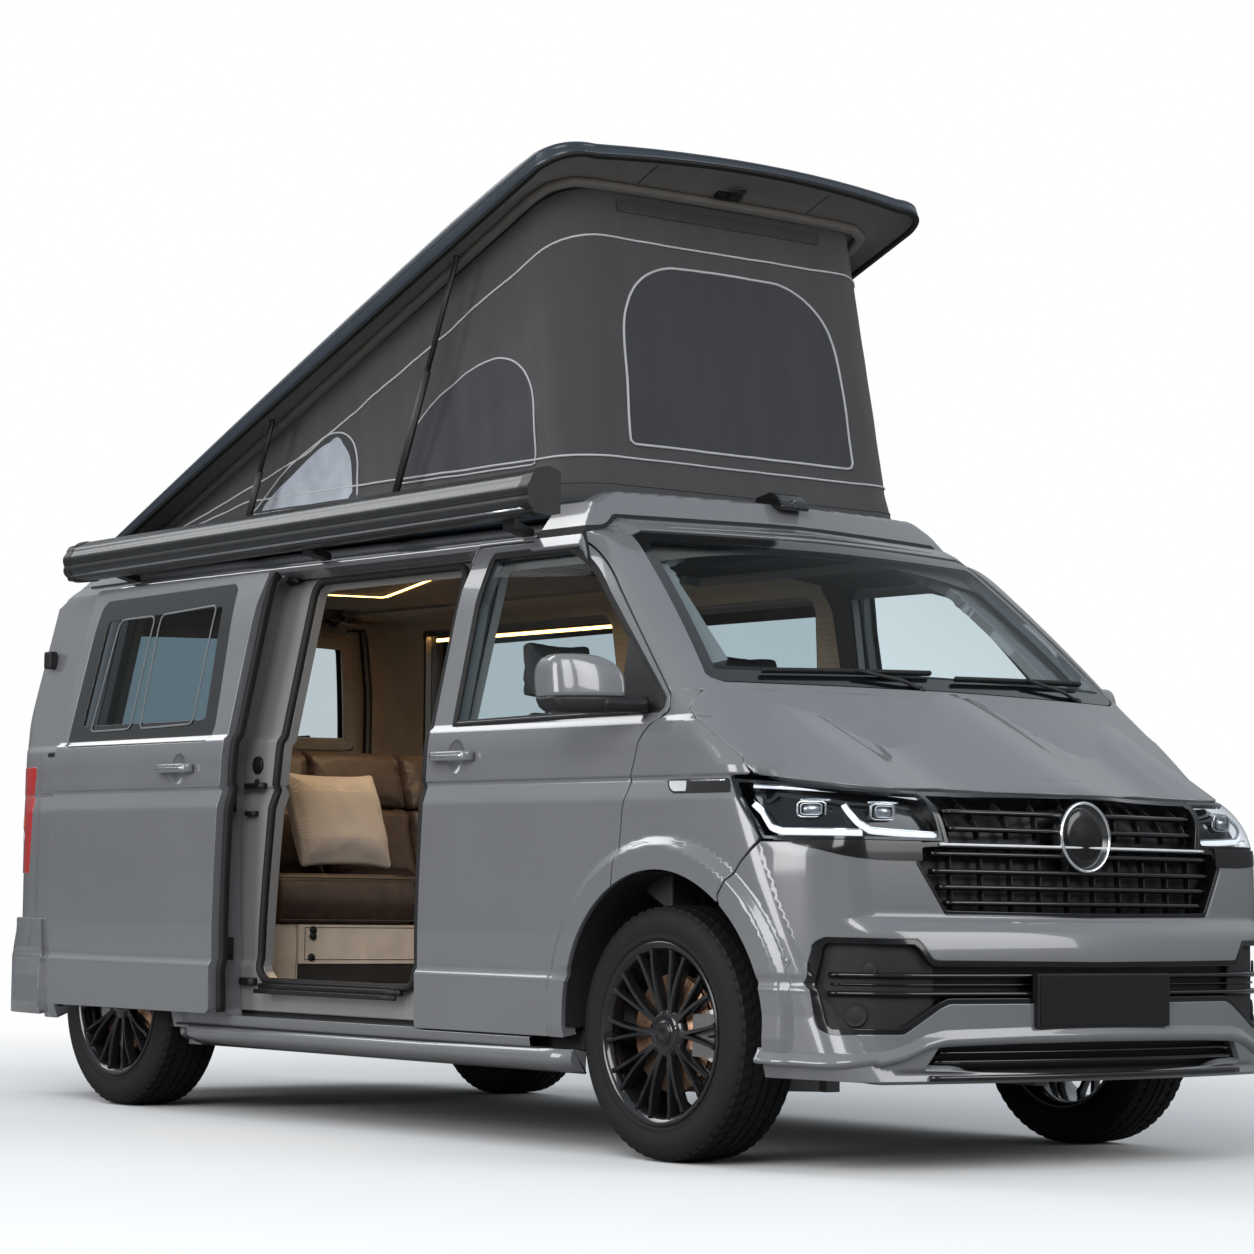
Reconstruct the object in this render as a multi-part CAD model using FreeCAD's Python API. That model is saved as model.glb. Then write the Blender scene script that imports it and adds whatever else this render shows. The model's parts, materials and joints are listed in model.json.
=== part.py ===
import FreeCAD, Part
import math
import os

# A pop-top camper van, in millimetres. +X is forward, +Y is the van's left, +Z is up.
# The origin is on the ground, on the centre line, half way between the two bumpers.
# The front doors turn about (1606, +-958), the bonnet about x 1634, z 1352.

os.makedirs("parts", exist_ok=True)

# Driving dimensions
half_width = 952.0          # body side at the shoulder crease
wheelbase = 3000.0
front_axle_x = 1570.0
rear_axle_x = front_axle_x - wheelbase
track_half = 812.0          # centre plane of each tyre
tyre_radius = 364.0
tyre_width = 250.0
rim_radius = 262.0
wall = 55.0                 # whole thickness of a door or a side wall
roof_wall = 38.0
gap = 7.5                   # shut line between two panels
far = 3000.0                # beyond the van, for cutting tools

sill_z = 334.0              # underside of the doors
belt_z = 1265.0             # underside of the side windows
window_top_z = 1800.0
door_top_z = 1836.0
floor_z = 440.0             # cabin floor
roof_z = 1932.0             # crown of the steel roof

bow_axis_x = -1550.0        # the nose and windscreen are turned about this upright line
tail_axis_x = 3000.0        # the tail is turned about this one

roof_hinge_x = -1800.0
roof_hinge_z = 1954.0
roof_open_deg = 22.0        # the pop-top stands open at this slope
roof_shut_deg = 1.5
roof_reach = 2960.0         # hinge to the front edge of the pop-top
roof_half_width = 800.0

tailgate_hinge_x = -2180.0
tailgate_hinge_z = 1900.0


X = FreeCAD.Vector(1, 0, 0)
Y = FreeCAD.Vector(0, 1, 0)
Z = FreeCAD.Vector(0, 0, 1)


def at(x, y, z):
    return FreeCAD.Vector(x, y, z)


# Outlines: rows are (a, b) or (a, b, bulge). The bulge is how far the edge that
# leaves the point stands out to the right of its own direction, as an arc.
def outline(rows, place):
    edges = []
    for i, row in enumerate(rows):
        a0, b0 = row[0], row[1]
        a1, b1 = rows[(i + 1) % len(rows)][:2]
        bulge = row[2] if len(row) > 2 else 0.0
        if bulge:
            run = math.hypot(a1 - a0, b1 - b0)
            am = (a0 + a1) / 2 + bulge * (b1 - b0) / run
            bm = (b0 + b1) / 2 - bulge * (a1 - a0) / run
            edges.append(Part.Arc(place(a0, b0), place(am, bm), place(a1, b1)).toShape())
        else:
            edges.append(Part.LineSegment(place(a0, b0), place(a1, b1)).toShape())
    return Part.Face(Part.Wire(edges))


def side_prism(rows, y0, y1):
    face = outline(rows, lambda x, z: at(x, y0, z))
    return face.extrude(at(0, y1 - y0, 0))


def front_prism(rows, x0, x1):
    face = outline(rows, lambda y, z: at(x0, y, z))
    return face.extrude(at(x1 - x0, 0, 0))


def plan_prism(rows, z0, z1):
    face = outline(rows, lambda x, y: at(x, y, z0))
    return face.extrude(at(0, 0, z1 - z0))


def block(x0, x1, y0, y1, z0, z1):
    return Part.makeBox(x1 - x0, y1 - y0, z1 - z0, at(x0, y0, z0))


def rod(start, end, radius):
    way = end.sub(start)
    return Part.makeCylinder(radius, way.Length, start, way)


def across(x, z, radius, y0, y1):
    return Part.makeCylinder(radius, y1 - y0, at(x, y0, z), Y)


def mirrored(shape):
    return shape.mirror(at(0, 0, 0), Y)


def both_sides(shape):
    return shape.fuse(mirrored(shape))


def symmetric(rows):
    # half an outline from the centre line round to the centre line, and its mirror image
    full = [(row[0], row[1], row[2] if len(row) > 2 else 0.0) for row in rows]
    before = [0.0] + [row[2] for row in full[:-1]]
    back = [(-row[0], row[1], bulge) for row, bulge in zip(full, before)]
    top = (full[-1][0], full[-1][1], before[-1])
    return full[:-1] + [top] + [row for row in reversed(back) if abs(row[0]) > 1e-6]


def turned(rows, axis_x, sign, inset):
    # rows are (x, z, bulge) on the centre line, from low to high, turned about an upright line
    loop = [(0.0, rows[0][1])]
    loop += [(abs(x - axis_x) - inset, z, bulge) for x, z, bulge in rows]
    loop += [(0.0, rows[-1][1])]
    face = outline(loop, lambda r, z: at(axis_x + sign * r, 0, z))
    return face.revolve(at(axis_x, 0, 0), Z, 360)


# Half cross-section of the cabin, from the middle of the floor out and up: (y, z, bulge)
def cabin_section(inset):
    d = inset
    r = roof_wall if inset > 0 else inset
    half = [
        (0.0, 290),
        (936 - d, 290),
        (948 - d, 520),
        (half_width - d, 800),
        (half_width - d, 1092),
        (944 - d, 1108),
        (930 - d, belt_z, 10),
        (806 - d, 1826, 3),
        (778 - d, 1866 - 0.5 * r, 26),
        (670 - d, 1914 - r, 6),
        (0.0, roof_z - r),
    ]
    return symmetric(half)


# Centre-line profiles, from low to high: (x, z, bulge)
windscreen_profile = [(2440, 200, 0), (2060, 1130, 0), (1792, 1362, 12), (1206, 1866, 14),
                      (1060, 1925, 0), (900, 2100, 0)]
tail_profile = [(-2372, 200, 0), (-2372, 1080, 0), (-2356, 1280, 8), (-2262, 1800, 22),
                (-2160, 1905, 0), (-1900, 2100, 0)]
nose_profile = [(2300, 200, 0), (2420, 300, 4), (2420, 560, 3), (2404, 668, 0),
                (2368, 706, 6), (2326, 1052, 6), (2292, 1092, 0), (2280, 1500, 0)]
fairing_profile = [(1170, 1820, 12), (1040, 1990, 4), (1000, 2003, 0), (600, 2008, 0)]


def cabin_hull(inset):
    section = front_prism(cabin_section(inset), -far, far)
    front = turned(windscreen_profile, bow_axis_x, 1, 1.5 * inset)
    tail = turned(tail_profile, tail_axis_x, -1, inset)
    # the plan outline rounds the two rear corners
    d = inset
    rows = [(-1400, 1200), (-1400, 958 - d), (-2060, 908 - d, 86),
            (-2372 + d, 600), (-2372 + d, -600, 86), (-2060, -908 + d),
            (-1400, -958 + d), (-1400, -1200), (2400, -1200), (2400, 1200)]
    plan = plan_prism(rows, 100, 2100)
    return section.common(plan).common(front).common(tail)


# Half cross-section of the nose below the bonnet: (y, z)
def nose_section(inset):
    d = inset
    half = [(0.0, 255 + 0.4 * d), (900 - d, 255 + 0.4 * d), (936 - d, 335), (948 - d, 520),
            (half_width - d, 800), (half_width - d, 1092), (930 - d, 1300), (700, 1700),
            (0.0, 1700)]
    return symmetric(half)


def bonnet_prism(inset):
    # a crowned section pushed along the slope of the bonnet
    slope = at(1792 - 2292, 0, 1364 - 1092)
    crown = 1364 - inset
    half = [(0.0, -600), (980 - inset, -600), (960 - inset, crown - 330, 36),
            (820 - inset, crown - 88, 26), (0.0, crown)]
    face = outline(symmetric(half), lambda y, z: at(1792, y, z))
    return face.extrude(slope * -2.0).fuse(face.extrude(slope))


def nose_hull(inset):
    section = front_prism(nose_section(inset), 1000, far)
    front = turned(nose_profile, bow_axis_x, 1, inset)
    d = inset
    rows = [(1000, 1000), (1000, -1000), (1800, -962 + d), (2040, -926 + d, 78),
            (2440 - d, -560), (2440 - d, 560, 78), (2040, 926 - d), (1800, 962 - d)]
    plan = plan_prism(rows, 100, 2100)
    return section.common(plan).common(front).common(bonnet_prism(inset))


# Panel outlines in side view, (x, z, bulge), for the closed doors
arch_x, arch_z, arch_radius = 1600.0, 398.0, 430.0
rear_arch_radius = 425.0


def arch_point(angle_deg, radius):
    a = math.radians(angle_deg)
    return arch_x + radius * math.cos(a), arch_z + radius * math.sin(a)


def front_door_outline(grow):
    g = grow
    foot = arch_point(187, arch_radius + 4 - g)
    knee = arch_point(122, arch_radius + 4 - g)
    sweep = (arch_radius + 4 - g) * (1 - math.cos(math.radians(32.5)))
    return [
        (396 - g, sill_z - g), (foot[0], sill_z - g), (foot[0], foot[1], -sweep),
        (knee[0], knee[1]), (1424 + g, 1000, 0), (1482 + g, 1196, -10),
        (1592 + g, 1282 - g), (1584 + g, 1330 + g), (1246 + g, 1672 + g, 22),
        (975 + g, door_top_z + g), (486 - g, door_top_z + g), (452 - g, 1700, 0),
        (438 - g, 1100),
    ]


def slide_door_outline(grow):
    # closed place; the rear of it follows the rear wheel's arch
    g = grow
    return [(388 + g, sill_z + 8 - g), (430 + g, 1100), (444 + g, 1700),
            (470 + g, 1824 + g), (-655 - g, 1824 + g), (-690 - g, 1100), (-672 - g, sill_z + 8 - g)]


front_window = [(552, belt_z + 4), (1556, belt_z + 24), (1560, 1318), (1206, 1648, 20),
                (965, window_top_z), (580, window_top_z), (556, 1660)]
slide_window = [(322, belt_z - 16), (428, 1786), (-400, 1786), (-584, belt_z - 16)]
left_window = [(300, belt_z - 16), (392, 1786), (-560, 1786), (-590, belt_z - 16)]
quarter_window = [(-760, belt_z - 16), (-730, 1786), (-1880, 1770), (-2010, belt_z - 16)]
tail_window = symmetric([(0, 1296), (640, 1304), (566, 1760), (0, 1782)])


def tailgate_outline(grow):
    g = grow
    return symmetric([(0, 652 - g), (706 + g, 652 - g), (738 + g, 760), (742 + g, 1200),
                      (700 + g, 1560), (640 + g, 1836 + g), (560, 1866 + 1.6 * g),
                      (0, 1878 + 1.6 * g)])


windscreen_outline = symmetric([(0, 1372), (800, 1368), (838, 1384), (704, 1838),
                                (660, 1856), (0, 1862)])

bonnet_outline = [(1560, 1700), (1560, 1370), (1614, 1345), (1671, 1286), (1795, 1214),
                  (1905, 1145), (1945, 1094), (2230, 1062), (2600, 1050), (2600, 1700)]
fender_outline = [(1900, 600), (1862, 758), (1929, 850), (1996, 914), (1870, 1088),
                  (1943, 1088), (1902, 1140), (1792, 1209), (1668, 1281), (1622, 1330),
                  (1500, 1330), (1340, 900), (1200, 600)]


# Inner frames of the doorways, smaller than the doors that close on them
front_doorway = [(516, 455), (1120, 455), (1150, 600, -14), (1330, 850, 0), (1420, 1200, -12),
                 (1500, 1312), (1180, 1640, 18), (955, 1792), (560, 1792), (520, 1100)]
side_doorway = [(300, 455, 12), (346, 500), (372, 1100), (398, 1740, 14), (352, 1786),
                (-410, 1786, 14), (-456, 1740), (-470, 1180), (-548, 520, 12), (-500, 455)]
tail_doorway = symmetric([(0, 700), (650, 700), (690, 780), (694, 1200), (648, 1540),
                          (596, 1790), (0, 1826)])

# Shared hulls
cabin_out = cabin_hull(0)
cabin_in = cabin_hull(wall)
nose_out = nose_hull(0)
nose_in = nose_hull(42)
cabin_shell = cabin_out.cut(cabin_in)
nose_shell = nose_out.cut(nose_in)


def hull_skin(near, deep):
    return cabin_hull(near).cut(cabin_hull(deep))


glass_skin = hull_skin(9, 15)
wheel_arches = [
    across(arch_x, arch_z, arch_radius, 470, 1200),
    across(rear_axle_x, tyre_radius + 10, rear_arch_radius, 610, 1200),
]


def wheel_wells():
    wells = [both_sides(arch) for arch in wheel_arches]
    return wells[0].fuse(wells[1])


def one_side(rows, left):
    return side_prism(rows, 500, 1200) if left else side_prism(rows, -1200, -500)


def inner_frame():
    # pillars and sills behind the panels, set back from the closed doors
    frame = cabin_in.cut(cabin_hull(wall + 40))
    behind_doors = cabin_in.cut(cabin_hull(wall + gap))
    for left in (True, False):
        frame = frame.cut(behind_doors.common(one_side(front_door_outline(gap), left)))
        frame = frame.cut(one_side(front_doorway, left))
        frame = frame.cut(one_side(quarter_window, left))
    frame = frame.cut(behind_doors.common(one_side(slide_door_outline(gap), False)))
    frame = frame.cut(behind_doors.common(front_prism(tailgate_outline(gap), -2600, -1900)))
    frame = frame.cut(one_side(side_doorway, False))
    frame = frame.cut(one_side(left_window, True))
    return frame.cut(front_prism(tail_doorway, -2600, -1900))


def body_shell():
    shell = cabin_shell
    for left in (True, False):
        shell = shell.cut(one_side(front_door_outline(gap / 2), left))
        shell = shell.cut(one_side(quarter_window, left))
    shell = shell.cut(one_side(slide_door_outline(gap / 2), False))
    shell = shell.cut(one_side(left_window, True))
    shell = shell.cut(front_prism(tailgate_outline(gap / 2), -2600, -1960))
    shell = shell.fuse(inner_frame())
    shell = shell.cut(front_prism(windscreen_outline, 1040, 2400))
    shell = shell.cut(block(-1600, 730, -600, 600, 1800, 2000))
    # the nose panels take over ahead of the doors, the bumper below the tailgate
    shell = shell.cut(block(1150, 2600, -1200, 1200, 200, 1330))
    shell = shell.cut(block(-2600, -1960, -1200, 1200, 200, 646))
    shell = shell.cut(block(-2300, 1600, -880, 880, 200, 380))
    floor = block(-2290, 1160, -898, 898, 380, floor_z).common(cabin_hull(wall + gap))
    sills = both_sides(block(-1000, 1160, 830, 871, 292, 400))
    floor = floor.cut(block(rear_axle_x - 60, rear_axle_x + 60, -620, 620, 370, 410))
    tunnel = block(1100, 1540, -462, 462, 380, floor_z)
    firewall = block(1520, 1546, -750, 750, 380, 1338)
    scuttle = block(1520, 1640, -750, 750, 1312, 1338)
    shell = shell.fuse([floor, sills, tunnel, firewall, scuttle])
    houses = across(rear_axle_x, tyre_radius + 10, rear_arch_radius + 14, 596, 900)
    houses = houses.common(block(-2200, -500, 0, 1000, floor_z - 20, 1000))
    shell = shell.fuse(both_sides(houses))
    return shell.cut(wheel_wells())


# Outer panels of the nose
def fender(left):
    panel = nose_shell.common(one_side(fender_outline, left))
    door = one_side(front_door_outline(gap / 2), left)
    return panel.cut(door).cut(across(arch_x, arch_z, arch_radius, -1200, 1200))


def lamp_zone(grow):
    g = grow
    side = side_prism([(1876 - g, 1084 + g), (2004 - g, 914 - g), (2600, 914 - g),
                       (2600, 1048 + g), (2262, 1051 + g)], -1200, 1200)
    front = front_prism([(519 - g, 914 - g), (560 - g, 1100), (1000, 1100), (1000, 914 - g)],
                        1700, 2600)
    return side.common(front)


upper_grille = symmetric([(0, 708), (530, 712), (618, 850), (600, 906), (514, 912),
                          (548, 1050), (0, 1056)])
lower_grille = symmetric([(0, 470), (560, 470), (640, 405), (700, 386, 0), (876, 388, 14),
                          (936, 470), (930, 560, 12), (890, 646), (622, 648), (570, 586),
                          (0, 584)])
pocket_x = 2085.0           # the bumper's side pockets start here
tow_y, tow_z = -420.0, 445.0
low_intake = symmetric([(0, 282), (640, 296), (590, 362), (0, 362)])


def bonnet():
    panel = nose_out.cut(nose_hull(38)).common(side_prism(bonnet_outline, -1200, 1200))
    panel = panel.cut(turned(windscreen_profile, bow_axis_x, 1, -9))
    panel = panel.cut(front_prism(upper_grille, 1800, 2600))
    below = [(x, z + 5) for x, z in bonnet_outline[1:9]] + [(2600, 900), (1500, 900)]
    return panel.cut(side_prism(below, -1200, 1200))


def front_bumper():
    side = side_prism([(1874, 752), (1940, 845), (2008, 908), (2600, 908), (2600, 200),
                       (1960, 200), (1912, 600)], -1200, 1200)
    shell = nose_out.cut(nose_hull(46)).common(side)
    shell = shell.cut(wheel_wells())
    for hole in (upper_grille, lower_grille, low_intake):
        shell = shell.cut(front_prism(hole, pocket_x, 2600))
    return shell.cut(rod(at(2300, tow_y, tow_z), at(2500, tow_y, tow_z), 30))


def slatted(outline_rows, near, deep, slats):
    # a set-back plate with slats standing out of it; slats are (low z, high z)
    zone = front_prism(outline_rows, pocket_x, 2600)
    plate = nose_hull(deep).cut(nose_hull(deep + 18)).common(zone)
    for low, high in slats:
        bar = nose_hull(near).cut(nose_hull(deep + 4)).common(zone)
        plate = plate.fuse(bar.common(block(1900, 2600, -1000, 1000, low, high)))
    return plate


def grille():
    slats = [(716 + 45 * i, 732 + 45 * i) for i in range(4)]
    slats += [(900, 908)] + [(936 + 38 * i, 950 + 38 * i) for i in range(3)]
    return slatted(upper_grille, 8, 30, slats)


def bumper_grille():
    lower = slatted(lower_grille, 10, 30, [(494, 508), (540, 554), (572, 584)])
    lower = lower.cut(rod(at(2200, tow_y, tow_z), at(2500, tow_y, tow_z), 30))
    low = slatted(low_intake, 12, 30, [(318, 330)])
    plate = block(2380, 2432, -265, 265, 404, 552).cut(nose_out)
    return lower.fuse([low, plate])


def headlamp(left):
    lamp = nose_out.cut(nose_hull(96)).common(lamp_zone(-2))
    return mirror_if(lamp, not left)


def mirror_if(shape, wanted):
    return mirrored(shape) if wanted else shape


# Doors and their glass
def front_door(left):
    door = cabin_shell.common(one_side(front_door_outline(-gap / 2), left))
    return door.cut(one_side(front_window, left))


def side_glass(rows, left):
    return glass_skin.common(one_side(rows, left))


slide_travel = 1030.0
slide_offset = 92.0


def slid(shape):
    moved = shape.copy()
    moved.translate(at(-slide_travel, -slide_offset, 0))
    return moved


def sliding_door():
    door = cabin_shell.common(one_side(slide_door_outline(-gap / 2), False))
    return slid(door.cut(one_side(slide_window, False)))


def tailgate():
    zone = front_prism(tailgate_outline(-gap / 2), -2600, -1990)
    panel = cabin_shell.common(zone).cut(front_prism(tail_window, -2600, -1900))
    # the top edge is thinned so that it swings out past the edge of the roof
    panel = panel.cut(across(tailgate_hinge_x, tailgate_hinge_z, 44, -760, 760))
    panel = panel.cut(block(-2190, -1900, -760, 760, 1800, 1900))
    return panel.cut(block(-2203, -1900, -760, 760, 1836, 1900))


def mirror_unit(left):
    # head outline in plan: (x, y, bulge)
    head = plan_prism([(1398, 992), (1496, 1002, 14), (1400, 1124, 16), (1306, 1150, 0),
                       (1240, 1136, 0)], 1272, 1448)
    arm = front_prism([(925, 1290), (925, 1330), (1020, 1318), (1020, 1278)], 1440, 1500)
    base = side_prism([(1400, 1290), (1545, 1290), (1545, 1320), (1440, 1440)], 900, 936)
    arm = arm.fuse(base).cut(cabin_out)
    return mirror_if(head.fuse(arm), not left)


# Rear end
def rear_bumper():
    zone = block(-2600, -1964, -1200, 1200, 296, 641)
    outer = cabin_hull(-14)
    outer.translate(at(-46, 0, 0))
    return outer.cut(cabin_hull(24)).common(zone).cut(wheel_wells())


def tail_lamps():
    zone = block(-2600, -1900, 752, 1200, 806, 1194)
    return both_sides(cabin_hull(-3).cut(cabin_hull(0)).common(zone))


def side_skirts():
    rows = [(880, 228), (940, 236), (962, 262), (950, 300), (900, 300), (900, 289)]
    bar = front_prism(rows, -985, 1186)
    rows_inner = [(880, 228), (900, 228), (900, 289), (880, 289)]
    return both_sides(bar.fuse(front_prism(rows_inner, -985, 1186)).cut(cabin_out))


# Roof
def roof_frame():
    # two long bars with the pads of the stays, two cross bars, and two hinge blocks
    long_bar = block(-1684, 896, 600, 690, 1880, 1962)
    for x in (-75, -951):
        pad = block(x - 28, x + 28, 688, 726, 1895, 1996)
        long_bar = long_bar.fuse([pad, rod(at(x, 724, 1980), at(x, 750, 1980), 5)])
    hinge = block(-1824, -1776, 560, 640, 1900, roof_hinge_z + 8)
    hinge = hinge.cut(across(roof_hinge_x, roof_hinge_z, 9.4, 500, 700))
    cross_bars = [block(x0, x1, -599, 599, 1880, 1962) for x0, x1 in ((-1684, -1600), (730, 896))]
    parts = [long_bar, mirrored(long_bar), hinge, mirrored(hinge)] + cross_bars
    return Part.makeCompound([part.cut(cabin_out) for part in parts])


def roof_fairing():
    half = [(0, 1846), (806, 1846), (796, 1872, 12), (700, 1968, 10), (640, 2003), (0, 2006)]
    cap = front_prism(symmetric(half), 560, 1300).common(turned(fairing_profile, bow_axis_x, 1, 0))
    behind = block(500, 906, -697, 697, 1800, 2100)
    return cap.cut(behind).cut(block(500, 806, -1000, 1000, 1800, 2100)).cut(cabin_out)


def awning():
    profile = [(-846, 1878), (-846, 2002, 6), (-880, 2016, 12), (-950, 1990, 10), (-962, 1930, 10),
               (-930, 1880)]
    case = front_prism(profile, -1800, 1040)
    arms = [front_prism([(-770, 1850), (-770, 1878), (-848, 1912), (-848, 1880)], x, x + 60)
            for x in (690, -420, -1640)]
    return case.fuse(arms).cut(cabin_out)


# Pop-top, drawn shut about its hinge and then swung open
def swung(shape, degrees):
    moved = shape.copy()
    moved.rotate(at(0, 0, 0), Y, -degrees)
    moved.translate(at(roof_hinge_x, 0, roof_hinge_z))
    return moved


def roof_plan(inset):
    d = inset
    return [(-60 + d, roof_half_width - 60), (-10 + d, roof_half_width - d, 0),
            (roof_reach - 190, roof_half_width - d, 42), (roof_reach - 66 - d, 640, 60),
            (roof_reach - 66 - d, -640, 42), (roof_reach - 190, -roof_half_width + d),
            (-10 + d, -roof_half_width + d), (-60 + d, -roof_half_width + 60)]


def roof_plan_face(inset, low, high):
    rows = [(x, -y, *rest) for x, y, *rest in roof_plan(inset)]
    return plan_prism(rows, low, high)


def roof_profile(crown, lip):
    # side view: level over most of its length, falling to the front lip
    rows = [(-200, -20), (3200, -20), (3200, lip), (roof_reach - 6, lip, 14), (2300, crown),
            (-200, crown)]
    return side_prism(rows, -900, 900)


def pop_top_roof():
    half = [(0, 10), (roof_half_width, 10), (roof_half_width, 50, 10), (770, 78, 0),
            (600, 92, 8), (0, 112)]
    slab = front_prism(symmetric(half), -200, 3200).common(roof_plan_face(0, 0, 200))
    # the crown dies away towards the front lip
    slab = slab.common(roof_profile(114, 56))
    under = [(0, -10), (900, -10), (900, 40), (772, 48), (600, 66, 8), (0, 86)]
    pocket = roof_plan_face(26, 0, 200).common(front_prism(symmetric(under), -200, 3200))
    pocket = pocket.common(roof_profile(90, 43))
    lugs = both_sides(block(-24, 24, 645, 690, -6, 70))
    pin = both_sides(across(0, 0, 9, 560, 690))
    return swung(slab.cut(pocket).fuse([lugs, pin]), roof_open_deg)


def pop_top_lining():
    panel = roof_plan_face(26, 36, 42).cut(block(-90, 60, -900, 900, 0, 60))
    ring = block(130, 2712, -690, 690, 23, 36).cut(block(150, 2690, -650, 650, 0, 60))
    return swung(panel.fuse(ring), roof_open_deg)


def roof_point(reach, height):
    a = math.radians(roof_open_deg)
    return (roof_hinge_x + reach * math.cos(a) - height * math.sin(a),
            roof_hinge_z + reach * math.sin(a) + height * math.cos(a))


def tent():
    cloth = 10
    low, top = 1963, 21
    front, back = roof_point(2704, top), roof_point(134, top)
    rows = [(-1676, low), (880, low), front, back]
    wedge = side_prism(rows, -672, 672)
    inner = [(-1660, low - 40), (874, low - 40), (866, low), (front[0] - 14, front[1] + 30),
             (back[0] + 10, back[1] + 30)]
    return wedge.cut(side_prism(inner, -672 + cloth, 672 - cloth))


# Stays: (pivot x, top x, top z); both pivots stand at the same height
stay_pivot_z = 1980.0
stay_places = {"front_stays": (-75, 279, 2800), "rear_stays": (-951, -787, 2366)}


def stays(name):
    x0, x1, z1 = stay_places[name]
    run = math.hypot(x1 - x0, z1 - stay_pivot_z)
    tilt = math.degrees(math.atan2(z1 - stay_pivot_z, x1 - x0))
    bar = block(-12, run, 733, 747, -7, 7).fuse(across(0, 0, 13, 733, 747))
    bar = bar.cut(across(0, 0, 5.3, 700, 800))
    bar.rotate(at(0, 0, 0), Y, -tilt)
    bar.translate(at(x0, 0, stay_pivot_z))
    return both_sides(bar)


# Running gear
def rim(x, left):
    rows = [(-122, 252), (-122, 262), (-112, 262), (-108, 250), (-60, 238), (60, 238),
            (108, 250), (112, 262), (122, 262), (122, 252), (100, 232), (-104, 232)]
    profile = outline([(y, r) for y, r in rows], lambda y, r: at(0, y, r))
    barrel = profile.revolve(at(0, 0, 0), Y, 360)
    hub = across(0, 0, 62, 62, 104).fuse(across(0, 0, 40, 100, 108))
    spokes = []
    for i in range(10):
        for side in (-1, 1):
            spoke = front_prism([(84, 40), (104, 40), (117, 236), (98, 236)], -5, 5)
            spoke.rotate(at(0, 0, 40), Y, side * 3)
            spoke.translate(at(side * 11, 0, 0))
            spoke.rotate(at(0, 0, 0), Y, 36 * i)
            spokes.append(spoke)
    disc = across(0, 0, 168, 34, 58).cut(across(0, 0, 100, 30, 50)).fuse(across(0, 0, 70, 34, 70))
    wheel = barrel.fuse([hub, disc] + spokes)
    wheel = wheel.cut(across(0, 0, 26, -200, 80))
    return placed_wheel(wheel, x, left)


def placed_wheel(shape, x, left):
    moved = mirror_if(shape, not left)
    moved.translate(at(x, track_half if left else -track_half, tyre_radius))
    return moved


def tyre(x, left):
    # (across, radius)
    half = tyre_width / 2
    side = [(107.7, 250.4), (107.7, 262.6), (half - 4, 264), (half, 300), (half - 7, 340),
            (half - 32, tyre_radius - 3), (half - 60, tyre_radius)]
    rows = [(-y, r) for y, r in side] + side[::-1] + [(60, 238.3), (-60, 238.3)]
    face = outline(rows, lambda y, r: at(0, y, r))
    return placed_wheel(face.revolve(at(0, 0, 0), Y, 360), x, left)


def knuckle(left):
    stub = across(0, 0, 25.7, -70, 76)
    upright = block(-45, 45, -62, -20, -110, 120).fuse(across(0, 0, 60, -62, -20))
    balls = rod(at(0, -40, -128), at(0, -40, -100), 18)
    balls = balls.fuse(rod(at(0, -40, 100), at(0, -40, 138), 18))
    calliper = block(110, 205, -10, 78, -60, 60)
    slot = across(0, 0, 175, 28, 64)
    calliper = calliper.cut(slot).common(across(0, 0, 216, -12, 80))
    bridge = block(30, 120, -62, -20, -40, 40).fuse(block(80, 120, -62, -2, -40, 40))
    body = stub.fuse([upright, balls, calliper, bridge])
    moved = mirror_if(body, not left)
    moved.translate(at(front_axle_x, track_half if left else -track_half, tyre_radius))
    return moved


tow_eye_radius = 9.0


def front_subframe():
    rails = block(1100, 2250, 380, 450, 340, 379)
    ahead = block(1540, 1600, 440, 452, 250, 379)
    arm = plan_prism([(1400, 440), (1740, 440), (1604, 590), (1604, track_half - 20),
                      (1540, track_half - 20), (1540, 590)], 196, 232)
    post = block(1550, 1590, 430, 450, 232, 345)
    link = plan_prism([(1560, 440), (1640, 440), (1592, track_half - 20),
                       (1548, track_half - 20)], 505, 520)
    tower = block(1554, 1660, 400, 452, 379, 525)
    side = rails.fuse([ahead, arm, post, link, tower, block(1380, 1760, 400, 452, 196, 345)])
    cross = [block(x, x + 80, -400, 400, 340, 379) for x in (1180, 1540, 2150)]
    post = block(2230, 2250, tow_y - 30, tow_y + 30, 340, tow_z + 28)
    socket = rod(at(2230, tow_y, tow_z), at(2330, tow_y, tow_z), 18)
    thread = rod(at(2260, tow_y, tow_z), at(2400, tow_y, tow_z), tow_eye_radius)
    return both_sides(side).fuse(cross + [post, socket]).cut(thread)


def rear_axle():
    beam = rod(at(rear_axle_x, -700, tyre_radius), at(rear_axle_x, 700, tyre_radius), 34)
    stubs = rod(at(rear_axle_x, -track_half - 76, tyre_radius),
                at(rear_axle_x, track_half + 76, tyre_radius), 25.7)
    arms = [block(rear_axle_x - 40, -1000, y, y + 50, 330, 379) for y in (-560, 510)]
    posts = [block(-1040, -960, y, y + 50, 330, 380) for y in (-560, 510)]
    backs = both_sides(across(rear_axle_x, tyre_radius, 110, track_half - 62, track_half - 20))
    return beam.fuse([stubs, backs] + arms + posts)


def fuel_tank():
    tank = block(-900, -150, 60, 520, 250, 380)
    pipe = rod(at(900, -330, 300), at(-2000, -330, 300), 28)
    silencer = block(-2150, -1750, -460, -160, 250, 380)
    hangers = [block(x, x + 30, -345, -315, 300, 380) for x in (500, -700)]
    return tank.fuse([pipe, silencer] + hangers)


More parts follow.
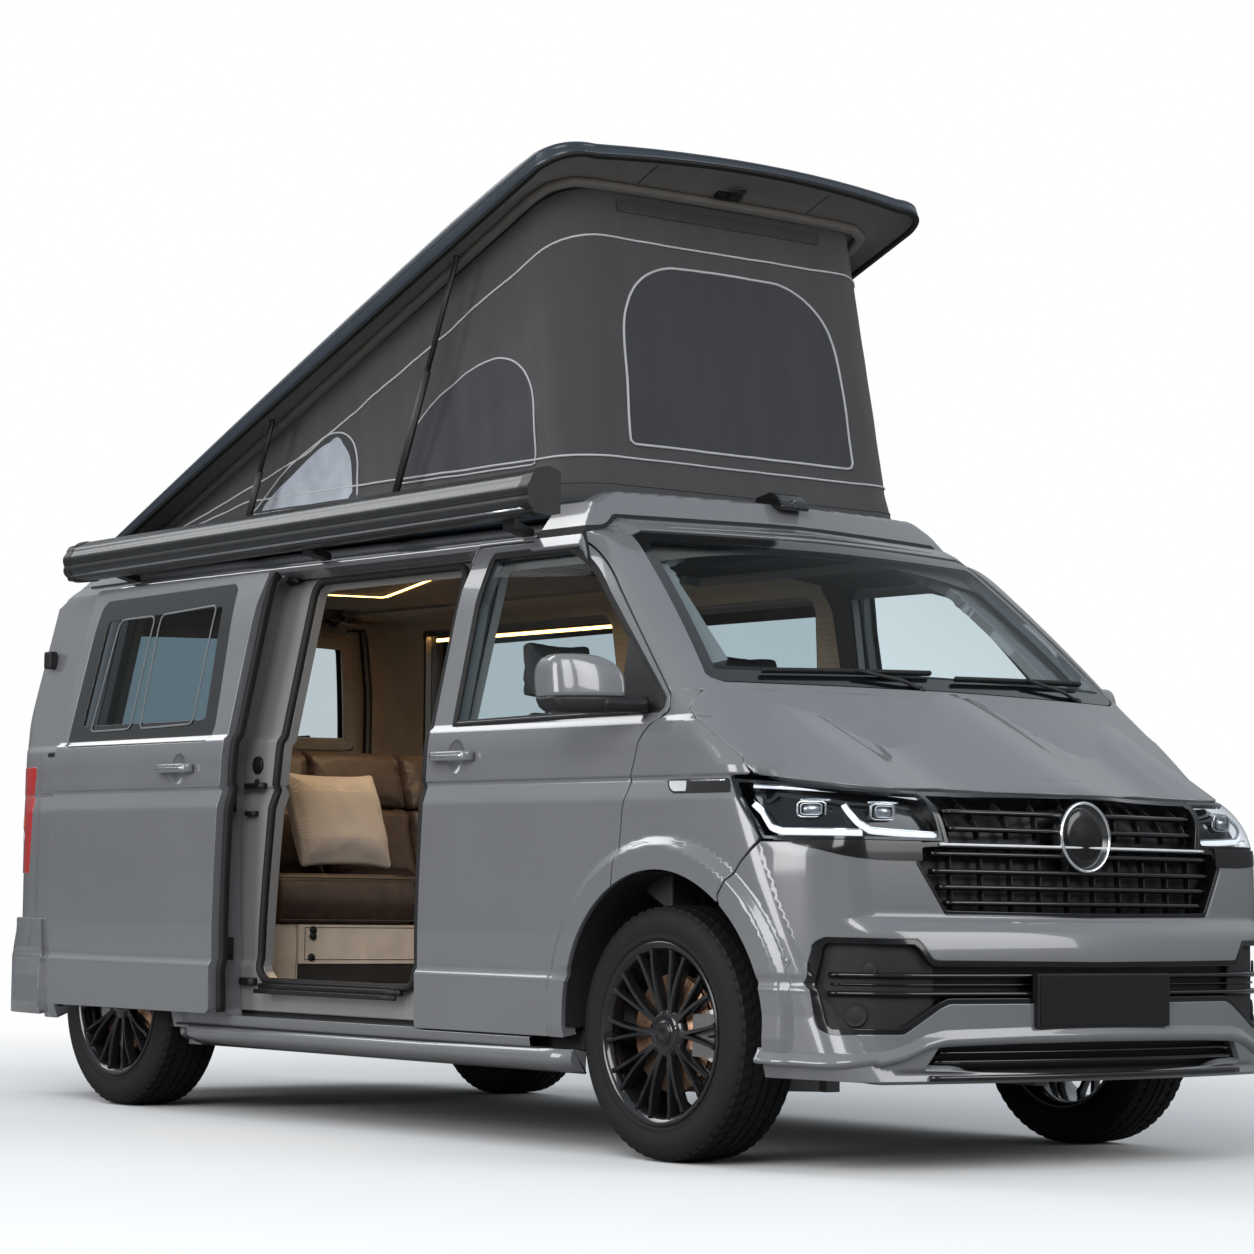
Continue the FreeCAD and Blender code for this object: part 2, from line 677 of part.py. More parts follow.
# Cabin
def seat(y):
    base = block(640, 1080, y - 200, y + 200, floor_z, 640)
    cushion = side_prism([(560, 640), (1120, 640), (1140, 700, 10), (1120, 800, 12), (600, 770)],
                         y - 240, y + 240)
    back = side_prism([(500, 700), (620, 700), (470, 1330, 8), (410, 1345, 0), (372, 1310)],
                      y - 235, y + 235)
    rest = side_prism([(368, 1380), (440, 1372, 8), (420, 1560, 10), (360, 1556)],
                      y - 130, y + 130)
    posts = [rod(at(415, y + s, 1320), at(402, y + s, 1400), 7) for s in (-60, 60)]
    return base.fuse([cushion, back, rest] + posts)


def bench_base():
    return block(-1330, -790, -690, 520, floor_z, 640).cut(wheel_house_space())


def bench_cushions():
    pad = side_prism([(-1300, 641), (-770, 641, 14), (-742, 720, 14), (-790, 815, 6), (-1300, 780)],
                     -690, 520)
    back = side_prism([(-1180, 790), (-1040, 800), (-1200, 1240, 14), (-1290, 1270), (-1330, 1200)],
                      -690, 520)
    bolster = side_prism([(-1060, 790), (-900, 815), (-915, 1020, 30), (-990, 1090), (-1100, 1100)],
                         -690, -600)
    return pad.fuse([back, bolster]).cut(wheel_house_space())


def pillow():
    pad = block(-60, 60, -210, 210, -190, 190)
    pad = pad.makeFillet(50, pad.Edges)
    pad.rotate(at(0, 0, 0), Y, -22)
    pad.translate(at(-952, -330, 1004))
    return pad


def wheel_house_space():
    grown = across(rear_axle_x, tyre_radius + 10, rear_arch_radius + 20, 588, 1000)
    return both_sides(grown)


def side_cabinet():
    return block(-1960, -100, 560, 812, floor_z, 1120).cut(wheel_house_space())


def ceiling():
    panel = block(-1900, -60, -600, 600, 1838, 1858)
    bed = block(-1596, -60, -596, 596, 1858, 1940)
    return panel.fuse(bed)


def dashboard():
    rows = [(1519, 700), (1519, 1340), (1500, 1342, 20), (1330, 1250), (1290, 1150), (1310, 930),
            (1400, 760)]
    well = both_sides(across(arch_x, arch_z, arch_radius + 12, 455, 1200))
    return side_prism(rows, -840, 840).common(cabin_hull(wall + 48)).cut(well)


wheel_centre = at(1130, 380, 1130)
wheel_tilt = 28.0


def steering_wheel():
    ring = Part.makeTorus(182, 15)
    boss = Part.makeCylinder(52, 40, at(0, 0, -10))
    arms = [Part.makeBox(140, 34, 18, at(40, -17, -9)), Part.makeBox(140, 34, 18, at(-180, -17, -9)),
            Part.makeBox(34, 140, 18, at(-17, -180, -9))]
    wheel = ring.fuse([boss] + arms).cut(Part.makeCylinder(20.3, 30, at(0, 0, -20)))
    return aimed(wheel)


def aimed(shape):
    # local +Z is the column's axis, towards the driver
    moved = shape.copy()
    moved.rotate(at(0, 0, 0), Z, 90)
    moved.rotate(at(0, 0, 0), Y, wheel_tilt - 90)
    moved.translate(wheel_centre)
    return moved


def steering_column():
    return aimed(Part.makeCylinder(20, 260, at(0, 0, -258)))


def wipers():
    # bars that follow the glass, each a long thin blade and a short arm
    blade_skin = turned(windscreen_profile, bow_axis_x, 1, -22)
    blade_skin = blade_skin.cut(turned(windscreen_profile, bow_axis_x, 1, 8))
    bars = []
    for y0, y1 in ((-640, -20), (60, 690)):
        rows = [(y0, 1392), (y1, 1412), (y1, 1428), (y0, 1408)]
        bars.append(blade_skin.common(front_prism(rows, 1500, 2000)))
    return bars[0].fuse(bars[1])


def write(name, shape):
    solids = shape.Solids
    kept = solids[0] if len(solids) == 1 else Part.makeCompound(solids)
    kept.exportStep("parts/" + name + ".step")
    print(name, "valid" if kept.isValid() else "INVALID", len(solids), "solids",
          round(shape.Volume / 1e6, 3), "litres")


pieces = {
    "body_shell": body_shell,
    "windscreen": lambda: glass_skin.common(front_prism(windscreen_outline, 1040, 2400)),
    "side_glass": lambda: side_glass(left_window, True).fuse(
        [side_glass(quarter_window, left) for left in (True, False)]),
    "bonnet": bonnet,
    "front_bumper": front_bumper,
    "grille": grille,
    "bumper_grille": bumper_grille,
    "sliding_door": sliding_door,
    "sliding_door_glass": lambda: slid(side_glass(slide_window, False)),
    "tailgate": tailgate,
    "tailgate_glass": lambda: glass_skin.common(front_prism(tail_window, -2600, -1990)),
    "rear_bumper": rear_bumper,
    "tail_lamps": tail_lamps,
    "side_skirts": side_skirts,
    "roof_frame": roof_frame,
    "roof_fairing": roof_fairing,
    "awning": awning,
    "pop_top_roof": pop_top_roof,
    "pop_top_lining": pop_top_lining,
    "tent": tent,
    "front_stays": lambda: stays("front_stays"),
    "rear_stays": lambda: stays("rear_stays"),
    "front_subframe": front_subframe,
    "rear_axle": rear_axle,
    "fuel_tank": fuel_tank,
    "engine_block": lambda: block(1600, 2150, -330, 330, 379, 900),
    "seat_left": lambda: seat(400),
    "seat_right": lambda: seat(-400),
    "bench_base": bench_base,
    "bench_cushions": bench_cushions,
    "pillow": pillow,
    "side_cabinet": side_cabinet,
    "ceiling": ceiling,
    "dashboard": lambda: dashboard().fuse(steering_column()),
    "steering_wheel": steering_wheel,
    "wipers": wipers,
}
for side, is_left in (("left", True), ("right", False)):
    pieces["fender_" + side] = lambda left=is_left: fender(left)
    pieces["headlamp_" + side] = lambda left=is_left: headlamp(left)
    pieces["front_door_" + side] = lambda left=is_left: front_door(left)
    pieces["front_door_glass_" + side] = lambda left=is_left: side_glass(front_window, left)
    pieces["mirror_" + side] = lambda left=is_left: mirror_unit(left)
    pieces["knuckle_" + side] = lambda left=is_left: knuckle(left)
    for end, axle in (("front", front_axle_x), ("rear", rear_axle_x)):
        pieces["wheel_%s_%s" % (end, side)] = lambda x=axle, left=is_left: rim(x, left)
        pieces["tyre_%s_%s" % (end, side)] = lambda x=axle, left=is_left: tyre(x, left)

for name, make in pieces.items():
    write(name, make())
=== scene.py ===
import bpy, bmesh, json, math, random
import numpy as np
from mathutils import Vector, Matrix, noise

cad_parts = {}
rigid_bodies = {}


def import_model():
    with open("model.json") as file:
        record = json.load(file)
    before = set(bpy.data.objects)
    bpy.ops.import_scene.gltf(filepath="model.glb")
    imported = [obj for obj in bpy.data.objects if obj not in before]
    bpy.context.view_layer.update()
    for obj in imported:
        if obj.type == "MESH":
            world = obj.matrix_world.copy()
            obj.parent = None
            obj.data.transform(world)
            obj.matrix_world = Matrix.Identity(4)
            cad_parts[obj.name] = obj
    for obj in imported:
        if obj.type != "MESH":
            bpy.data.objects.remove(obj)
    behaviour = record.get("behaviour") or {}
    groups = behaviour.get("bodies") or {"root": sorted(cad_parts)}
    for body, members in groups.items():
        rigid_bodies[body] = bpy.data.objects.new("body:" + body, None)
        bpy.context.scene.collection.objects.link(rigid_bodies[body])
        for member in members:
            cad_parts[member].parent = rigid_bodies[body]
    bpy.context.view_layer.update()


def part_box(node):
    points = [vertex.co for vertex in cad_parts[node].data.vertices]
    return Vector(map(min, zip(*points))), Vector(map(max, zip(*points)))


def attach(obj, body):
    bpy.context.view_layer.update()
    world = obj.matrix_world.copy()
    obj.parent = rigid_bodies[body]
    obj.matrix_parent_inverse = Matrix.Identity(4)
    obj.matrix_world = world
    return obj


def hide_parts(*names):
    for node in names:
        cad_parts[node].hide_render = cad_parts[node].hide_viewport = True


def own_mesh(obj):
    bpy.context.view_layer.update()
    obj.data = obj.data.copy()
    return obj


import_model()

random.seed(7)
print("frame loaded")

# Camper van. Metres, +X forward, +Y left, +Z up. Outline tables are in millimetres and are
# scaled where they are used: rows (a, b) or (a, b, bulge), a bulge standing out to the right.

van = {
    "frontAxle": 1.570, "rearAxle": -1.430, "trackHalf": 0.812, "hubHeight": 0.364,
    "frontArch": (1.600, 0.398, 0.430), "rearArch": (-1.430, 0.374, 0.425),
    "shut": 0.0026,      # half of the gap between two panels
    "roll": 0.003,       # rounding of a panel's edge
    "bowAxis": -1.550, "tailAxis": 3.000,
    # corners of the plan: centre and radius
    "noseCorner": ((1.948, 0.424), 0.510), "tailCorner": ((-2.050, 0.586), 0.3224),
    "rayStart": 0.45, "rayReach": 1.45, "probe": 0.0015, "hemArcs": 3,
    # where the side's sheet meets those of the roof and the windscreen pillar
    "roofJoint": 1.868, "pillarJoint": 0.99,
}


def arcLoop(rows, closed=True, steps=10):
    # corner points of an outline, in metres
    points = []
    last = len(rows) if closed else len(rows) - 1
    for i in range(last):
        a0, b0 = rows[i][:2]
        a1, b1 = rows[(i + 1) % len(rows)][:2]
        bulge = rows[i][2] if len(rows[i]) > 2 else 0.0
        run = math.hypot(a1 - a0, b1 - b0)
        for k in range(steps if bulge else 1):
            u = k / steps
            out = 4 * u * (1 - u) * bulge / run
            points.append((a0 + (a1 - a0) * u + out * (b1 - b0), b0 + (b1 - b0) * u - out * (a1 - a0)))
    if not closed:
        points.append(rows[-1][:2])
    return np.array(points) * 0.001


def sideOf(left):
    return "left" if left else "right"


def bothHalves(rows):
    # half an outline from the centre line round to the centre line, and its mirror image
    full = [(row[0], row[1], row[2] if len(row) > 2 else 0.0) for row in rows]
    before = [0.0] + [row[2] for row in full[:-1]]
    back = [(-row[0], row[1], bulge) for row, bulge in zip(full, before)]
    top = (full[-1][0], full[-1][1], before[-1])
    return full[:-1] + [top] + [row for row in reversed(back) if abs(row[0]) > 1e-6]


# The outer skin of the van is where bodyField is zero: negative inside, positive outside.
def table(rows):
    points = arcLoop(rows, closed=False, steps=12)
    order = np.argsort(points[:, 1])
    return points[order, 1], points[order, 0]


# half width of the body side by height
sideHeights, sideWidths = table([(921, 250), (936, 290), (945, 335), (954, 499), (955, 503), (944, 522),
                                 (950, 640), (953, 800), (953, 1026), (952, 1032), (937, 1082), (934, 1089),
                                 (934.5, 1091), (944.5, 1095), (946, 1101), (944, 1160, 2), (937, 1244),
                                 (934, 1256), (921, 1266), (919, 1274), (806, 1826), (778, 1870)])
# front of the nose, windscreen and tail on the centre line, by height
noseHeights, noseReach = table([(2300, 200, 0), (2416, 292, 4), (2420, 400), (2420, 560, 3), (2406, 664),
                                (2398, 676), (2366, 704), (2364, 712, 5), (2326, 1052, 6), (2292, 1100),
                                (2280, 1500, 0)])
glassHeights, glassReach = table([(2440, 200, 0), (2060, 1130, 0), (1792, 1362, 12), (1206, 1866, 14),
                                  (1060, 1925, 0), (900, 2100)])
tailHeights, tailReach = table([(2372, 200, 0), (2372, 1080, 0), (2356, 1280, -8), (2262, 1800, -22),
                                (2160, 1905, 0), (1900, 2100)])
# fall of the bonnet and of the roof away from the centre line
bonnetRows = arcLoop([(0, 0, -26), (820, 88, -36), (960, 330), (1100, 900)], closed=False, steps=14)
roofRows = arcLoop([(0, 0, -6), (670, 18, -26), (778, 66), (900, 400)], closed=False, steps=14)


def smoothMax(a, b, radius):
    h = np.maximum(radius - np.abs(a - b), 0.0) / radius
    return np.maximum(a, b) + h * h * radius * 0.25


def flare(x, z, arch, lift, width):
    # a raised lip round a wheel opening, flat near the edge and falling away outside
    r = np.hypot(x - arch[0], z - arch[1])
    fade = np.clip((arch[2] + width - r) / (0.34 * width), 0, 1)
    low = np.clip((z - 0.25) / 0.12, 0, 1)
    return lift * fade * fade * (3 - 2 * fade) * low


def sideWidth(x, z):
    # the lower ledge dies out towards the front wheel
    width = np.interp(z, sideHeights, sideWidths)
    ledge = np.clip((x - 1.13) / 0.05, 0, 1) * np.clip((0.54 - z) / 0.03, 0, 1) * 0.008
    ledge += np.clip((-1.0 - x) / 0.05, 0, 1) * np.clip((0.54 - z) / 0.03, 0, 1) * 0.008
    width = width - ledge * np.clip((z - 0.33) / 0.1, 0, 1)
    front = np.clip((x - 1.72) / 0.32, 0, None)
    rear = np.clip((-1.30 - x) / 0.76, 0, None)
    width = width - 0.028 * front ** 1.7 - 0.044 * rear ** 1.7
    width = width + flare(x, z, van["frontArch"], 0.021, 0.098)
    return width + flare(x, z, van["rearArch"], 0.015, 0.085)


def turnedField(x, y, z, axis, heights, reach, sign):
    r = np.hypot(x - axis, y)
    limit = np.interp(z, heights, reach)
    slope = (np.interp(z + 0.004, heights, reach) - np.interp(z - 0.004, heights, reach)) / 0.008
    return (r - (limit - sign * axis)) / np.sqrt(1 + slope * slope)


def cornerField(x, y, centre, radius, sign):
    # a rounded corner of the plan, which opens out and lets go of the side beyond its own centre
    dx = sign * (x - centre[0])
    dy = np.maximum(y - centre[1], 0)
    return np.hypot(np.maximum(dx, 0), dy) - radius + 0.7 * np.minimum(dx, 0)


bonnetCreases = {
    "rows": [(1.60, 0.66), (1.80, 0.585), (1.96, 0.52), (2.10, 0.525), (2.20, 0.54), (2.40, 0.56)],
    "lift": 0.007, "inner": 0.10, "outer": 0.042,
}


evenPowers = (2, 4, 6, 8)


def evenFit(rows):
    # one smooth curve through a table, the same on both sides of the centre line
    terms = np.stack([rows[:, 0] ** k for k in evenPowers], axis=1)
    return np.linalg.lstsq(terms, rows[:, 1], rcond=None)[0]


bonnetFit = evenFit(bonnetRows[bonnetRows[:, 0] < 0.99])
creaseFit = np.polyfit(*np.array(bonnetCreases["rows"]).T, 2)


def bonnetHeight(x, y):
    reach = np.minimum(y, 0.97)
    fall = sum(a * reach ** k for a, k in zip(bonnetFit, evenPowers)) + 3.0 * (y - reach)
    crown = 1.364 - 0.544 * (x - 1.792) - 0.10 * np.maximum(x - 2.02, 0) ** 2
    line = np.polyval(creaseFit, np.clip(x, 1.6, 2.4))
    width = np.where(y < line, bonnetCreases["inner"], bonnetCreases["outer"])
    ridge = 1 / (1 + ((y - line) / width) ** 2)
    fade = np.clip((2.36 - x) / 0.16, 0, 1) * np.clip((x - 1.58) / 0.2, 0, 1)
    return crown - fall + bonnetCreases["lift"] * ridge * fade


def bodyField(p):
    x, y, z = p[:, 0], np.abs(p[:, 1]), p[:, 2]
    side = y - sideWidth(x, z)
    roof = z - (1.932 - np.interp(y, roofRows[:, 0], roofRows[:, 1]))
    screen = turnedField(x, y, z, van["bowAxis"], glassHeights, glassReach, 1)
    tail = turnedField(x, y, z, van["tailAxis"], tailHeights, tailReach, -1)
    cabin = smoothMax(side, roof, 0.05)
    cabin = smoothMax(cabin, smoothMax(tail, cornerField(x, y, *van["tailCorner"], -1), 0.02), 0.03)
    cabin = smoothMax(cabin, screen, 0.075)
    front = turnedField(x, y, z, van["bowAxis"], noseHeights, noseReach, 1)
    top = (z - bonnetHeight(x, y)) * 0.87
    nose = smoothMax(side, cornerField(x, y, *van["noseCorner"], 1), 0.03)
    nose = smoothMax(smoothMax(nose, top, 0.045), front, 0.035)
    nose = np.maximum(nose, 1.0 - x)
    return np.minimum(cabin, nose)


def fieldNormals(p, field=None):
    field = field or bodyField
    grads = []
    for axis in range(3):
        step = np.zeros(3)
        step[axis] = van["probe"]
        grads.append(field(p + step) - field(p - step))
    n = np.stack(grads, axis=1)
    return n / np.maximum(np.linalg.norm(n, axis=1, keepdims=True), 1e-9)


def onSkin(origins, directions, level=0.0, field=None):
    # the point of each ray where the field rises through the level
    field = field or bodyField
    low = np.zeros(len(origins))
    high = np.full(len(origins), van["rayReach"])
    for _ in range(22):
        mid = (low + high) / 2
        inside = field(origins + directions * mid[:, None]) < level
        low = np.where(inside, mid, low)
        high = np.where(inside, high, mid)
    return origins + directions * low[:, None]


def castSide(xs, zs, level=0.0, sign=1, start=van["rayStart"]):
    # points of the side by x and z, on the left if sign is 1
    xs, zs = np.broadcast_arrays(np.atleast_1d(xs).astype(float), np.atleast_1d(zs).astype(float))
    origins = np.stack([xs, np.full(len(xs), start), zs], axis=1)
    return onSkin(origins, np.tile([0, 1.0, 0], (len(xs), 1)), level) * [1, sign, 1]


def castEnd(ys, zs, level=0.0, way=1.0, start=1.6):
    # points of the front by y and z, or of the tail if way is -1
    ys, zs = np.broadcast_arrays(np.atleast_1d(ys).astype(float), np.atleast_1d(zs).astype(float))
    origins = np.stack([np.full(len(ys), start * way), ys, zs], axis=1)
    return onSkin(origins, np.tile([way, 0, 0], (len(ys), 1)), level)


def bowReach(p):
    # distance from the upright axis that the nose and the windscreen are bowed about
    return np.hypot(p[:, 0] - van["bowAxis"], p[:, 1])


def spread(start, end, step):
    return np.linspace(start, end, max(2, int(abs(end - start) / step) + 1))


def heightRows(low, high, step=0.016):
    # even rows, and close rows at the two creases and at the belt
    rows = list(spread(low, high, step))
    for crease in (0.499, 0.503, 0.511, 0.522, 1.026, 1.032, 1.058, 1.082, 1.089, 1.092, 1.095, 1.101,
                   1.244, 1.256, 1.266, 1.274, 0.664, 0.676, 0.704, 0.712):
        if low + 0.004 < crease < high - 0.004:
            rows = [z for z in rows if abs(z - crease) > 0.0038] + [crease]
    return np.array(sorted(rows))


# Grids of rays. Each is (origins, directions, columns, rows).
def gridOf(path, heights):
    # path rows are (x, y, dx, dy); every ray is level
    path = np.array(path)
    n, m = len(path), len(heights)
    origins = np.zeros((n, m, 3))
    origins[:, :, :2] = path[:, None, :2]
    origins[:, :, 2] = heights[None, :]
    directions = np.zeros((n, m, 3))
    directions[:, :, :2] = path[:, None, 2:]
    return origins.reshape(-1, 3), directions.reshape(-1, 3), n, m


def sideGrid(x0, x1, z0, z1, step=0.016):
    return gridOf([(x, 0.45, 0, 1) for x in spread(x0, x1, step)], heightRows(z0, z1, step))


def cornerPath(xStart, yEnd, step, centre, radius, endWay):
    # back or forth along the side, round a corner of the plan and in towards the centre line
    cx, cy = centre
    path = [(x, cy, 0, 1) for x in spread(xStart, cx, step)[:-1]]
    for a in np.linspace(math.pi / 2, 0 if endWay > 0 else math.pi, int(0.5 * math.pi * radius / step)):
        path.append((cx, cy, math.cos(a), math.sin(a)))
    return path + [(cx, y, endWay, 0) for y in spread(cy, yEnd, step)[1:]]


def nosePath(xStart, step=0.014, yEnd=0.0):
    return cornerPath(xStart, yEnd, step, *van["noseCorner"], 1)


def tailPath(xStart, step=0.016, yEnd=0.0):
    return cornerPath(xStart, yEnd, step, (-2.05, van["rayStart"]), 0.33, -1)


def wholePath(half):
    # a path from the left end round to the centre, and on to the right end
    return half + [(x, -y, dx, -dy) for x, y, dx, dy in reversed(half[:-1])]


def topGrid(x0, x1, y0, y1, step=0.016):
    xs, ys = spread(x0, x1, step), spread(y0, y1, step)
    gx, gy = np.meshgrid(xs, ys, indexing="ij")
    origins = np.stack([gx, gy, np.full_like(gx, 0.7)], axis=2).reshape(-1, 3)
    return origins, np.tile([0.0, 0.0, 1.0], (len(origins), 1)), len(xs), len(ys)


def screenGrid(z0, z1, xEnd, step):
    # across the windscreen from the centre line, round the pillar and back along the side
    heights = spread(z0, z1, step)
    rows = []
    for z in heights:
        front = np.interp(z, glassHeights, glassReach)
        corner = (front - 0.30, 0.56)
        half = [(corner[0], y, 1, 0) for y in spread(0.0, 0.56, step)[:-1]]
        half += [(corner[0], 0.56, math.cos(a), math.sin(a)) for a in np.linspace(0, math.pi / 2, 34)]
        half += [(x, 0.56, 0, 1) for x in np.linspace(corner[0], xEnd, 60)[1:]]
        rows.append(half)
    n, m = len(rows[0]), len(heights)
    path = np.array(rows).transpose(1, 0, 2)
    origins = np.zeros((n, m, 3))
    origins[:, :, :2] = path[:, :, :2]
    origins[:, :, 2] = heights[None, :]
    directions = np.zeros((n, m, 3))
    directions[:, :, :2] = path[:, :, 2:]
    return origins.reshape(-1, 3), directions.reshape(-1, 3), n, m


# Trims. Each gives the signed distance to an outline, negative on the side that is kept.
def loopDistance(loop, a, b):
    p = np.stack([a, b], axis=1)
    start, end = loop, np.roll(loop, -1, axis=0)
    best = np.full(len(p), 1e9)
    inside = np.zeros(len(p), bool)
    for s, e in zip(start, end):
        edge = e - s
        t = np.clip(((p - s) @ edge) / max(edge @ edge, 1e-12), 0, 1)
        best = np.minimum(best, np.linalg.norm(p - s - t[:, None] * edge, axis=1))
        if s[1] != e[1]:
            cross = (s[1] > p[:, 1]) != (e[1] > p[:, 1])
            inside ^= cross & (p[:, 0] < (e[0] - s[0]) * (p[:, 1] - s[1]) / (e[1] - s[1]) + s[0])
    return np.where(inside, -best, best)


def inSide(rows, grow=0.0):
    loop = arcLoop(rows)
    return lambda p: loopDistance(loop, p[:, 0], p[:, 2]) - grow


def inFront(rows, grow=0.0):
    loop = arcLoop(rows)
    return lambda p: loopDistance(loop, np.abs(p[:, 1]), p[:, 2]) - grow


def inTop(rows):
    loop = arcLoop(rows)
    return lambda p: loopDistance(loop, p[:, 0], np.abs(p[:, 1]))


def outOf(trim):
    return lambda p: -trim(p)


def clearOfArch(arch, grow=0.0):
    return lambda p: arch[2] + grow - np.hypot(p[:, 0] - arch[0], p[:, 2] - arch[1])


def above(z):
    return lambda p: z - p[:, 2]


def below(z):
    return lambda p: p[:, 2] - z


def ahead(x):
    return lambda p: x - p[:, 0]


def behind(x):
    return lambda p: p[:, 0] - x


def clipped(points, triangles, trim):
    # keeps the part of the triangles where the trim is negative
    value = trim(points)
    value = np.where(np.abs(value) < 2e-5, -2e-5, value)
    inside = value < 0
    count = inside[triangles].sum(axis=1)
    kept = [triangles[count == 3]]
    new, made, cut = [], {}, []

    def crossing(i, j):
        key = (min(i, j), max(i, j))
        if key not in made:
            t = value[key[0]] / (value[key[0]] - value[key[1]])
            new.append(points[key[0]] * (1 - t) + points[key[1]] * t)
            made[key] = len(points) + len(new) - 1
        return made[key]

    for tri in triangles[(count == 1) | (count == 2)]:
        if inside[tri].sum() == 1:
            k = int(np.argmax(inside[tri]))
            a, b, c = tri[k], tri[(k + 1) % 3], tri[(k + 2) % 3]
            cut.append((a, crossing(a, b), crossing(a, c)))
        else:
            k = int(np.argmin(inside[tri]))
            a, b, c = tri[k], tri[(k + 1) % 3], tri[(k + 2) % 3]
            ab, ac = crossing(a, b), crossing(a, c)
            cut += [(b, c, ab), (c, ac, ab)]
    if new:
        points = np.vstack([points, np.array(new)])
    if cut:
        kept.append(np.array(cut))
    triangles = np.vstack(kept) if len(kept) > 1 else kept[0]
    used, index = np.unique(triangles, return_inverse=True)
    return points[used], index.reshape(-1, 3)


def boundaryOf(points, triangles, normals):
    # the open edges, and for each point on them the way out of the sheet
    edges = np.vstack([triangles[:, [0, 1]], triangles[:, [1, 2]], triangles[:, [2, 0]]])
    keys = edges.min(axis=1).astype(np.int64) * len(points) + edges.max(axis=1)
    _, first, counts = np.unique(keys, return_index=True, return_counts=True)
    rim = edges[first[counts == 1]]
    along = points[rim[:, 1]] - points[rim[:, 0]]
    away = np.zeros_like(points)
    for end in (0, 1):
        np.add.at(away, rim[:, end], np.cross(along, normals[rim[:, end]]))
    length = np.linalg.norm(away, axis=1, keepdims=True)
    return rim, away / np.maximum(length, 1e-9)


def gridQuads(rows, columns, wrapRows=False, wrapColumns=False, flip=False):
    # the faces between rows of points; a wrap joins the last row or column to the first
    i, k = np.meshgrid(np.arange(rows if wrapRows else rows - 1),
                       np.arange(columns if wrapColumns else columns - 1), indexing="ij")
    j, l = (i + 1) % rows, (k + 1) % columns
    corners = [i * columns + k, i * columns + l, j * columns + l, j * columns + k]
    if flip:
        corners = corners[:1] + corners[:0:-1]
    return np.stack(corners, axis=-1).reshape(-1, 4)


def gridTriangles(rows, columns):
    quads = gridQuads(rows, columns, flip=True)
    return np.vstack([quads[:, [0, 1, 2]], quads[:, [0, 2, 3]]])


def endCaps(rings, count):
    # faces that close the first and the last ring of a tube
    return [tuple(range(count))[::-1], tuple(range((rings - 1) * count, rings * count))]


def newPiece(name, points, faces, material, body="root", normals=None, smooth=True):
    mesh = bpy.data.meshes.new(name)
    mesh.from_pydata([tuple(p) for p in points], [], [tuple(int(i) for i in f) for f in faces])
    mesh.validate()
    if smooth:
        mesh.shade_smooth()
    if normals is not None and len(mesh.vertices) == len(normals):
        mesh.normals_split_custom_set_from_vertices([tuple(n) for n in normals])
    piece = bpy.data.objects.new(name, mesh)
    bpy.context.collection.objects.link(piece)
    mesh.materials.append(finish[material])
    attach(piece, body)
    return piece


def sheetOf(grid, trims, level=0.0, field=None):
    origins, directions, n, m = grid
    points, triangles = onSkin(origins, directions, level, field), gridTriangles(n, m)
    for trim in trims:
        points, triangles = clipped(points, triangles, trim)
    normals = fieldNormals(points, field)
    face = np.cross(points[triangles[:, 1]] - points[triangles[:, 0]],
                    points[triangles[:, 2]] - points[triangles[:, 0]])
    if (face * normals[triangles[:, 0]]).sum() < 0:
        triangles = triangles[:, ::-1]
    return points, triangles, normals


def hemmed(points, triangles, normals, roll, depth, joins):
    # rolls every open edge over and turns it inwards, apart from where two pieces join
    rim, away = boundaryOf(points, triangles, normals)
    for join in joins:
        on = np.abs(join(points)) < 2e-4
        rim = rim[~(on[rim[:, 0]] & on[rim[:, 1]])]
    if not len(rim):
        return points, triangles, normals
    onRim = np.unique(rim)
    place = {int(v): i for i, v in enumerate(onRim)}
    allPoints, allNormals, faces = [points], [normals], [triangles]
    p, n, t = points[onRim], normals[onRim], away[onRim]
    before = onRim
    total = len(points)
    rings = [(roll * math.sin(a), roll * (1 - math.cos(a)), a) for a in np.linspace(0, math.pi / 2,
                                                                                    van["hemArcs"] + 1)[1:]]
    rings.append((roll, depth, math.pi / 2))
    for out, down, turn in rings:
        ring = p + t * out - n * down
        now = total + np.arange(len(onRim))
        i = np.array([place[int(v)] for v in rim[:, 0]])
        j = np.array([place[int(v)] for v in rim[:, 1]])
        faces += [np.stack([before[j], before[i], now[i]], 1), np.stack([before[j], now[i], now[j]], 1)]
        allPoints.append(ring)
        allNormals.append(n * math.cos(turn) + t * math.sin(turn))
        before = now
        total += len(onRim)
    return np.vstack(allPoints), np.vstack(faces), np.vstack(allNormals)


def skinPiece(name, grid, trims, material, body="root", level=0.0, roll=None, depth=0.02, field=None,
              mirror=False, shift=None, flip=False, joins=()):
    points, faces, normals = sheetOf(grid, list(trims) + list(joins), level, field)
    if depth:
        points, faces, normals = hemmed(points, faces, normals, roll or van["roll"], depth, joins)
    if mirror:
        points, normals = points * [1, -1, 1], normals * [1, -1, 1]
        faces = faces[:, ::-1]
    if shift is not None:
        points = points + np.array(shift)
    if flip:
        faces, normals = faces[:, ::-1], -normals
    return newPiece(name, points, faces, material, body, normals)

print("materials")

def addNode(tree, kind, inputs=None, **settings):
    node = tree.nodes.new(kind)
    for key, value in settings.items():
        setattr(node, key, value)
    for key, value in (inputs or {}).items():
        socket = node.inputs[key]
        if isinstance(value, bpy.types.NodeSocket):
            tree.links.new(value, socket)
        else:
            socket.default_value = value
    return node


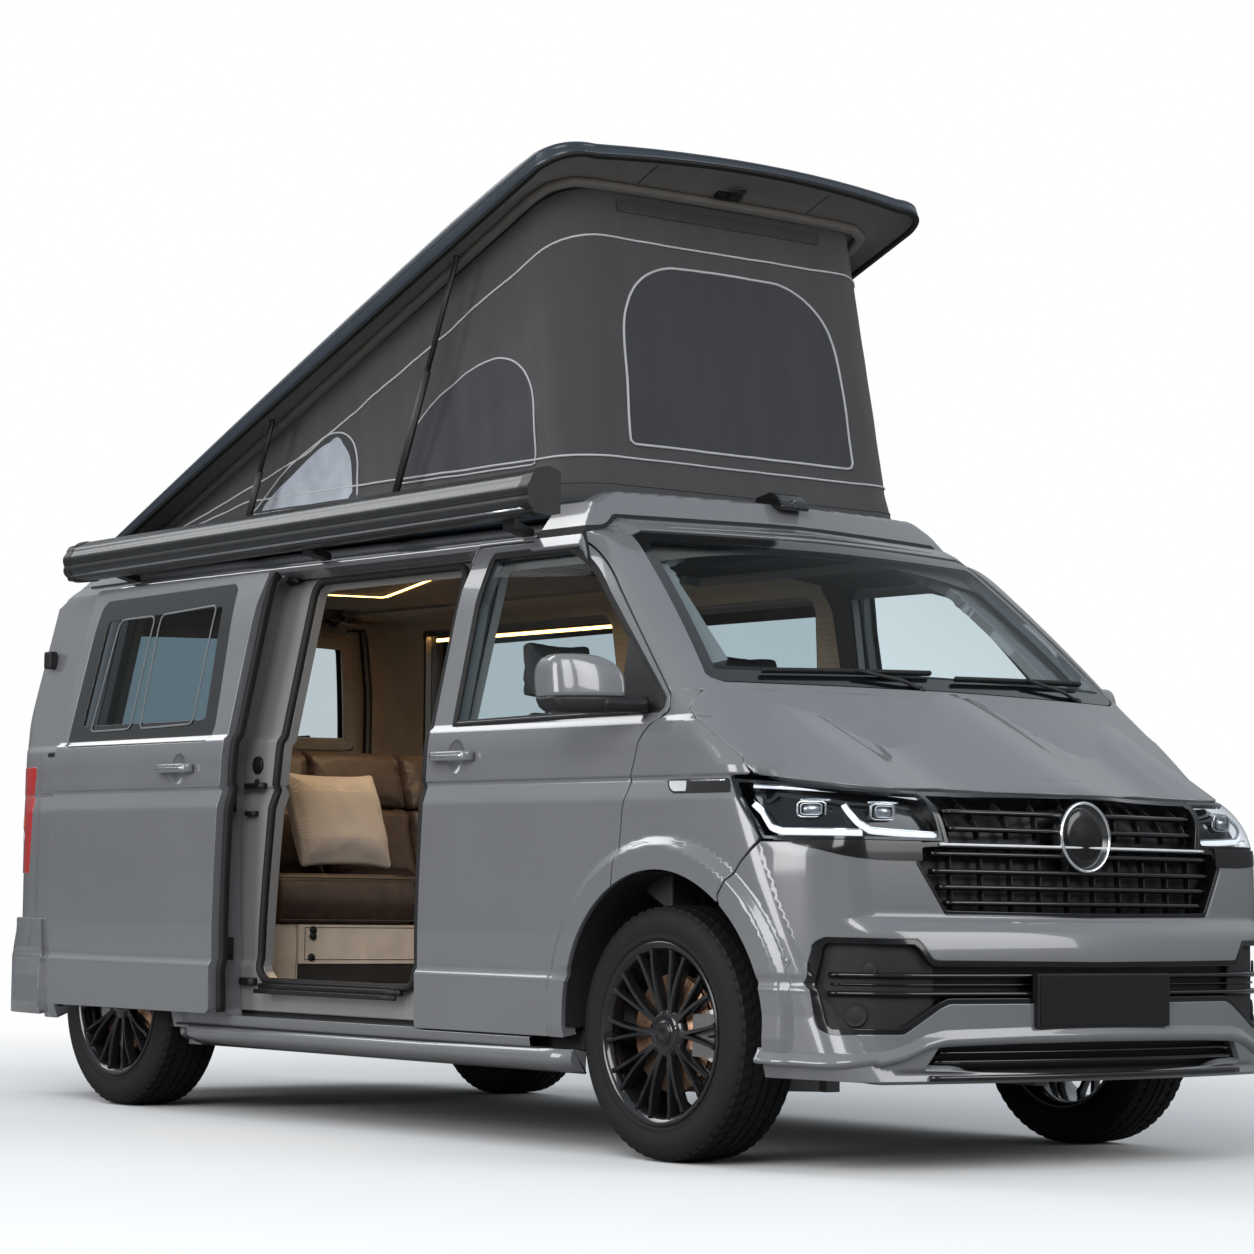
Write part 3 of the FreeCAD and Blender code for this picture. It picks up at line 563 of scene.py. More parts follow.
def startMaterial(name, **sockets):
    mat = bpy.data.materials.new(name)
    mat.use_nodes = True
    tree = mat.node_tree
    tree.nodes.clear()
    shader = addNode(tree, "ShaderNodeBsdfPrincipled", {k.replace("_", " "): v for k, v in sockets.items()})
    out = addNode(tree, "ShaderNodeOutputMaterial", {"Surface": shader.outputs[0]})
    return mat, tree, shader, out


def coords(tree, stretch=(1, 1, 1)):
    where = addNode(tree, "ShaderNodeTexCoord")
    return addNode(tree, "ShaderNodeMapping", {"Vector": where.outputs["Object"],
                                               "Scale": stretch}).outputs[0]


def speckle(tree, scale, detail=3.0, rough=0.55):
    return addNode(tree, "ShaderNodeTexNoise", {"Vector": coords(tree), "Scale": scale, "Detail": detail,
                                                "Roughness": rough}).outputs["Fac"]


def between(tree, fac, low, high):
    # a ramp from one colour to another
    ramp = addNode(tree, "ShaderNodeValToRGB", {"Fac": fac})
    ramp.color_ramp.elements[0].color = (*low, 1)
    ramp.color_ramp.elements[1].color = (*high, 1)
    ramp.color_ramp.elements[0].position = 0.3
    ramp.color_ramp.elements[1].position = 0.7
    return ramp.outputs[0]


def levels(tree, fac, low, high):
    return addNode(tree, "ShaderNodeMapRange", {"Value": fac, "To Min": low, "To Max": high}).outputs[0]


def raised(tree, shader, height, strength, distance):
    bump = addNode(tree, "ShaderNodeBump", {"Height": height, "Strength": strength, "Distance": distance})
    tree.links.new(bump.outputs[0], shader.inputs["Normal"])
    return bump


def shade(colour, factor):
    return tuple(min(1.0, c * factor) for c in colour)


def paintFinish(name, colour, rough=0.24, coat=1.0):
    # solid colour under a clear coat, with the faint waviness of sprayed paint
    mat, tree, shader, _ = startMaterial(name, Coat_Weight=coat, Coat_Roughness=0.035)
    cloud = speckle(tree, 3.0, 2.0)
    tree.links.new(between(tree, cloud, shade(colour, 0.97), shade(colour, 1.03)),
                   shader.inputs["Base Color"])
    tree.links.new(levels(tree, speckle(tree, 1.4, 1.0), rough - 0.02, rough + 0.03),
                   shader.inputs["Roughness"])
    return mat


def plasticFinish(name, colour, rough=0.45, grain=900.0, bump=0.15, coat=0.0):
    # moulded plastic with a fine grain and slightly uneven gloss
    mat, tree, shader, _ = startMaterial(name, Coat_Weight=coat, Coat_Roughness=0.08, Specular_IOR_Level=0.36)
    tone = speckle(tree, 14.0, 3.0)
    tree.links.new(between(tree, tone, shade(colour, 0.9), shade(colour, 1.12)), shader.inputs["Base Color"])
    tree.links.new(levels(tree, speckle(tree, 60.0), rough - 0.06, rough + 0.08), shader.inputs["Roughness"])
    raised(tree, shader, speckle(tree, grain, 2.0), bump, 0.0006)
    return mat


def metalFinish(name, colour, rough=0.25, scale=60.0, bump=0.05):
    mat, tree, shader, _ = startMaterial(name, Metallic=1.0)
    lines = speckle(tree, scale, 4.0, 0.6)
    tree.links.new(between(tree, lines, shade(colour, 0.85), shade(colour, 1.1)), shader.inputs["Base Color"])
    tree.links.new(levels(tree, lines, rough * 0.7, rough * 1.3), shader.inputs["Roughness"])
    raised(tree, shader, lines, bump, 0.0005)
    return mat


def fabricFinish(name, colour, pitch=900.0, bump=0.35, mottled=0.08):
    # a plain weave: two crossing sets of threads, with worn and fresh patches
    mat, tree, shader, _ = startMaterial(name, Sheen_Weight=0.15, Sheen_Roughness=0.6)
    warp, weft = (addNode(tree, "ShaderNodeTexWave", {"Vector": coords(tree, (1, way, 1)),
                                                      "Scale": pitch / 6.283, "Distortion": 0.6,
                                                      "Detail": 1.0}, bands_direction="DIAGONAL")
                  for way in (1, -1))
    weave = addNode(tree, "ShaderNodeMath", {0: warp.outputs["Fac"], 1: weft.outputs["Fac"]},
                    operation="MULTIPLY")
    patch = speckle(tree, 9.0, 4.0)
    tone = addNode(tree, "ShaderNodeMath", {0: patch, 1: weave.outputs[0]}, operation="ADD")
    half = addNode(tree, "ShaderNodeMath", {0: tone.outputs[0], 1: 0.55}, operation="MULTIPLY")
    tree.links.new(between(tree, half.outputs[0], shade(colour, 1 - 3 * mottled),
                           shade(colour, 1 + 2 * mottled)), shader.inputs["Base Color"])
    tree.links.new(levels(tree, patch, 0.79, 0.91), shader.inputs["Roughness"])
    raised(tree, shader, weave.outputs[0], bump, 0.0008)
    return mat


def leatherFinish(name, colour, rough=0.42):
    # grain of small cells, soft creases and a little shine where it is rubbed
    mat, tree, shader, _ = startMaterial(name)
    cells = addNode(tree, "ShaderNodeTexVoronoi", {"Vector": coords(tree), "Scale": 420.0})
    crease = speckle(tree, 22.0, 5.0, 0.65)
    tree.links.new(between(tree, crease, shade(colour, 0.75), shade(colour, 1.3)),
                   shader.inputs["Base Color"])
    tree.links.new(levels(tree, crease, rough - 0.1, rough + 0.12), shader.inputs["Roughness"])
    both = addNode(tree, "ShaderNodeMath", {0: cells.outputs["Distance"], 1: crease}, operation="ADD")
    raised(tree, shader, both.outputs[0], 0.35, 0.0012)
    return mat


def glassFinish(name, tint, gloss):
    # a thin sheet: light passes straight through, tinted, under a mirror-like surface
    mat = bpy.data.materials.new(name)
    mat.use_nodes = True
    tree = mat.node_tree
    tree.nodes.clear()
    clear = addNode(tree, "ShaderNodeBsdfTransparent", {"Color": (*tint, 1)})
    shine = addNode(tree, "ShaderNodeBsdfPrincipled", {"Base Color": (0.01, 0.012, 0.014, 1),
                                                       "Roughness": 0.01, "Metallic": 0.0,
                                                       "Coat Weight": 1.0})
    facing = addNode(tree, "ShaderNodeLayerWeight", {"Blend": 0.5})
    steep = addNode(tree, "ShaderNodeMath", {0: facing.outputs["Facing"], 1: 4.0}, operation="POWER")
    fresnel = addNode(tree, "ShaderNodeMath", {0: steep.outputs[0], 1: 0.85}, operation="MULTIPLY")
    haze = levels(tree, speckle(tree, 2.5, 4.0), gloss * 0.7, gloss * 1.5)
    fac = addNode(tree, "ShaderNodeMath", {0: fresnel.outputs[0], 1: haze}, operation="ADD", use_clamp=True)
    mix = addNode(tree, "ShaderNodeMixShader", {"Fac": fac.outputs[0], 1: clear.outputs[0],
                                                2: shine.outputs[0]})
    addNode(tree, "ShaderNodeOutputMaterial", {"Surface": mix.outputs[0]})
    return mat


def glowFinish(name, colour, strength, base=(0.8, 0.8, 0.8)):
    # a lit strip behind a milky cover
    mat, tree, shader, _ = startMaterial(name, Base_Color=(*base, 1), Roughness=0.35,
                                         Emission_Color=(*colour, 1))
    tree.links.new(levels(tree, speckle(tree, 30.0), strength * 0.9, strength * 1.1),
                   shader.inputs["Emission Strength"])
    return mat


def discFinish(name, colour):
    # a cast brake disc, turned in fine rings and filmed with rust
    mat, tree, shader, _ = startMaterial(name, Metallic=0.85)
    rust = speckle(tree, 30.0, 6.0, 0.7)
    tree.links.new(between(tree, rust, shade(colour, 0.5), shade(colour, 1.2)), shader.inputs["Base Color"])
    tree.links.new(levels(tree, rust, 0.3, 0.55), shader.inputs["Roughness"])
    raised(tree, shader, speckle(tree, 400.0, 2.0), 0.2, 0.0005)
    return mat


finish = {
    "paint": paintFinish("bodyPaint", (0.170, 0.174, 0.184)),
    # the jambs take a lighter, warmer copy of the body paint, brightened to make up for the shade inside the
    # doorways: painted light
    "paintInnerLightened": paintFinish("jambPaintLightened", (0.27, 0.262, 0.255), rough=0.35, coat=0.5),
    "glossBlack": plasticFinish("glossBlackTrim", (0.006, 0.006, 0.0065), rough=0.16, bump=0.02, coat=0.6),
    "satinBlack": plasticFinish("satinBlackTrim", (0.012, 0.012, 0.013), rough=0.42),
    "rubber": plasticFinish("sealRubber", (0.012, 0.012, 0.012), rough=0.62, grain=500.0, bump=0.3),
    "grainBlack": plasticFinish("grainedBlack", (0.018, 0.018, 0.019), rough=0.6, grain=700.0, bump=0.4),
    "chrome": metalFinish("brightTrim", (0.93, 0.94, 0.96), rough=0.2, bump=0.01),
    "brightLine": plasticFinish("brightLine", (0.78, 0.79, 0.81), rough=0.22, bump=0.01, coat=0.5),
    "silver": metalFinish("satinSilver", (0.55, 0.56, 0.58), rough=0.32),
    "caliper": metalFinish("castCaliper", (0.62, 0.61, 0.60), rough=0.42, scale=200.0, bump=0.3),
    "disc": discFinish("brakeDisc", (0.50, 0.30, 0.19)),
    "wheelBlack": plasticFinish("wheelGloss", (0.010, 0.010, 0.011), rough=0.14, bump=0.02, coat=0.8),
    "tyre": plasticFinish("tyreRubber", (0.007, 0.007, 0.0075), rough=0.72, grain=260.0, bump=0.35),
    "anthracite": plasticFinish("awningCoat", (0.017, 0.0185, 0.020), rough=0.34, grain=1500.0, bump=0.08,
                                coat=0.25),
    "shell": plasticFinish("roofShell", (0.026, 0.036, 0.048), rough=0.34, grain=1200.0, bump=0.03,
                           coat=0.35),
    "lining": fabricFinish("roofLining", (0.20, 0.180, 0.160), pitch=700.0, bump=0.2),
    "headliner": fabricFinish("headliner", (0.13, 0.105, 0.085), pitch=800.0, bump=0.2),
    "canvas": fabricFinish("tentCanvas", (0.042, 0.042, 0.044), pitch=1300.0, bump=0.3, mottled=0.05),
    "mesh": fabricFinish("windowMesh", (0.024, 0.026, 0.030), pitch=2400.0, bump=0.5, mottled=0.06),
    "film": plasticFinish("clearFilm", (0.40, 0.43, 0.48), rough=0.22, grain=6.0, bump=0.9),
    "piping": fabricFinish("lightPiping", (0.55, 0.55, 0.56), pitch=2600.0, bump=0.3),
    "leather": leatherFinish("brownLeather", (0.060, 0.040, 0.031)),
    "seatCloth": leatherFinish("cabSeatCover", (0.045, 0.042, 0.042), rough=0.55),
    "beige": plasticFinish("beigeLaminate", (0.74, 0.62, 0.50), rough=0.48, grain=300.0, bump=0.06),
    "trimBeige": fabricFinish("beigeTrim", (0.50, 0.41, 0.31), pitch=500.0, bump=0.15),
    "linen": fabricFinish("linenCover", (0.52, 0.45, 0.39), pitch=620.0, bump=0.7, mottled=0.07),
    "dash": plasticFinish("dashPlastic", (0.030, 0.030, 0.032), rough=0.55, grain=600.0, bump=0.4),
    "chassis": plasticFinish("underbody", (0.015, 0.015, 0.015), rough=0.7, grain=120.0, bump=0.5),
    "castMetal": metalFinish("castMetal", (0.25, 0.25, 0.25), rough=0.5, scale=150.0, bump=0.3),
    "floor": plasticFinish("floorCovering", (0.035, 0.030, 0.028), rough=0.55, grain=180.0, bump=0.5),
    "plate": plasticFinish("blankPlate", (0.002, 0.002, 0.002), rough=0.62, bump=0.04),
    "warmLight": glowFinish("warmStrip", (1.0, 0.52, 0.14), 9.0),
    "dayLight": glowFinish("daylightStrip", (0.92, 0.96, 1.0), 0.55, base=(0.85, 0.87, 0.9)),
    "amber": plasticFinish("amberLens", (0.55, 0.16, 0.02), rough=0.2, bump=0.02, coat=0.6),
    "redLens": plasticFinish("redLens", (0.50, 0.012, 0.012), rough=0.12, grain=90.0, bump=0.15, coat=1.0),
    "whitePlastic": plasticFinish("palePlastic", (0.62, 0.63, 0.65), rough=0.3, bump=0.03),
    "frit": plasticFinish("blackGlassEdge", (0.006, 0.007, 0.008), rough=0.06, bump=0.0, coat=1.0),
    "glassEdge": plasticFinish("paneEdge", (0.16, 0.17, 0.18), rough=0.3, bump=0.03),
    "screenGlass": glassFinish("windscreenGlass", (0.84, 0.93, 0.96), gloss=0.04),
    "sideGlass": glassFinish("sideGlass", (0.82, 0.89, 0.91), gloss=0.05),
    "darkGlass": glassFinish("rearGlass", (0.52, 0.60, 0.64), gloss=0.08),
    "lensClear": glassFinish("lampCover", (0.90, 0.93, 0.96), gloss=0.02),
}

print("shape helpers")

def resampled(points, step, closed=False):
    points = np.asarray(points, float)
    if closed:
        points = np.vstack([points, points[:1]])
    run = np.concatenate([[0], np.cumsum(np.linalg.norm(np.diff(points, axis=0), axis=1))])
    count = max(2, int(run[-1] / step) + 1)
    at = np.linspace(0, run[-1], count + (1 if closed else 0))
    out = np.stack([np.interp(at, run, points[:, k]) for k in range(points.shape[1])], axis=1)
    return out[:-1] if closed else out


def sweptPiece(name, path, ups, profile, material, body="root", closed=False, taper=None):
    # a profile of (across, up) points carried along a path; ups gives the profile's up at each point
    path, ups = np.asarray(path, float), np.asarray(ups, float)
    if ups.ndim == 1:
        ups = np.tile(ups, (len(path), 1))
    if closed:
        along = np.roll(path, -1, axis=0) - np.roll(path, 1, axis=0)
    else:
        along = np.gradient(path, axis=0)
    along /= np.maximum(np.linalg.norm(along, axis=1, keepdims=True), 1e-9)
    ups = ups - along * (ups * along).sum(axis=1, keepdims=True)
    ups /= np.maximum(np.linalg.norm(ups, axis=1, keepdims=True), 1e-9)
    across = np.cross(along, ups)
    profile = np.asarray(profile, float)
    n, m = len(path), len(profile)
    size = np.ones(n) if taper is None else np.asarray(taper)
    points = (path[:, None, :] + across[:, None, :] * (profile[None, :, 0] * size[:, None])[..., None]
              + ups[:, None, :] * (profile[None, :, 1] * size[:, None])[..., None]).reshape(-1, 3)
    faces = list(gridQuads(n, m, closed, True))
    if not closed:
        faces += endCaps(n, m)
    return newPiece(name, points, faces, material, body)


def roundBar(width, height, corner=0.3, arcs=3):
    # a rectangle with rounded corners, as a profile
    r = corner * min(width, height)
    rows = []
    for cx, cy, start in ((width / 2 - r, height / 2 - r, 0), (-width / 2 + r, height / 2 - r, 90),
                          (-width / 2 + r, -height / 2 + r, 180), (width / 2 - r, -height / 2 + r, 270)):
        for k in range(arcs + 1):
            a = math.radians(start + 90 * k / arcs)
            rows.append((cx + r * math.cos(a), cy + r * math.sin(a)))
    return rows


def ringBar(radius, count=10):
    return [(radius * math.cos(2 * math.pi * k / count), radius * math.sin(2 * math.pi * k / count))
            for k in range(count)]


def facedOut(piece):
    # turns every face of a closed piece outwards
    mesh = bmesh.new()
    mesh.from_mesh(piece.data)
    bmesh.ops.recalc_face_normals(mesh, faces=mesh.faces)
    mesh.to_mesh(piece.data)
    mesh.free()


def joined(name, pieces):
    # one object from several that share a body and a material
    first = pieces[0]
    if len(pieces) > 1:
        with bpy.context.temp_override(active_object=first, object=first, selected_objects=pieces,
                                       selected_editable_objects=pieces):
            bpy.ops.object.join()
    first.name = name
    first.data.name = name
    return first


def softened(piece, width=0.002, segments=2, angle=35):
    # rounds the sharp edges of a modelled piece
    bevel = piece.modifiers.new("soften", "BEVEL")
    bevel.width = width
    bevel.segments = segments
    bevel.limit_method = "ANGLE"
    bevel.angle_limit = math.radians(angle)
    bevel.harden_normals = True
    return piece


def latheRows(profile, count, axis="Y"):
    # points of (height along the axis, radius) rows turned about it
    points = []
    for k in range(count):
        a = 2 * math.pi * k / count
        for h, r in profile:
            c, s = r * math.cos(a), r * math.sin(a)
            points.append((c, h, s) if axis == "Y" else ((h, c, s) if axis == "X" else (c, s, h)))
    return np.array(points), gridQuads(count, len(profile), wrapRows=True)


def turnedPiece(name, profile, centre, material, body="root", axis="Y", count=48, aim=None):
    points, faces = latheRows(profile, count, axis)
    if aim is not None:
        start = {"X": Vector((1, 0, 0)), "Y": Vector((0, 1, 0)), "Z": Vector((0, 0, 1))}[axis]
        turn = np.array(start.rotation_difference(Vector(aim)).to_matrix())
        points = points @ turn.T
    return newPiece(name, points + np.array(centre), faces, material, body)

print("body panels")

outlines = {
    "frontDoor": [(396, 334), (1240, 334), (1400, 760), (1424, 1000), (1482, 1196, -10), (1592, 1282),
                  (1584, 1330), (1246, 1672, 22), (975, 1836), (486, 1836), (452, 1700), (438, 1100)],
    "slideDoor": [(388, 342), (430, 1100), (444, 1700), (470, 1824), (-655, 1824), (-690, 1100),
                  (-672, 342)],
    "frontWindow": [(552, 1272), (1556, 1289), (1560, 1318), (1206, 1648, 20), (965, 1800), (580, 1800),
                    (556, 1660)],
    "slideWindow": [(320, 1249), (340, 1300, 2), (298, 1770), (272, 1790), (-556, 1776), (-590, 1745, 0),
                    (-628, 1270), (-604, 1249)],
    "leftWindow": [(300, 1249), (392, 1786), (-560, 1786), (-590, 1249)],
    "quarterRight": [(-760, 1249), (-730, 1786), (-1640, 1780), (-1660, 1249)],
    "quarterLeft": [(-760, 1249), (-730, 1786), (-1880, 1780), (-2010, 1249)],
    "tailWindow": bothHalves([(0, 1296), (640, 1304), (566, 1760), (0, 1782)]),
    "tailgate": bothHalves([(0, 652), (706, 652), (738, 760), (742, 1200), (700, 1560), (640, 1836),
                            (560, 1866), (0, 1878)]),
    "windscreen": bothHalves([(0, 1372), (800, 1368), (838, 1384), (704, 1838), (660, 1856), (0, 1862)]),
    "bonnet": [(1560, 1700), (1560, 1376), (1614, 1345), (1671, 1286), (1795, 1214), (1905, 1145),
               (1945, 1093), (2230, 1060), (2600, 1052), (2600, 1700)],
    "fender": [(1900, 600), (1862, 758), (1929, 850), (1996, 914), (1872, 1089), (1945, 1093),
               (1905, 1145), (1795, 1214), (1671, 1286), (1614, 1345), (1500, 1345), (1340, 900),
               (1200, 600)],
    "bumper": [(1866, 758), (1932, 849), (2000, 911), (2600, 911), (2600, 200), (1960, 200), (1900, 600)],
    "upperGrille": bothHalves([(0, 708), (530, 712), (618, 850), (600, 908), (514, 912), (548, 1052),
                               (0, 1058)]),
    "lowerGrille": bothHalves([(0, 470), (560, 470), (590, 458), (706, 388), (866, 386, 6), (884, 410),
                               (889, 523), (880, 612, 6), (864, 648), (656, 645), (610, 588), (0, 584)]),
    "lowIntake": bothHalves([(0, 272), (640, 290), (590, 362), (0, 362)]),
    "lampSide": [(1876, 1086), (2004, 914), (2600, 914), (2600, 1050), (2262, 1053)],
    "lampFront": [(519, 912), (556, 1100), (1000, 1100), (1000, 912)],
}

shut, roll = van["shut"], van["roll"]
inner = -(shut + roll)
slide = (-1.030, -0.092, 0.0)     # where the sliding door stands, from its shut place


handles = {
    "front": (0.596, 1.172), "slide": (0.165, 1.160), "cup": (0.046, 0.054), "depth": 0.020,
    # the bar's middle line: along the door, and out from it
    "bar": [(-0.108, 0.004), (-0.104, 0.018), (-0.090, 0.028), (-0.05, 0.033), (0.0, 0.034), (0.05, 0.033),
            (0.078, 0.028), (0.090, 0.018), (0.094, 0.004)],
}


glazing = {
    # the panes' place below the skin, and how far a pane reaches under its border
    "level": -0.004, "behindBorder": 0.0005, "overlap": 0.001, "gap": 0.002,
}


def cupTrim(x, z):
    # the oval hollow behind a door handle
    a, b = handles["cup"]
    return lambda p: (np.sqrt(((p[:, 0] - x) / a) ** 2 + ((p[:, 2] - z) / b) ** 2) - 1) * a


def bumperZone(p):
    # the rear bumper takes over here
    return -np.maximum(p[:, 0] + 1.964, p[:, 2] - 0.641)


def glazed(name, grid, loop, view, border, body="root", mirror=False, shift=None):
    # a window with a black printed border; view is inSide or inFront
    skinPiece(name + "_border", grid, [view(loop), outOf(view(loop, -border))], "frit", body,
              glazing["level"], depth=0.004, roll=0.001, mirror=mirror, shift=shift)
    return skinPiece(name, grid, [view(loop, -border + glazing["overlap"])], "darkGlass", body,
                     glazing["level"] - glazing["behindBorder"], depth=0, mirror=mirror, shift=shift)


def frontDoor(left):
    side = sideOf(left)
    body = "front_door_" + side
    grid = sideGrid(0.36, 1.62, 0.32, 1.85, 0.0145)
    keep = [inSide(outlines["frontDoor"], inner), clearOfArch(van["frontArch"], roll)]
    openings = [outOf(inSide(outlines["frontWindow"], 0.004)), outOf(cupTrim(*handles["front"]))]
    skin = skinPiece("front_door_skin_" + side, grid, keep + openings, "paint", body, depth=0.05,
                     mirror=not left)
    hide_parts(body, "front_door_glass_" + side)
    lining = [inSide(outlines["frontDoor"], -0.012), clearOfArch(van["frontArch"], 0.012),
              outOf(inSide(outlines["frontWindow"], -0.004))]
    skinPiece("front_door_lining_" + side, grid, lining, "dash", body, level=-0.052, depth=0,
              mirror=not left, flip=True)
    skinPiece("front_door_pane_" + side, sideGrid(0.5, 1.60, 1.25, 1.82, 0.03),
              [inSide(outlines["frontWindow"], 0.012)], "sideGlass", body, level=-0.012, depth=0,
              mirror=not left)


def slidingDoor():
    grid = sideGrid(-0.72, 0.50, 0.33, 1.84, 0.0145)
    keep = [inSide(outlines["slideDoor"], inner), outOf(inSide(outlines["slideWindow"], glazing["gap"])),
            outOf(cupTrim(*handles["slide"]))]
    skin = skinPiece("sliding_door_skin", grid, keep, "paint", depth=0.05, mirror=True, shift=slide)
    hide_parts("sliding_door", "sliding_door_glass")
    lining = [inSide(outlines["slideDoor"], -0.012), outOf(inSide(outlines["slideWindow"], -0.01))]
    skinPiece("sliding_door_lining", grid, lining, "trimBeige", level=-0.052, depth=0, mirror=True,
              shift=slide, flip=True)
    glazed("sliding_door_pane", sideGrid(-0.62, 0.46, 1.23, 1.80, 0.02), outlines["slideWindow"], inSide,
           0.075, mirror=True, shift=slide)


def bodySide(left):
    grid = gridOf(tailPath(1.0, 0.016, 0.44), heightRows(0.29, 1.872, 0.016))
    side = sideOf(left)
    quarter = outlines["quarterLeft" if left else "quarterRight"]
    keep = [outOf(inSide(outlines["frontDoor"], shut + roll)), outOf(inSide(quarter, glazing["gap"])),
            outOf(inFront(outlines["tailgate"], shut + roll)), clearOfArch(van["rearArch"], roll),
            bumperZone]
    if left:
        keep.append(outOf(inSide(outlines["leftWindow"], glazing["gap"])))
    else:
        keep.append(outOf(inSide(outlines["slideDoor"], shut + roll)))
    skinPiece("body_side_" + side, grid, keep, "paint", mirror=not left, depth=0.06,
              joins=[behind(van["pillarJoint"]), below(van["roofJoint"])])
    pane = glazed("quarter_pane_" + side, sideGrid(-2.03, -0.70, 1.23, 1.80, 0.02), quarter, inSide, 0.06,
                  mirror=not left)
    if left:
        glazed("side_pane_left", sideGrid(-0.62, 0.42, 1.23, 1.80, 0.02), outlines["leftWindow"], inSide,
               0.06)
        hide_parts("side_glass")


def roofSkin():
    grid = topGrid(-2.25, 1.26, -0.81, 0.81, 0.03)
    hole = outOf(inTop([(-1600, -600), (730, -600), (730, 600), (-1600, 600)]))
    skinPiece("roof_skin", grid, [hole, outOf(inFront(outlines["tailgate"], shut + roll))], "paint",
              joins=[above(van["roofJoint"])])


def pillars(left):
    # the windscreen pillar and half of the header above the glass
    grid = screenGrid(1.325, 1.872, 0.98, 0.013)
    keep = [outOf(inSide(outlines["frontDoor"], shut + roll)),
            outOf(inFront(outlines["windscreen"], glazing["gap"])), above(1.338 + shut + roll)]
    side = sideOf(left)
    skinPiece("windscreen_pillar_" + side, grid, keep, "paint", mirror=not left, depth=0.05,
              joins=[ahead(van["pillarJoint"]), below(van["roofJoint"]), lambda p: -np.abs(p[:, 1])])


def fender(left):
    side = sideOf(left)
    grid = sideGrid(1.16, 2.02, 0.55, 1.36, 0.0125)
    low, high = inSide(outlines["fender"], -0.0022), inSide(outlines["bonnet"], 0.004)

    def either(p):
        # the fender proper, and the small shelf between the bonnet's corner and the windscreen
        shelf = np.maximum(high(p), bowReach(p) - 3.3505)
        return np.minimum(low(p), np.maximum(shelf, p[:, 2] - 1.3395))

    keep = [either, outOf(inSide(outlines["frontDoor"], shut + roll)), clearOfArch(van["frontArch"], roll)]
    skin = skinPiece("fender_skin_" + side, grid, keep, "paint", mirror=not left)
    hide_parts("fender_" + side)


def bonnetSkin():
    grid = topGrid(1.54, 2.36, -0.98, 0.98, 0.0125)
    keep = [inSide(outlines["bonnet"], -0.0022), lambda p: 3.356 - bowReach(p)]
    skin = skinPiece("bonnet_skin", grid, keep, "paint", "bonnet")
    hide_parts("bonnet")


def frontBumper():
    grid = gridOf(wholePath(nosePath(1.86, 0.013)), heightRows(0.262, 0.925, 0.0125))
    keep = [inSide(outlines["bumper"], inner), clearOfArch(van["frontArch"], roll),
            outOf(inFront(outlines["upperGrille"], 0.003)), outOf(inFront(outlines["lowerGrille"], 0.003)),
            outOf(inFront(outlines["lowIntake"], 0.003))]
    skin = skinPiece("front_bumper_skin", grid, keep, "paint")
    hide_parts("front_bumper")


def tailgateSkin():
    grid = gridOf(wholePath([(-1.6, y, -1, 0) for y in spread(0.78, 0.0, 0.016)]),
                  heightRows(0.63, 1.89, 0.016))
    keep = [inFront(outlines["tailgate"], inner), outOf(inFront(outlines["tailWindow"], glazing["gap"]))]
    skin = skinPiece("tailgate_skin", grid, keep, "paint", "tailgate", depth=0.045)
    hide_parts("tailgate", "tailgate_glass")
    lining = [inFront(outlines["tailgate"], -0.03), outOf(inFront(outlines["tailWindow"], -0.01))]
    skinPiece("tailgate_lining", grid, lining, "trimBeige", "tailgate", level=-0.047, depth=0,
              flip=True)
    glazed("tailgate_pane", grid, outlines["tailWindow"], inFront, 0.05, "tailgate")


def rearBumper():
    # stands out behind the tail; its top is a step for loading
    def field(p):
        moved = p.copy()
        moved[:, 0] += 0.046 * np.clip((0.66 - p[:, 2]) / 0.16, 0.35, 1)
        return bodyField(moved)
    grid = gridOf(wholePath(tailPath(-1.90, 0.016)), spread(0.30, 0.641, 0.014))
    keep = [behind(-1.968), clearOfArch(van["rearArch"], roll)]
    skin = skinPiece("rear_bumper_skin", grid, keep, "paint", level=0.012, field=field, depth=0.05)
    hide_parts("rear_bumper")


def windscreen():
    # the two halves meet on the centre line
    panes, border = [], 0.038
    for mirrorHalf in (False, True):
        name = "windscreen_" + ("right" if mirrorHalf else "left")
        grid = screenGrid(1.35, 1.872, 1.1, 0.02)
        skinPiece(name + "_border", grid, [inFront(outlines["windscreen"], -glazing["gap"]), ahead(1.05),
                                           outOf(inFront(outlines["windscreen"], -border))], "frit",
                  level=-0.005, depth=0, mirror=mirrorHalf)
        panes.append(skinPiece(name + "_pane", grid,
                               [inFront(outlines["windscreen"], -border + glazing["overlap"]), ahead(1.05)],
                               "screenGlass", level=-0.0055, depth=0, mirror=mirrorHalf))
    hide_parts("windscreen")


for isLeft in (True, False):
    frontDoor(isLeft)
    bodySide(isLeft)
    pillars(isLeft)
    fender(isLeft)
slidingDoor()
roofSkin()
bonnetSkin()
frontBumper()
tailgateSkin()
rearBumper()
windscreen()

print("body shell behind the panels")

outlines["frontDoorway"] = [(516, 455), (1120, 455), (1150, 600, -14), (1330, 850), (1420, 1200, -12),
                            (1500, 1312), (1180, 1640, 18), (955, 1792), (560, 1792), (520, 1100)]
outlines["sideDoorway"] = [(300, 455, 12), (346, 500), (372, 1100), (398, 1740, 14), (352, 1786),
                           (-410, 1786, 14), (-456, 1740), (-470, 1180), (-548, 520, 12), (-500, 455)]
outlines["tailDoorway"] = bothHalves([(0, 700), (650, 700), (690, 780), (694, 1200), (648, 1540),
                                      (596, 1790), (0, 1826)])

shell = {
    "frameLevel": -0.062, "frameDepth": 0.033, "trimLevel": -0.097,
    "floorTop": 0.440, "floorLow": 0.382, "stepDrop": 0.030,
}


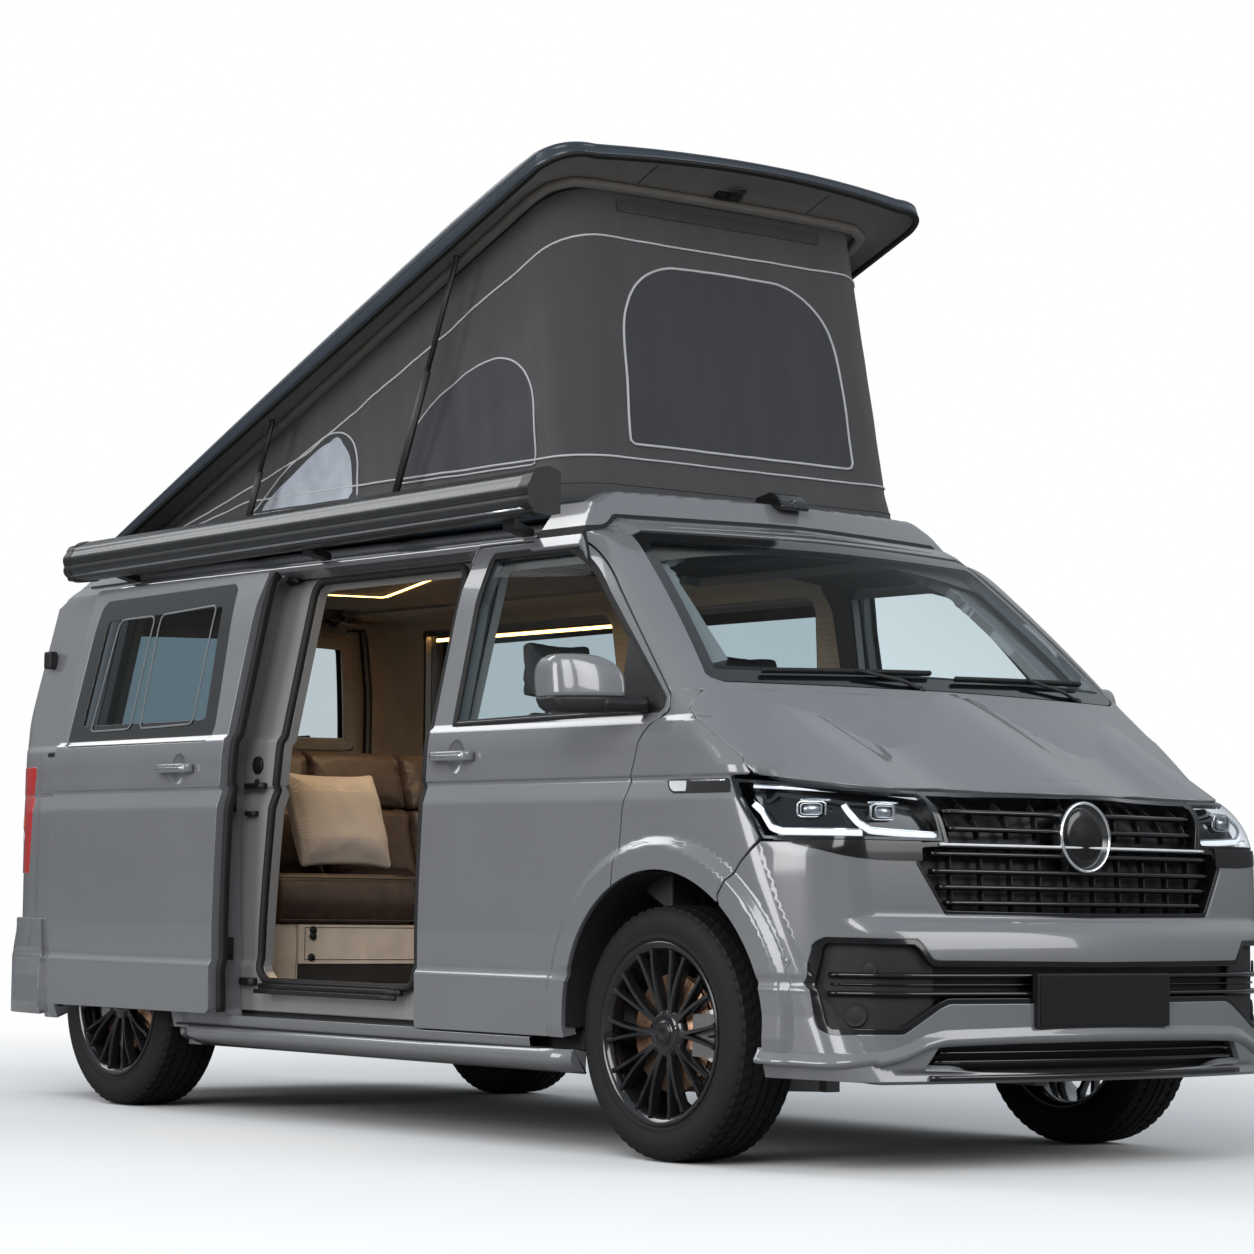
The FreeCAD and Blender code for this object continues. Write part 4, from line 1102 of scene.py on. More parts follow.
def softBox(name, low, high, material, edge=0.004, segments=2):
    x0, y0, z0 = low
    x1, y1, z1 = high
    points = [(x0, y0, z0), (x1, y0, z0), (x1, y1, z0), (x0, y1, z0), (x0, y0, z1), (x1, y0, z1),
              (x1, y1, z1), (x0, y1, z1)]
    faces = [(0, 3, 2, 1), (4, 5, 6, 7), (0, 1, 5, 4), (1, 2, 6, 5), (2, 3, 7, 6), (3, 0, 4, 7)]
    piece = newPiece(name, points, faces, material)
    bevel = piece.modifiers.new("soften", "BEVEL")
    bevel.width = edge
    bevel.segments = segments
    bevel.harden_normals = True
    return piece


def prismPiece(name, rows, low, high, material, axis="Y", edge=0.003, segments=2, steps=8):
    # an outline pushed along an axis, with softened edges; rows are (x, z), (y, z) or (x, y)
    loop = arcLoop(rows, steps=steps)
    count = len(loop)
    points = []
    for level in (low, high):
        for a, b in loop:
            points.append({"Y": (a, level, b), "X": (level, a, b), "Z": (a, b, level)}[axis])
    faces = [tuple(range(count)), tuple(range(count, 2 * count))[::-1]]
    for i in range(count):
        j = (i + 1) % count
        faces.append((j, i, count + i, count + j))
    piece = newPiece(name, points, faces, material)
    facedOut(piece)
    return softened(piece, edge, segments) if edge else piece


def heightPiece(name, x0, x1, y0, y1, step, height, material, down):
    # a surface given by its height over a rectangle, with a skirt down to a level
    xs, ys = spread(x0, x1, step), spread(y0, y1, step)
    gx, gy = np.meshgrid(xs, ys, indexing="ij")
    points = np.stack([gx, gy, height(gx, gy)], axis=-1).reshape(-1, 3)
    corner = np.arange(len(points)).reshape(len(xs), len(ys))
    faces = list(gridQuads(len(xs), len(ys), flip=True))
    rim = np.concatenate([corner[:, 0], corner[-1, 1:], corner[-2::-1, -1], corner[0, -2:0:-1]])
    low = points[rim].copy()
    low[:, 2] = down
    base = len(points)
    for i in range(len(rim)):
        j = (i + 1) % len(rim)
        faces.append((rim[j], rim[i], base + i, base + j))
    return newPiece(name, np.vstack([points, low]), faces, material)


def innerSide(left):
    side = sideOf(left)
    grid = gridOf(tailPath(1.54, 0.024, 0.44), heightRows(0.36, 1.862, 0.024))
    keep = [lambda p: 0.50 - np.abs(p[:, 1]) - 0.5 * (p[:, 0] < 0), outOf(inSide(outlines["frontDoorway"])),
            outOf(inSide(outlines["quarterLeft" if left else "quarterRight"], -0.004)),
            outOf(inFront(outlines["tailDoorway"])), clearOfArch(van["rearArch"], 0.036),
            clearOfArch(van["frontArch"], 0.036)]
    keep.append(outOf(inSide(outlines["leftWindow"],
                             -0.004)) if left else outOf(inSide(outlines["sideDoorway"])))
    # the jamb is painted in the lightened copy of the body paint, which is painted light for the shade in the
    # doorway
    frameSkin = skinPiece("inner_frame_" + side, grid, keep, "paintInnerLightened", level=shell["frameLevel"],
                          depth=shell["frameDepth"], roll=0.006, mirror=not left)
    if left:
        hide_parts("body_shell")
    skinPiece("wall_trim_" + side, grid, keep + [behind(0.46)], "trimBeige", level=shell["trimLevel"],
              depth=0, mirror=not left, flip=True)
    skinPiece("cab_trim_" + side, grid, keep + [ahead(0.46)], "dash", level=shell["trimLevel"], depth=0,
              mirror=not left, flip=True)
    grid = screenGrid(1.325, 1.872, 0.98, 0.026)
    keep = [outOf(inSide(outlines["frontDoorway"])), outOf(inFront(outlines["windscreen"], -0.012)),
            above(1.345), ahead(0.97)]
    skinPiece("pillar_trim_" + side, grid, keep, "headliner", level=-0.050, depth=0, mirror=not left,
              flip=True)


def roofLiner():
    # the cab's headlining, ahead of the roof's opening and beside it
    hole = outOf(inTop([(-1610, -602), (735, -602), (735, 602), (-1610, 602)]))
    grid = topGrid(-2.16, 1.20, -0.72, 0.72, 0.04)
    skinPiece("cab_headlining", grid, [hole], "headliner", level=-0.046, depth=0,
              flip=True)
    # the frame of the opening closes the space between the roof and its lining
    loop = [(-1.606, -0.601), (0.732, -0.601), (0.732, 0.601), (-1.606, 0.601)]
    points = [(x, y, z) for z in (1.868, 1.902) for x, y in loop]
    newPiece("roof_opening_edge", points, gridQuads(2, 4, wrapColumns=True), "headliner", smooth=False)


def floors():
    s = shell

    def top(x, y):
        # a step is let into the floor inside the sliding door, with ribs on its tread
        zone = np.maximum(np.abs(x + 0.06) - 0.36, y + 0.735)
        fall = np.clip(0.5 - zone / 0.03, 0, 1)
        fall = fall * fall * (3 - 2 * fall)
        ribs = 0.0025 * (np.sin(y * 2 * math.pi / 0.024) > 0.2)
        return s["floorTop"] - fall * (s["stepDrop"] - ribs)

    heightPiece("cabin_floor", -2.28, 1.12, -0.862, 0.862, 0.012, top, "floor",
                s["floorLow"])
    softBox("floor_underside", (-2.28, -0.862, s["floorLow"] - 0.002), (1.12, 0.862, s["floorLow"] + 0.010),
            "chassis")
    for y in (-1, 1):
        side = "left" if y > 0 else "right"
        low, high = sorted((y * 0.836, y * 0.871))
        softBox("sill_beam_" + side, (-1.0, low, 0.294), (1.16, high, 0.398), "chassis",
                edge=0.008)
    # pressed ribs and cross members under the floor
    ribs = []
    for x in spread(-2.1, 0.9, 0.5):
        if abs(x - van["rearAxle"]) > 0.15:
            ribs.append(softBox("rib", (x - 0.03, -0.60, 0.352), (x + 0.03, 0.60, 0.381), "chassis",
                                edge=0.006))
    joined("floor_cross_members", ribs)


def bulkhead():
    # the wall between engine and cabin, with its pressed beads, and a low tunnel at the front of the cab
    # floor
    ys, zs = spread(-0.75, 0.75, 0.015), spread(0.39, 1.336, 0.03)
    gy, gz = np.meshgrid(ys, zs, indexing="ij")
    beads = np.clip(np.sin(gy * 2 * math.pi / 0.25) * 3, -1, 1)
    points = np.stack([1.541 + 0.006 * beads, gy, gz], axis=-1).reshape(-1, 3)
    newPiece("bulkhead", points, gridQuads(len(ys), len(zs), flip=True), "chassis")
    prismPiece("tunnel", [(1090, 384), (1540, 384), (1540, 438), (1090, 438)], -0.455, 0.455, "floor",
               edge=0.006)


def cowl():
    # the black panel at the foot of the windscreen that carries the wipers
    grid = topGrid(1.48, 1.90, -0.90, 0.90, 0.02)
    keep = [lambda p: bowReach(p) - 3.375, lambda p: 3.255 - bowReach(p), lambda p: np.abs(p[:, 1]) - 0.885,
            below(1.425)]
    skinPiece("cowl_panel", grid, keep, "grainBlack", level=-0.019, depth=0.012)


def archLiner(name, arch, inner, outer, grow, start, end):
    # a black liner round the inside of a wheel arch, closed on its inner side
    cx, cz, r = arch
    r += grow
    angles = np.radians(spread(start, end, 3.0))
    ys = spread(inner, outer, 0.012)
    points = np.array([(cx + r * math.cos(a), y, cz + r * math.sin(a)) for a in angles for y in ys])
    points, triangles = clipped(points, gridTriangles(len(angles), len(ys)), lambda p: bodyField(p) + 0.012)
    wall = [(cx + k * r / 6 * math.cos(a), inner, cz + k * r / 6 * math.sin(a)) for a in angles
            for k in range(7)]
    faces = list(triangles) + list(gridQuads(len(angles), 7) + len(points))
    points = np.vstack([points, wall])
    for sign, side in ((1, "left"), (-1, "right")):
        newPiece(name + "_" + side, points * [1, sign, 1], faces, "grainBlack")


for isLeft in (True, False):
    innerSide(isLeft)
roofLiner()
floors()
bulkhead()
cowl()
archLiner("front_arch_liner", van["frontArch"], 0.470, 0.96, -0.004, -6, 184)
archLiner("rear_arch_liner", van["rearArch"], 0.605, 0.95, -0.004, -6, 186)

print("grille, lamps and bumper details")

def alongNose(s, z, level=0.0, sign=-1):
    # a point of the nose by its distance s round from the centre line, on the right if sign is -1
    s, z = np.atleast_1d(s).astype(float), np.atleast_1d(z).astype(float)
    s, z = np.broadcast_arrays(s, z)
    (cx, cy), radius = van["noseCorner"]
    turn = np.clip((s - cy) / radius, 0, math.pi / 2)
    back = np.clip(s - cy - radius * math.pi / 2, 0, None)
    origins = np.stack([cx - back, np.minimum(s, cy), z], axis=1)
    directions = np.stack([np.cos(turn), np.sin(turn), np.zeros_like(turn)], axis=1)
    points = onSkin(origins, directions, level)
    return points * [1, sign, 1]


grilleSizes = {
    "chromeLine": 0.9065,
    "slats": [0.745, 0.788, 0.832, 0.880, 0.950, 0.997],
    "slatHeight": 0.015, "slatDepth": 0.026, "setBack": 0.006, "finPitch": 0.112,
}


def halfWidthAt(loopName, z):
    # the widest |y| of a front outline at a height
    loop = arcLoop(outlines[loopName])
    best = 0.0
    for s, e in zip(loop, np.roll(loop, -1, axis=0)):
        if (s[1] - z) * (e[1] - z) <= 0 and s[1] != e[1]:
            best = max(best, s[0] + (e[0] - s[0]) * (z - s[1]) / (e[1] - s[1]))
    return best


def noseLine(halfWidth, z, level):
    # level points from the right end to the left end, on the skin, by half width in y
    (_, cy), radius = van["noseCorner"]
    half = halfWidth if halfWidth <= cy else cy + radius * math.asin(min(1, (halfWidth - cy) / radius))
    s = spread(0, half, 0.03)
    right = alongNose(s, np.full_like(s, z), level, -1)[::-1]
    left = alongNose(s, np.full_like(s, z), level, 1)
    return np.vstack([right, left[1:]])


def noseSlats(name, loopName, heights, size, depth, level, material, gap=0.004):
    # blades with a thin rounded front edge, falling away behind
    profile = [(-depth, -size * 0.55), (-depth * 0.3, -size * 0.5), (-0.002, -size * 0.18), (0, 0.0),
               (-0.002, size * 0.30), (-depth * 0.2, size * 0.5), (-depth, size * 0.42)]
    pieces = []
    for i, z in enumerate(heights):
        path = noseLine(halfWidthAt(loopName, z) - gap, z, level)
        pieces.append(sweptPiece(name + str(i), path, (0, 0, 1), profile, material))
    return joined(name, pieces)


def upperGrille():
    g = grilleSizes
    zone = outlines["upperGrille"]
    grid = gridOf(wholePath([(1.6, y, 1, 0) for y in spread(0.66, 0, 0.03)]), spread(0.68, 1.08, 0.03))
    back = skinPiece("grille_back", grid, [inFront(zone, 0.012)], "satinBlack", level=-0.062, depth=0)
    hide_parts("grille")
    fine = gridOf(wholePath([(1.6, y, 1, 0) for y in spread(0.66, 0, 0.015)]), spread(0.68, 1.08, 0.012))
    skinPiece("grille_frame", fine, [inFront(zone, 0.001), outOf(inFront(zone, -0.010))], "glossBlack",
              level=-0.004, depth=0.05, roll=0.002)
    noseSlats("grille_slats", "upperGrille", g["slats"], g["slatHeight"], g["slatDepth"], -g["setBack"],
              "glossBlack")
    # the bar that carries the bright line, and the line itself
    noseSlats("grille_middle_bar", "upperGrille", [g["chromeLine"] - 0.004], 0.018, 0.03, -0.008,
              "glossBlack")
    line = noseLine(0.575, g["chromeLine"], 0.000)
    sweptPiece("grille_bright_line", line, (0, 0, 1), roundBar(0.007, 0.0075, 0.4), "brightLine")
    fins = []
    for k in range(-5, 6):
        y = (k + 0.5) * g["finPitch"] * 0.96
        for z0, z1 in ((0.722, 0.895), (0.925, 1.036)):
            if abs(y) > halfWidthAt("upperGrille", z1) - 0.03:
                continue
            path = castEnd(abs(y), spread(z0, z1, 0.03), -0.034) * [1, 1 if y > 0 else -1, 1]
            fins.append(sweptPiece("fin", path, (1, 0, 0), roundBar(0.005, 0.022), "satinBlack"))
    joined("grille_fins", fins)


def plainDisc():
    # a plain round disc with a bright rim where a badge would sit
    centre = castEnd(0.0, 0.936)[0]
    normal = fieldNormals(centre[None])[0]
    aim = (normal[0], 0, normal[2] * 0.6)
    turnedPiece("nose_disc_rim", [(-0.03, 0.098), (0.0, 0.102), (0.006, 0.102), (0.009, 0.0995),
                                  (0.009, 0.095), (0.005, 0.0925), (0.002, 0.0925)], centre, "chrome",
                axis="X", aim=aim)
    turnedPiece("nose_disc", [(-0.03, 0.094), (0.003, 0.0928), (0.0035, 0.06), (0.005, 0.03),
                              (0.0055, 0.0)], centre, "glossBlack", axis="X", aim=aim)


def lowerGrille():
    zone = outlines["lowerGrille"]
    grid = gridOf(wholePath(nosePath(1.94, 0.016)), spread(0.37, 0.66, 0.014))
    back = skinPiece("bumper_grille_back", grid, [inFront(zone, 0.010)], "satinBlack", level=-0.040,
                     depth=0)
    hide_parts("bumper_grille")
    skinPiece("bumper_grille_frame", grid, [inFront(zone, 0.001), outOf(inFront(zone, -0.013))],
              "glossBlack", level=-0.003, depth=0.036, roll=0.0025)
    # the side pockets are closed plates, the middle is open behind its slats
    pocket = [outOf(lambda p: np.abs(p[:, 1]) - 0.60)]
    skinPiece("bumper_pockets", grid, [inFront(zone, -0.008)] + pocket, "grainBlack", level=-0.024,
              depth=0.02)
    noseSlats("bumper_slats", "lowerGrille", [0.496, 0.546], 0.015, 0.030, -0.006, "glossBlack", gap=0.026)
    noseSlats("bumper_thin_slats", "lowerGrille", [0.521], 0.007, 0.020, -0.016, "glossBlack", gap=0.030)
    discs, parking = [], []
    for sign in (-1, 1):
        for s, z, r, level in ((0.872, 0.438, 0.030, -0.022), (0.832, 0.566, 0.019, -0.022)):
            centre = alongNose(s, z, level, sign)[0]
            normal = fieldNormals(centre[None])[0]
            discs.append(turnedPiece("disc", [(0.0, r * 1.1), (0.005, r * 1.05), (0.006, r),
                                              (0.0045, r * 0.92), (0.006, r * 0.7), (0.007, 0.0)], centre,
                                     "grainBlack", axis="X", aim=normal, count=32))
        centre = alongNose(1.072, 0.580, 0.0, sign)[0]
        normal = fieldNormals(centre[None])[0]
        parking.append(turnedPiece("park", [(-0.004, 0.0135), (0.0015, 0.0135), (0.002, 0.0115),
                                            (0.0005, 0.011), (0.001, 0.008), (0.002, 0.006), (0.002, 0.0)],
                                   centre, "paint", axis="X", aim=normal, count=32))
    joined("bumper_round_covers", discs)
    joined("parking_sensors", parking)


def lowIntake():
    zone = outlines["lowIntake"]
    grid = gridOf(wholePath(nosePath(2.2, 0.02)), spread(0.262, 0.37, 0.012))
    skinPiece("intake_back", grid, [inFront(zone, 0.008)], "satinBlack", level=-0.05, depth=0)
    noseSlats("intake_slats", "lowIntake", [0.312, 0.336], 0.010, 0.024, -0.010, "glossBlack")


splitter = {
    # distance round the nose, height and how far it stands out
    "line": [(1.165, 0.322, 0.016), (1.02, 0.318, 0.016), (0.90, 0.316, 0.016), (0.80, 0.322, 0.016),
             (0.735, 0.338, 0.015), (0.665, 0.366, 0.013), (0.60, 0.378, 0.010), (0.30, 0.384, 0.008),
             (0.0, 0.386, 0.008)],
    "height": 0.034,
}


def frontSplitter():
    # the lip that runs round the foot of the bumper and lifts over the low intake
    rows = resampled(np.array(splitter["line"]), 0.02)
    right = alongNose(rows[:, 0], rows[:, 1], 0.0, -1)
    left = right[::-1][1:] * [1, -1, 1]
    path = np.vstack([right, left])
    out = np.concatenate([rows[:, 2], rows[::-1][1:, 2]])
    h = splitter["height"]
    profile = [(0.02, h * 0.62), (-0.1, h * 0.45), (-0.75, h * 0.05), (-1.0, -h * 0.14), (-0.92, -h * 0.42),
               (-0.3, -h * 0.62), (0.02, -h * 0.7)]
    normals = fieldNormals(path)
    points = [p + n * (-a * far * 1.15) + np.array([0, 0, b]) for p, n, far in zip(path, normals, out)
              for a, b in profile]
    faces = list(gridQuads(len(path), len(profile)))
    faces += [face[::-1] for face in endCaps(len(path), len(profile))]
    newPiece("front_splitter", points, faces, "paint")
    # the thin lower edge below the low intake
    low = noseLine(0.64, 0.268, 0.004)
    sweptPiece("intake_lower_edge", low, (0, 0, 1), roundBar(0.02, 0.016, 0.4), "glossBlack")


plates = {
    # half width, foot, top, back and front behind the grille's foremost point, rounding and its steps
    "plate_carrier": (0.267, 0.402, 0.553, 0.030, 0.004, 0.004, 3, "satinBlack"),
    "blank_plate": (0.260, 0.4085, 0.5465, 0.006, 0.001, 0.0015, 2, "plate"),
}


def numberPlate():
    # a blank black plate on a moulded carrier
    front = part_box("bumper_grille")[1][0]
    faces = [(3, 2, 1, 0), (4, 5, 6, 7), (0, 1, 5, 4), (1, 2, 6, 5), (2, 3, 7, 6), (3, 0, 4, 7)]
    for name, (half, low, high, back, face, edge, steps, look) in plates.items():
        points = [(front - depth, y, z) for depth in (back, face) for y, z in ((-half, low), (half, low),
                                                                               (half, high), (-half, high))]
        piece = newPiece(name, points, faces, look, smooth=False)
        softened(piece, edge, steps)


lamp = {
    # strips as rows of distance round the nose and height; width is across
    "topStrip": ([(1.240, 1.062), (1.10, 1.056), (0.90, 1.047), (0.75, 1.040), (0.600, 1.031)], 0.0105),
    "outerL": ([(1.225, 1.012), (1.150, 0.944), (1.11, 0.934), (0.98, 0.933), (0.862, 0.932)], 0.017),
    "innerL": ([(0.925, 1.008), (0.875, 0.960), (0.838, 0.938), (0.76, 0.934), (0.572, 0.928)], 0.017),
    "lensA": (1.036, 0.9975), "lensB": (0.800, 0.9915), "lensHalf": 0.046,
    "underLine": [(2040, 913), (2600, 913), (2600, 846), (2304, 853), (2284, 861), (2200, 884), (2090, 907)],
    "strip": [(1612, 1084), (1872, 1084), (1892, 1046), (1652, 1046), (1632, 1056)],
    "stripBlank": [(1622, 1079), (1700, 1079), (1708, 1051), (1655, 1051), (1640, 1058)],
}


def lampStrip(name, rows, width, sign, material, level, thick=0.008):
    line = resampled(np.array(rows), 0.012)
    path = alongNose(line[:, 0], line[:, 1], level, sign)
    normals = fieldNormals(path)
    return sweptPiece(name, path, normals, roundBar(width, thick, 0.35), material)


def lampShell(left):
    # clear cover, black rim and bowl, and the lit strips with their bright upper edges
    sign, side = (1 if left else -1), sideOf(left)
    zone = lambda grow: [inSide(outlines["lampSide"], grow), inFront(outlines["lampFront"], grow)]
    ring = lambda p: -np.maximum(*(trim(p) for trim in zone(-0.009)))
    grid = gridOf(nosePath(1.86, 0.012, 0.49), spread(0.900, 1.10, 0.010))
    cover = skinPiece("headlamp_cover_" + side, grid, zone(-0.003), "lensClear", level=-0.002, depth=0,
                      mirror=not left)
    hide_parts("headlamp_" + side)
    skinPiece("headlamp_rim_" + side, grid, zone(-0.002) + [ring], "glossBlack", level=-0.004, depth=0.012,
              roll=0.001, mirror=not left)
    skinPiece("headlamp_bowl_" + side, grid, zone(-0.006), "glossBlack", level=-0.045, depth=0,
              mirror=not left)
    for key in ("topStrip", "outerL", "innerL"):
        rows, width = lamp[key]
        lampStrip("headlamp_%s_%s" % (key, side), rows, width, sign, "dayLight", -0.020)
        edge = [(s, z + width * 0.55) for s, z in rows]
        lampStrip("headlamp_%s_edge_%s" % (key, side), edge, 0.004, sign, "chrome", -0.019, 0.010)


def lampProjectors(left):
    # rectangular projectors: stepped bright frames round a domed lens, below a thin brow
    sign, side = (1 if left else -1), sideOf(left)
    corners = [(0.5, -0.38), (0.5, 0.38), (0.36, 0.5), (-0.36, 0.5), (-0.5, 0.38), (-0.5, -0.38),
               (-0.36, -0.5), (0.36, -0.5)]
    lenses, frames = [], []
    for s, z in (lamp["lensA"], lamp["lensB"]):
        centre = alongNose(s, z, -0.030, sign)[0]
        normal = fieldNormals(centre[None])[0] * [1, 0.6, 0]
        normal /= np.linalg.norm(normal)
        across = np.cross(normal, [0, 0, 1.0])
        for size, depth, thick, look in ((0.068, 0.0, 0.005, "chrome"), (0.050, 0.007, 0.004, "silver")):
            loop = np.array([centre + normal * depth + across * a * size * 1.15 + np.array([0, 0,
                                                                                            b * size
                                                                                            * 0.62]) for a,
                             b in corners])
            frames.append(sweptPiece("frame", resampled(loop, 0.006, closed=True), normal,
                                     roundBar(thick, 0.010, 0.3), look, closed=True))
        points = []
        half, count = lamp["lensHalf"], 9
        for u in np.linspace(-1, 1, count):
            for v in np.linspace(-1, 1, count):
                dome = 0.012 * (1 - 0.5 * (u * u + v * v))
                points.append(centre + normal * dome + across * u * half * 0.5 + np.array([0, 0,
                                                                                           v * half
                                                                                           * 0.29]))
        lenses.append(newPiece("lens", points, gridQuads(count, count), "silver"))
        brow = alongNose(np.array([s + 0.05, s, s - 0.06]), np.array([z + 0.024, z + 0.026, z + 0.024]),
                         -0.022, sign)
        brow = resampled(brow, 0.01)
        frames.append(sweptPiece("brow", brow, fieldNormals(brow), roundBar(0.006, 0.01, 0.3), "chrome"))
    joined("headlamp_projectors_" + side, frames)
    joined("headlamp_lenses_" + side, lenses)


def lampTrim(left):
    # the dark under-line below the lamp, and the strip that runs back along the fender
    sign, side = (1 if left else -1), sideOf(left)
    grid = gridOf(nosePath(2.0, 0.012, 0.52), spread(0.86, 0.93, 0.008))
    skinPiece("headlamp_underline_" + side, grid, [inSide(lamp["underLine"]),
                                                   lambda p: 0.598 - np.abs(p[:, 1])], "glossBlack",
              level=0.0015, depth=0.006, roll=0.001, mirror=not left)
    skinPiece("side_strip_" + side, sideGrid(1.60, 1.90, 1.04, 1.09, 0.008), [inSide(lamp["strip"])],
              "glossBlack", level=0.003, depth=0.006, roll=0.0015, mirror=not left)
    skinPiece("side_strip_blank_" + side, sideGrid(1.61, 1.72, 1.045, 1.085, 0.006),
              [inSide(lamp["stripBlank"])], "whitePlastic", level=0.0045, depth=0.003, roll=0.001,
              mirror=not left)
    path = castSide(spread(1.712, 1.862, 0.02), 1.079, 0.004, sign)
    sweptPiece("side_strip_bright_" + side, path, (0, 0, 1), roundBar(0.003, 0.004), "chrome")


upperGrille()
plainDisc()
lowerGrille()
lowIntake()
frontSplitter()
numberPlate()
for isLeft in (True, False):
    lampShell(isLeft)
    lampProjectors(isLeft)
    lampTrim(isLeft)

print("wheels")

wheel = {
    "tyreRadius": 0.3635, "halfWidth": 0.1165, "spokes": 10, "blocks": 60, "bolts": 5,
    "spokeFoot": 0.038, "spokeEnd": 0.2415, "boltCircle": 0.055,
}


def wheelFrame(points, x, left):
    # from the wheel's own middle, outward along +Y, to its place on the van
    sign = 1 if left else -1
    return np.asarray(points) * [1, sign, 1] + np.array([x, sign * van["trackHalf"], van["hubHeight"]])


def tyrePiece(name, x, left, body):
    w, r = wheel["halfWidth"], wheel["tyreRadius"]
    # sidewall from the inner bead out to the tread: (across, radius)
    side = [(0.100, 0.254), (0.108, 0.260), (0.111, 0.268), (0.1135, 0.272), (0.1125, 0.276),
            (w - 0.001, 0.290), (w + 0.001, 0.296), (w, 0.304), (w + 0.001, 0.307), (w - 0.0015, 0.322),
            (w - 0.0045, 0.335), (w - 0.009, 0.344), (w - 0.015, 0.3515), (w - 0.020, 0.3555)]
    crown = lambda y: r - 0.0042 * (abs(y) / 0.095) ** 2.6
    tread, groove = [], 0.007
    edges = [0.0945, 0.060, 0.052, 0.018, 0.010]
    for k, y in enumerate(edges[:-1]):
        nextEdge = edges[k + 1]
        if k % 2 == 0:
            tread += [(y, crown(y)), ((y + nextEdge) / 2, crown((y + nextEdge) / 2)),
                      (nextEdge, crown(nextEdge))]
        else:
            tread += [(y - 0.001, crown(y) - groove), (nextEdge + 0.001, crown(nextEdge) - groove)]
    tread += [(0.010, crown(0.010))]
    half = side + tread
    rows = [(-y, rad) for y, rad in half] + [(y, rad) for y, rad in half[::-1]]
    count = wheel["blocks"] * 4
    points = []
    for k in range(count):
        for y, rad in rows:
            # sipes: a slot every fourth step, slanted across the tread
            slant = int(round(abs(y) * 60))
            cut = 0.0055 if (k + slant) % 4 == 0 and rad > 0.352 and 0.020 < abs(y) < 0.1 else 0.0
            a = 2 * math.pi * k / count
            points.append(((rad - cut) * math.cos(a), y, (rad - cut) * math.sin(a)))
    faces = gridQuads(count, len(rows), wrapRows=True, flip=True)
    if not left:
        faces = faces[:, ::-1]
    piece = newPiece(name, wheelFrame(points, x, left), faces, "tyre", body)
    piece.data.set_sharp_from_angle(angle=math.radians(38))
    return piece


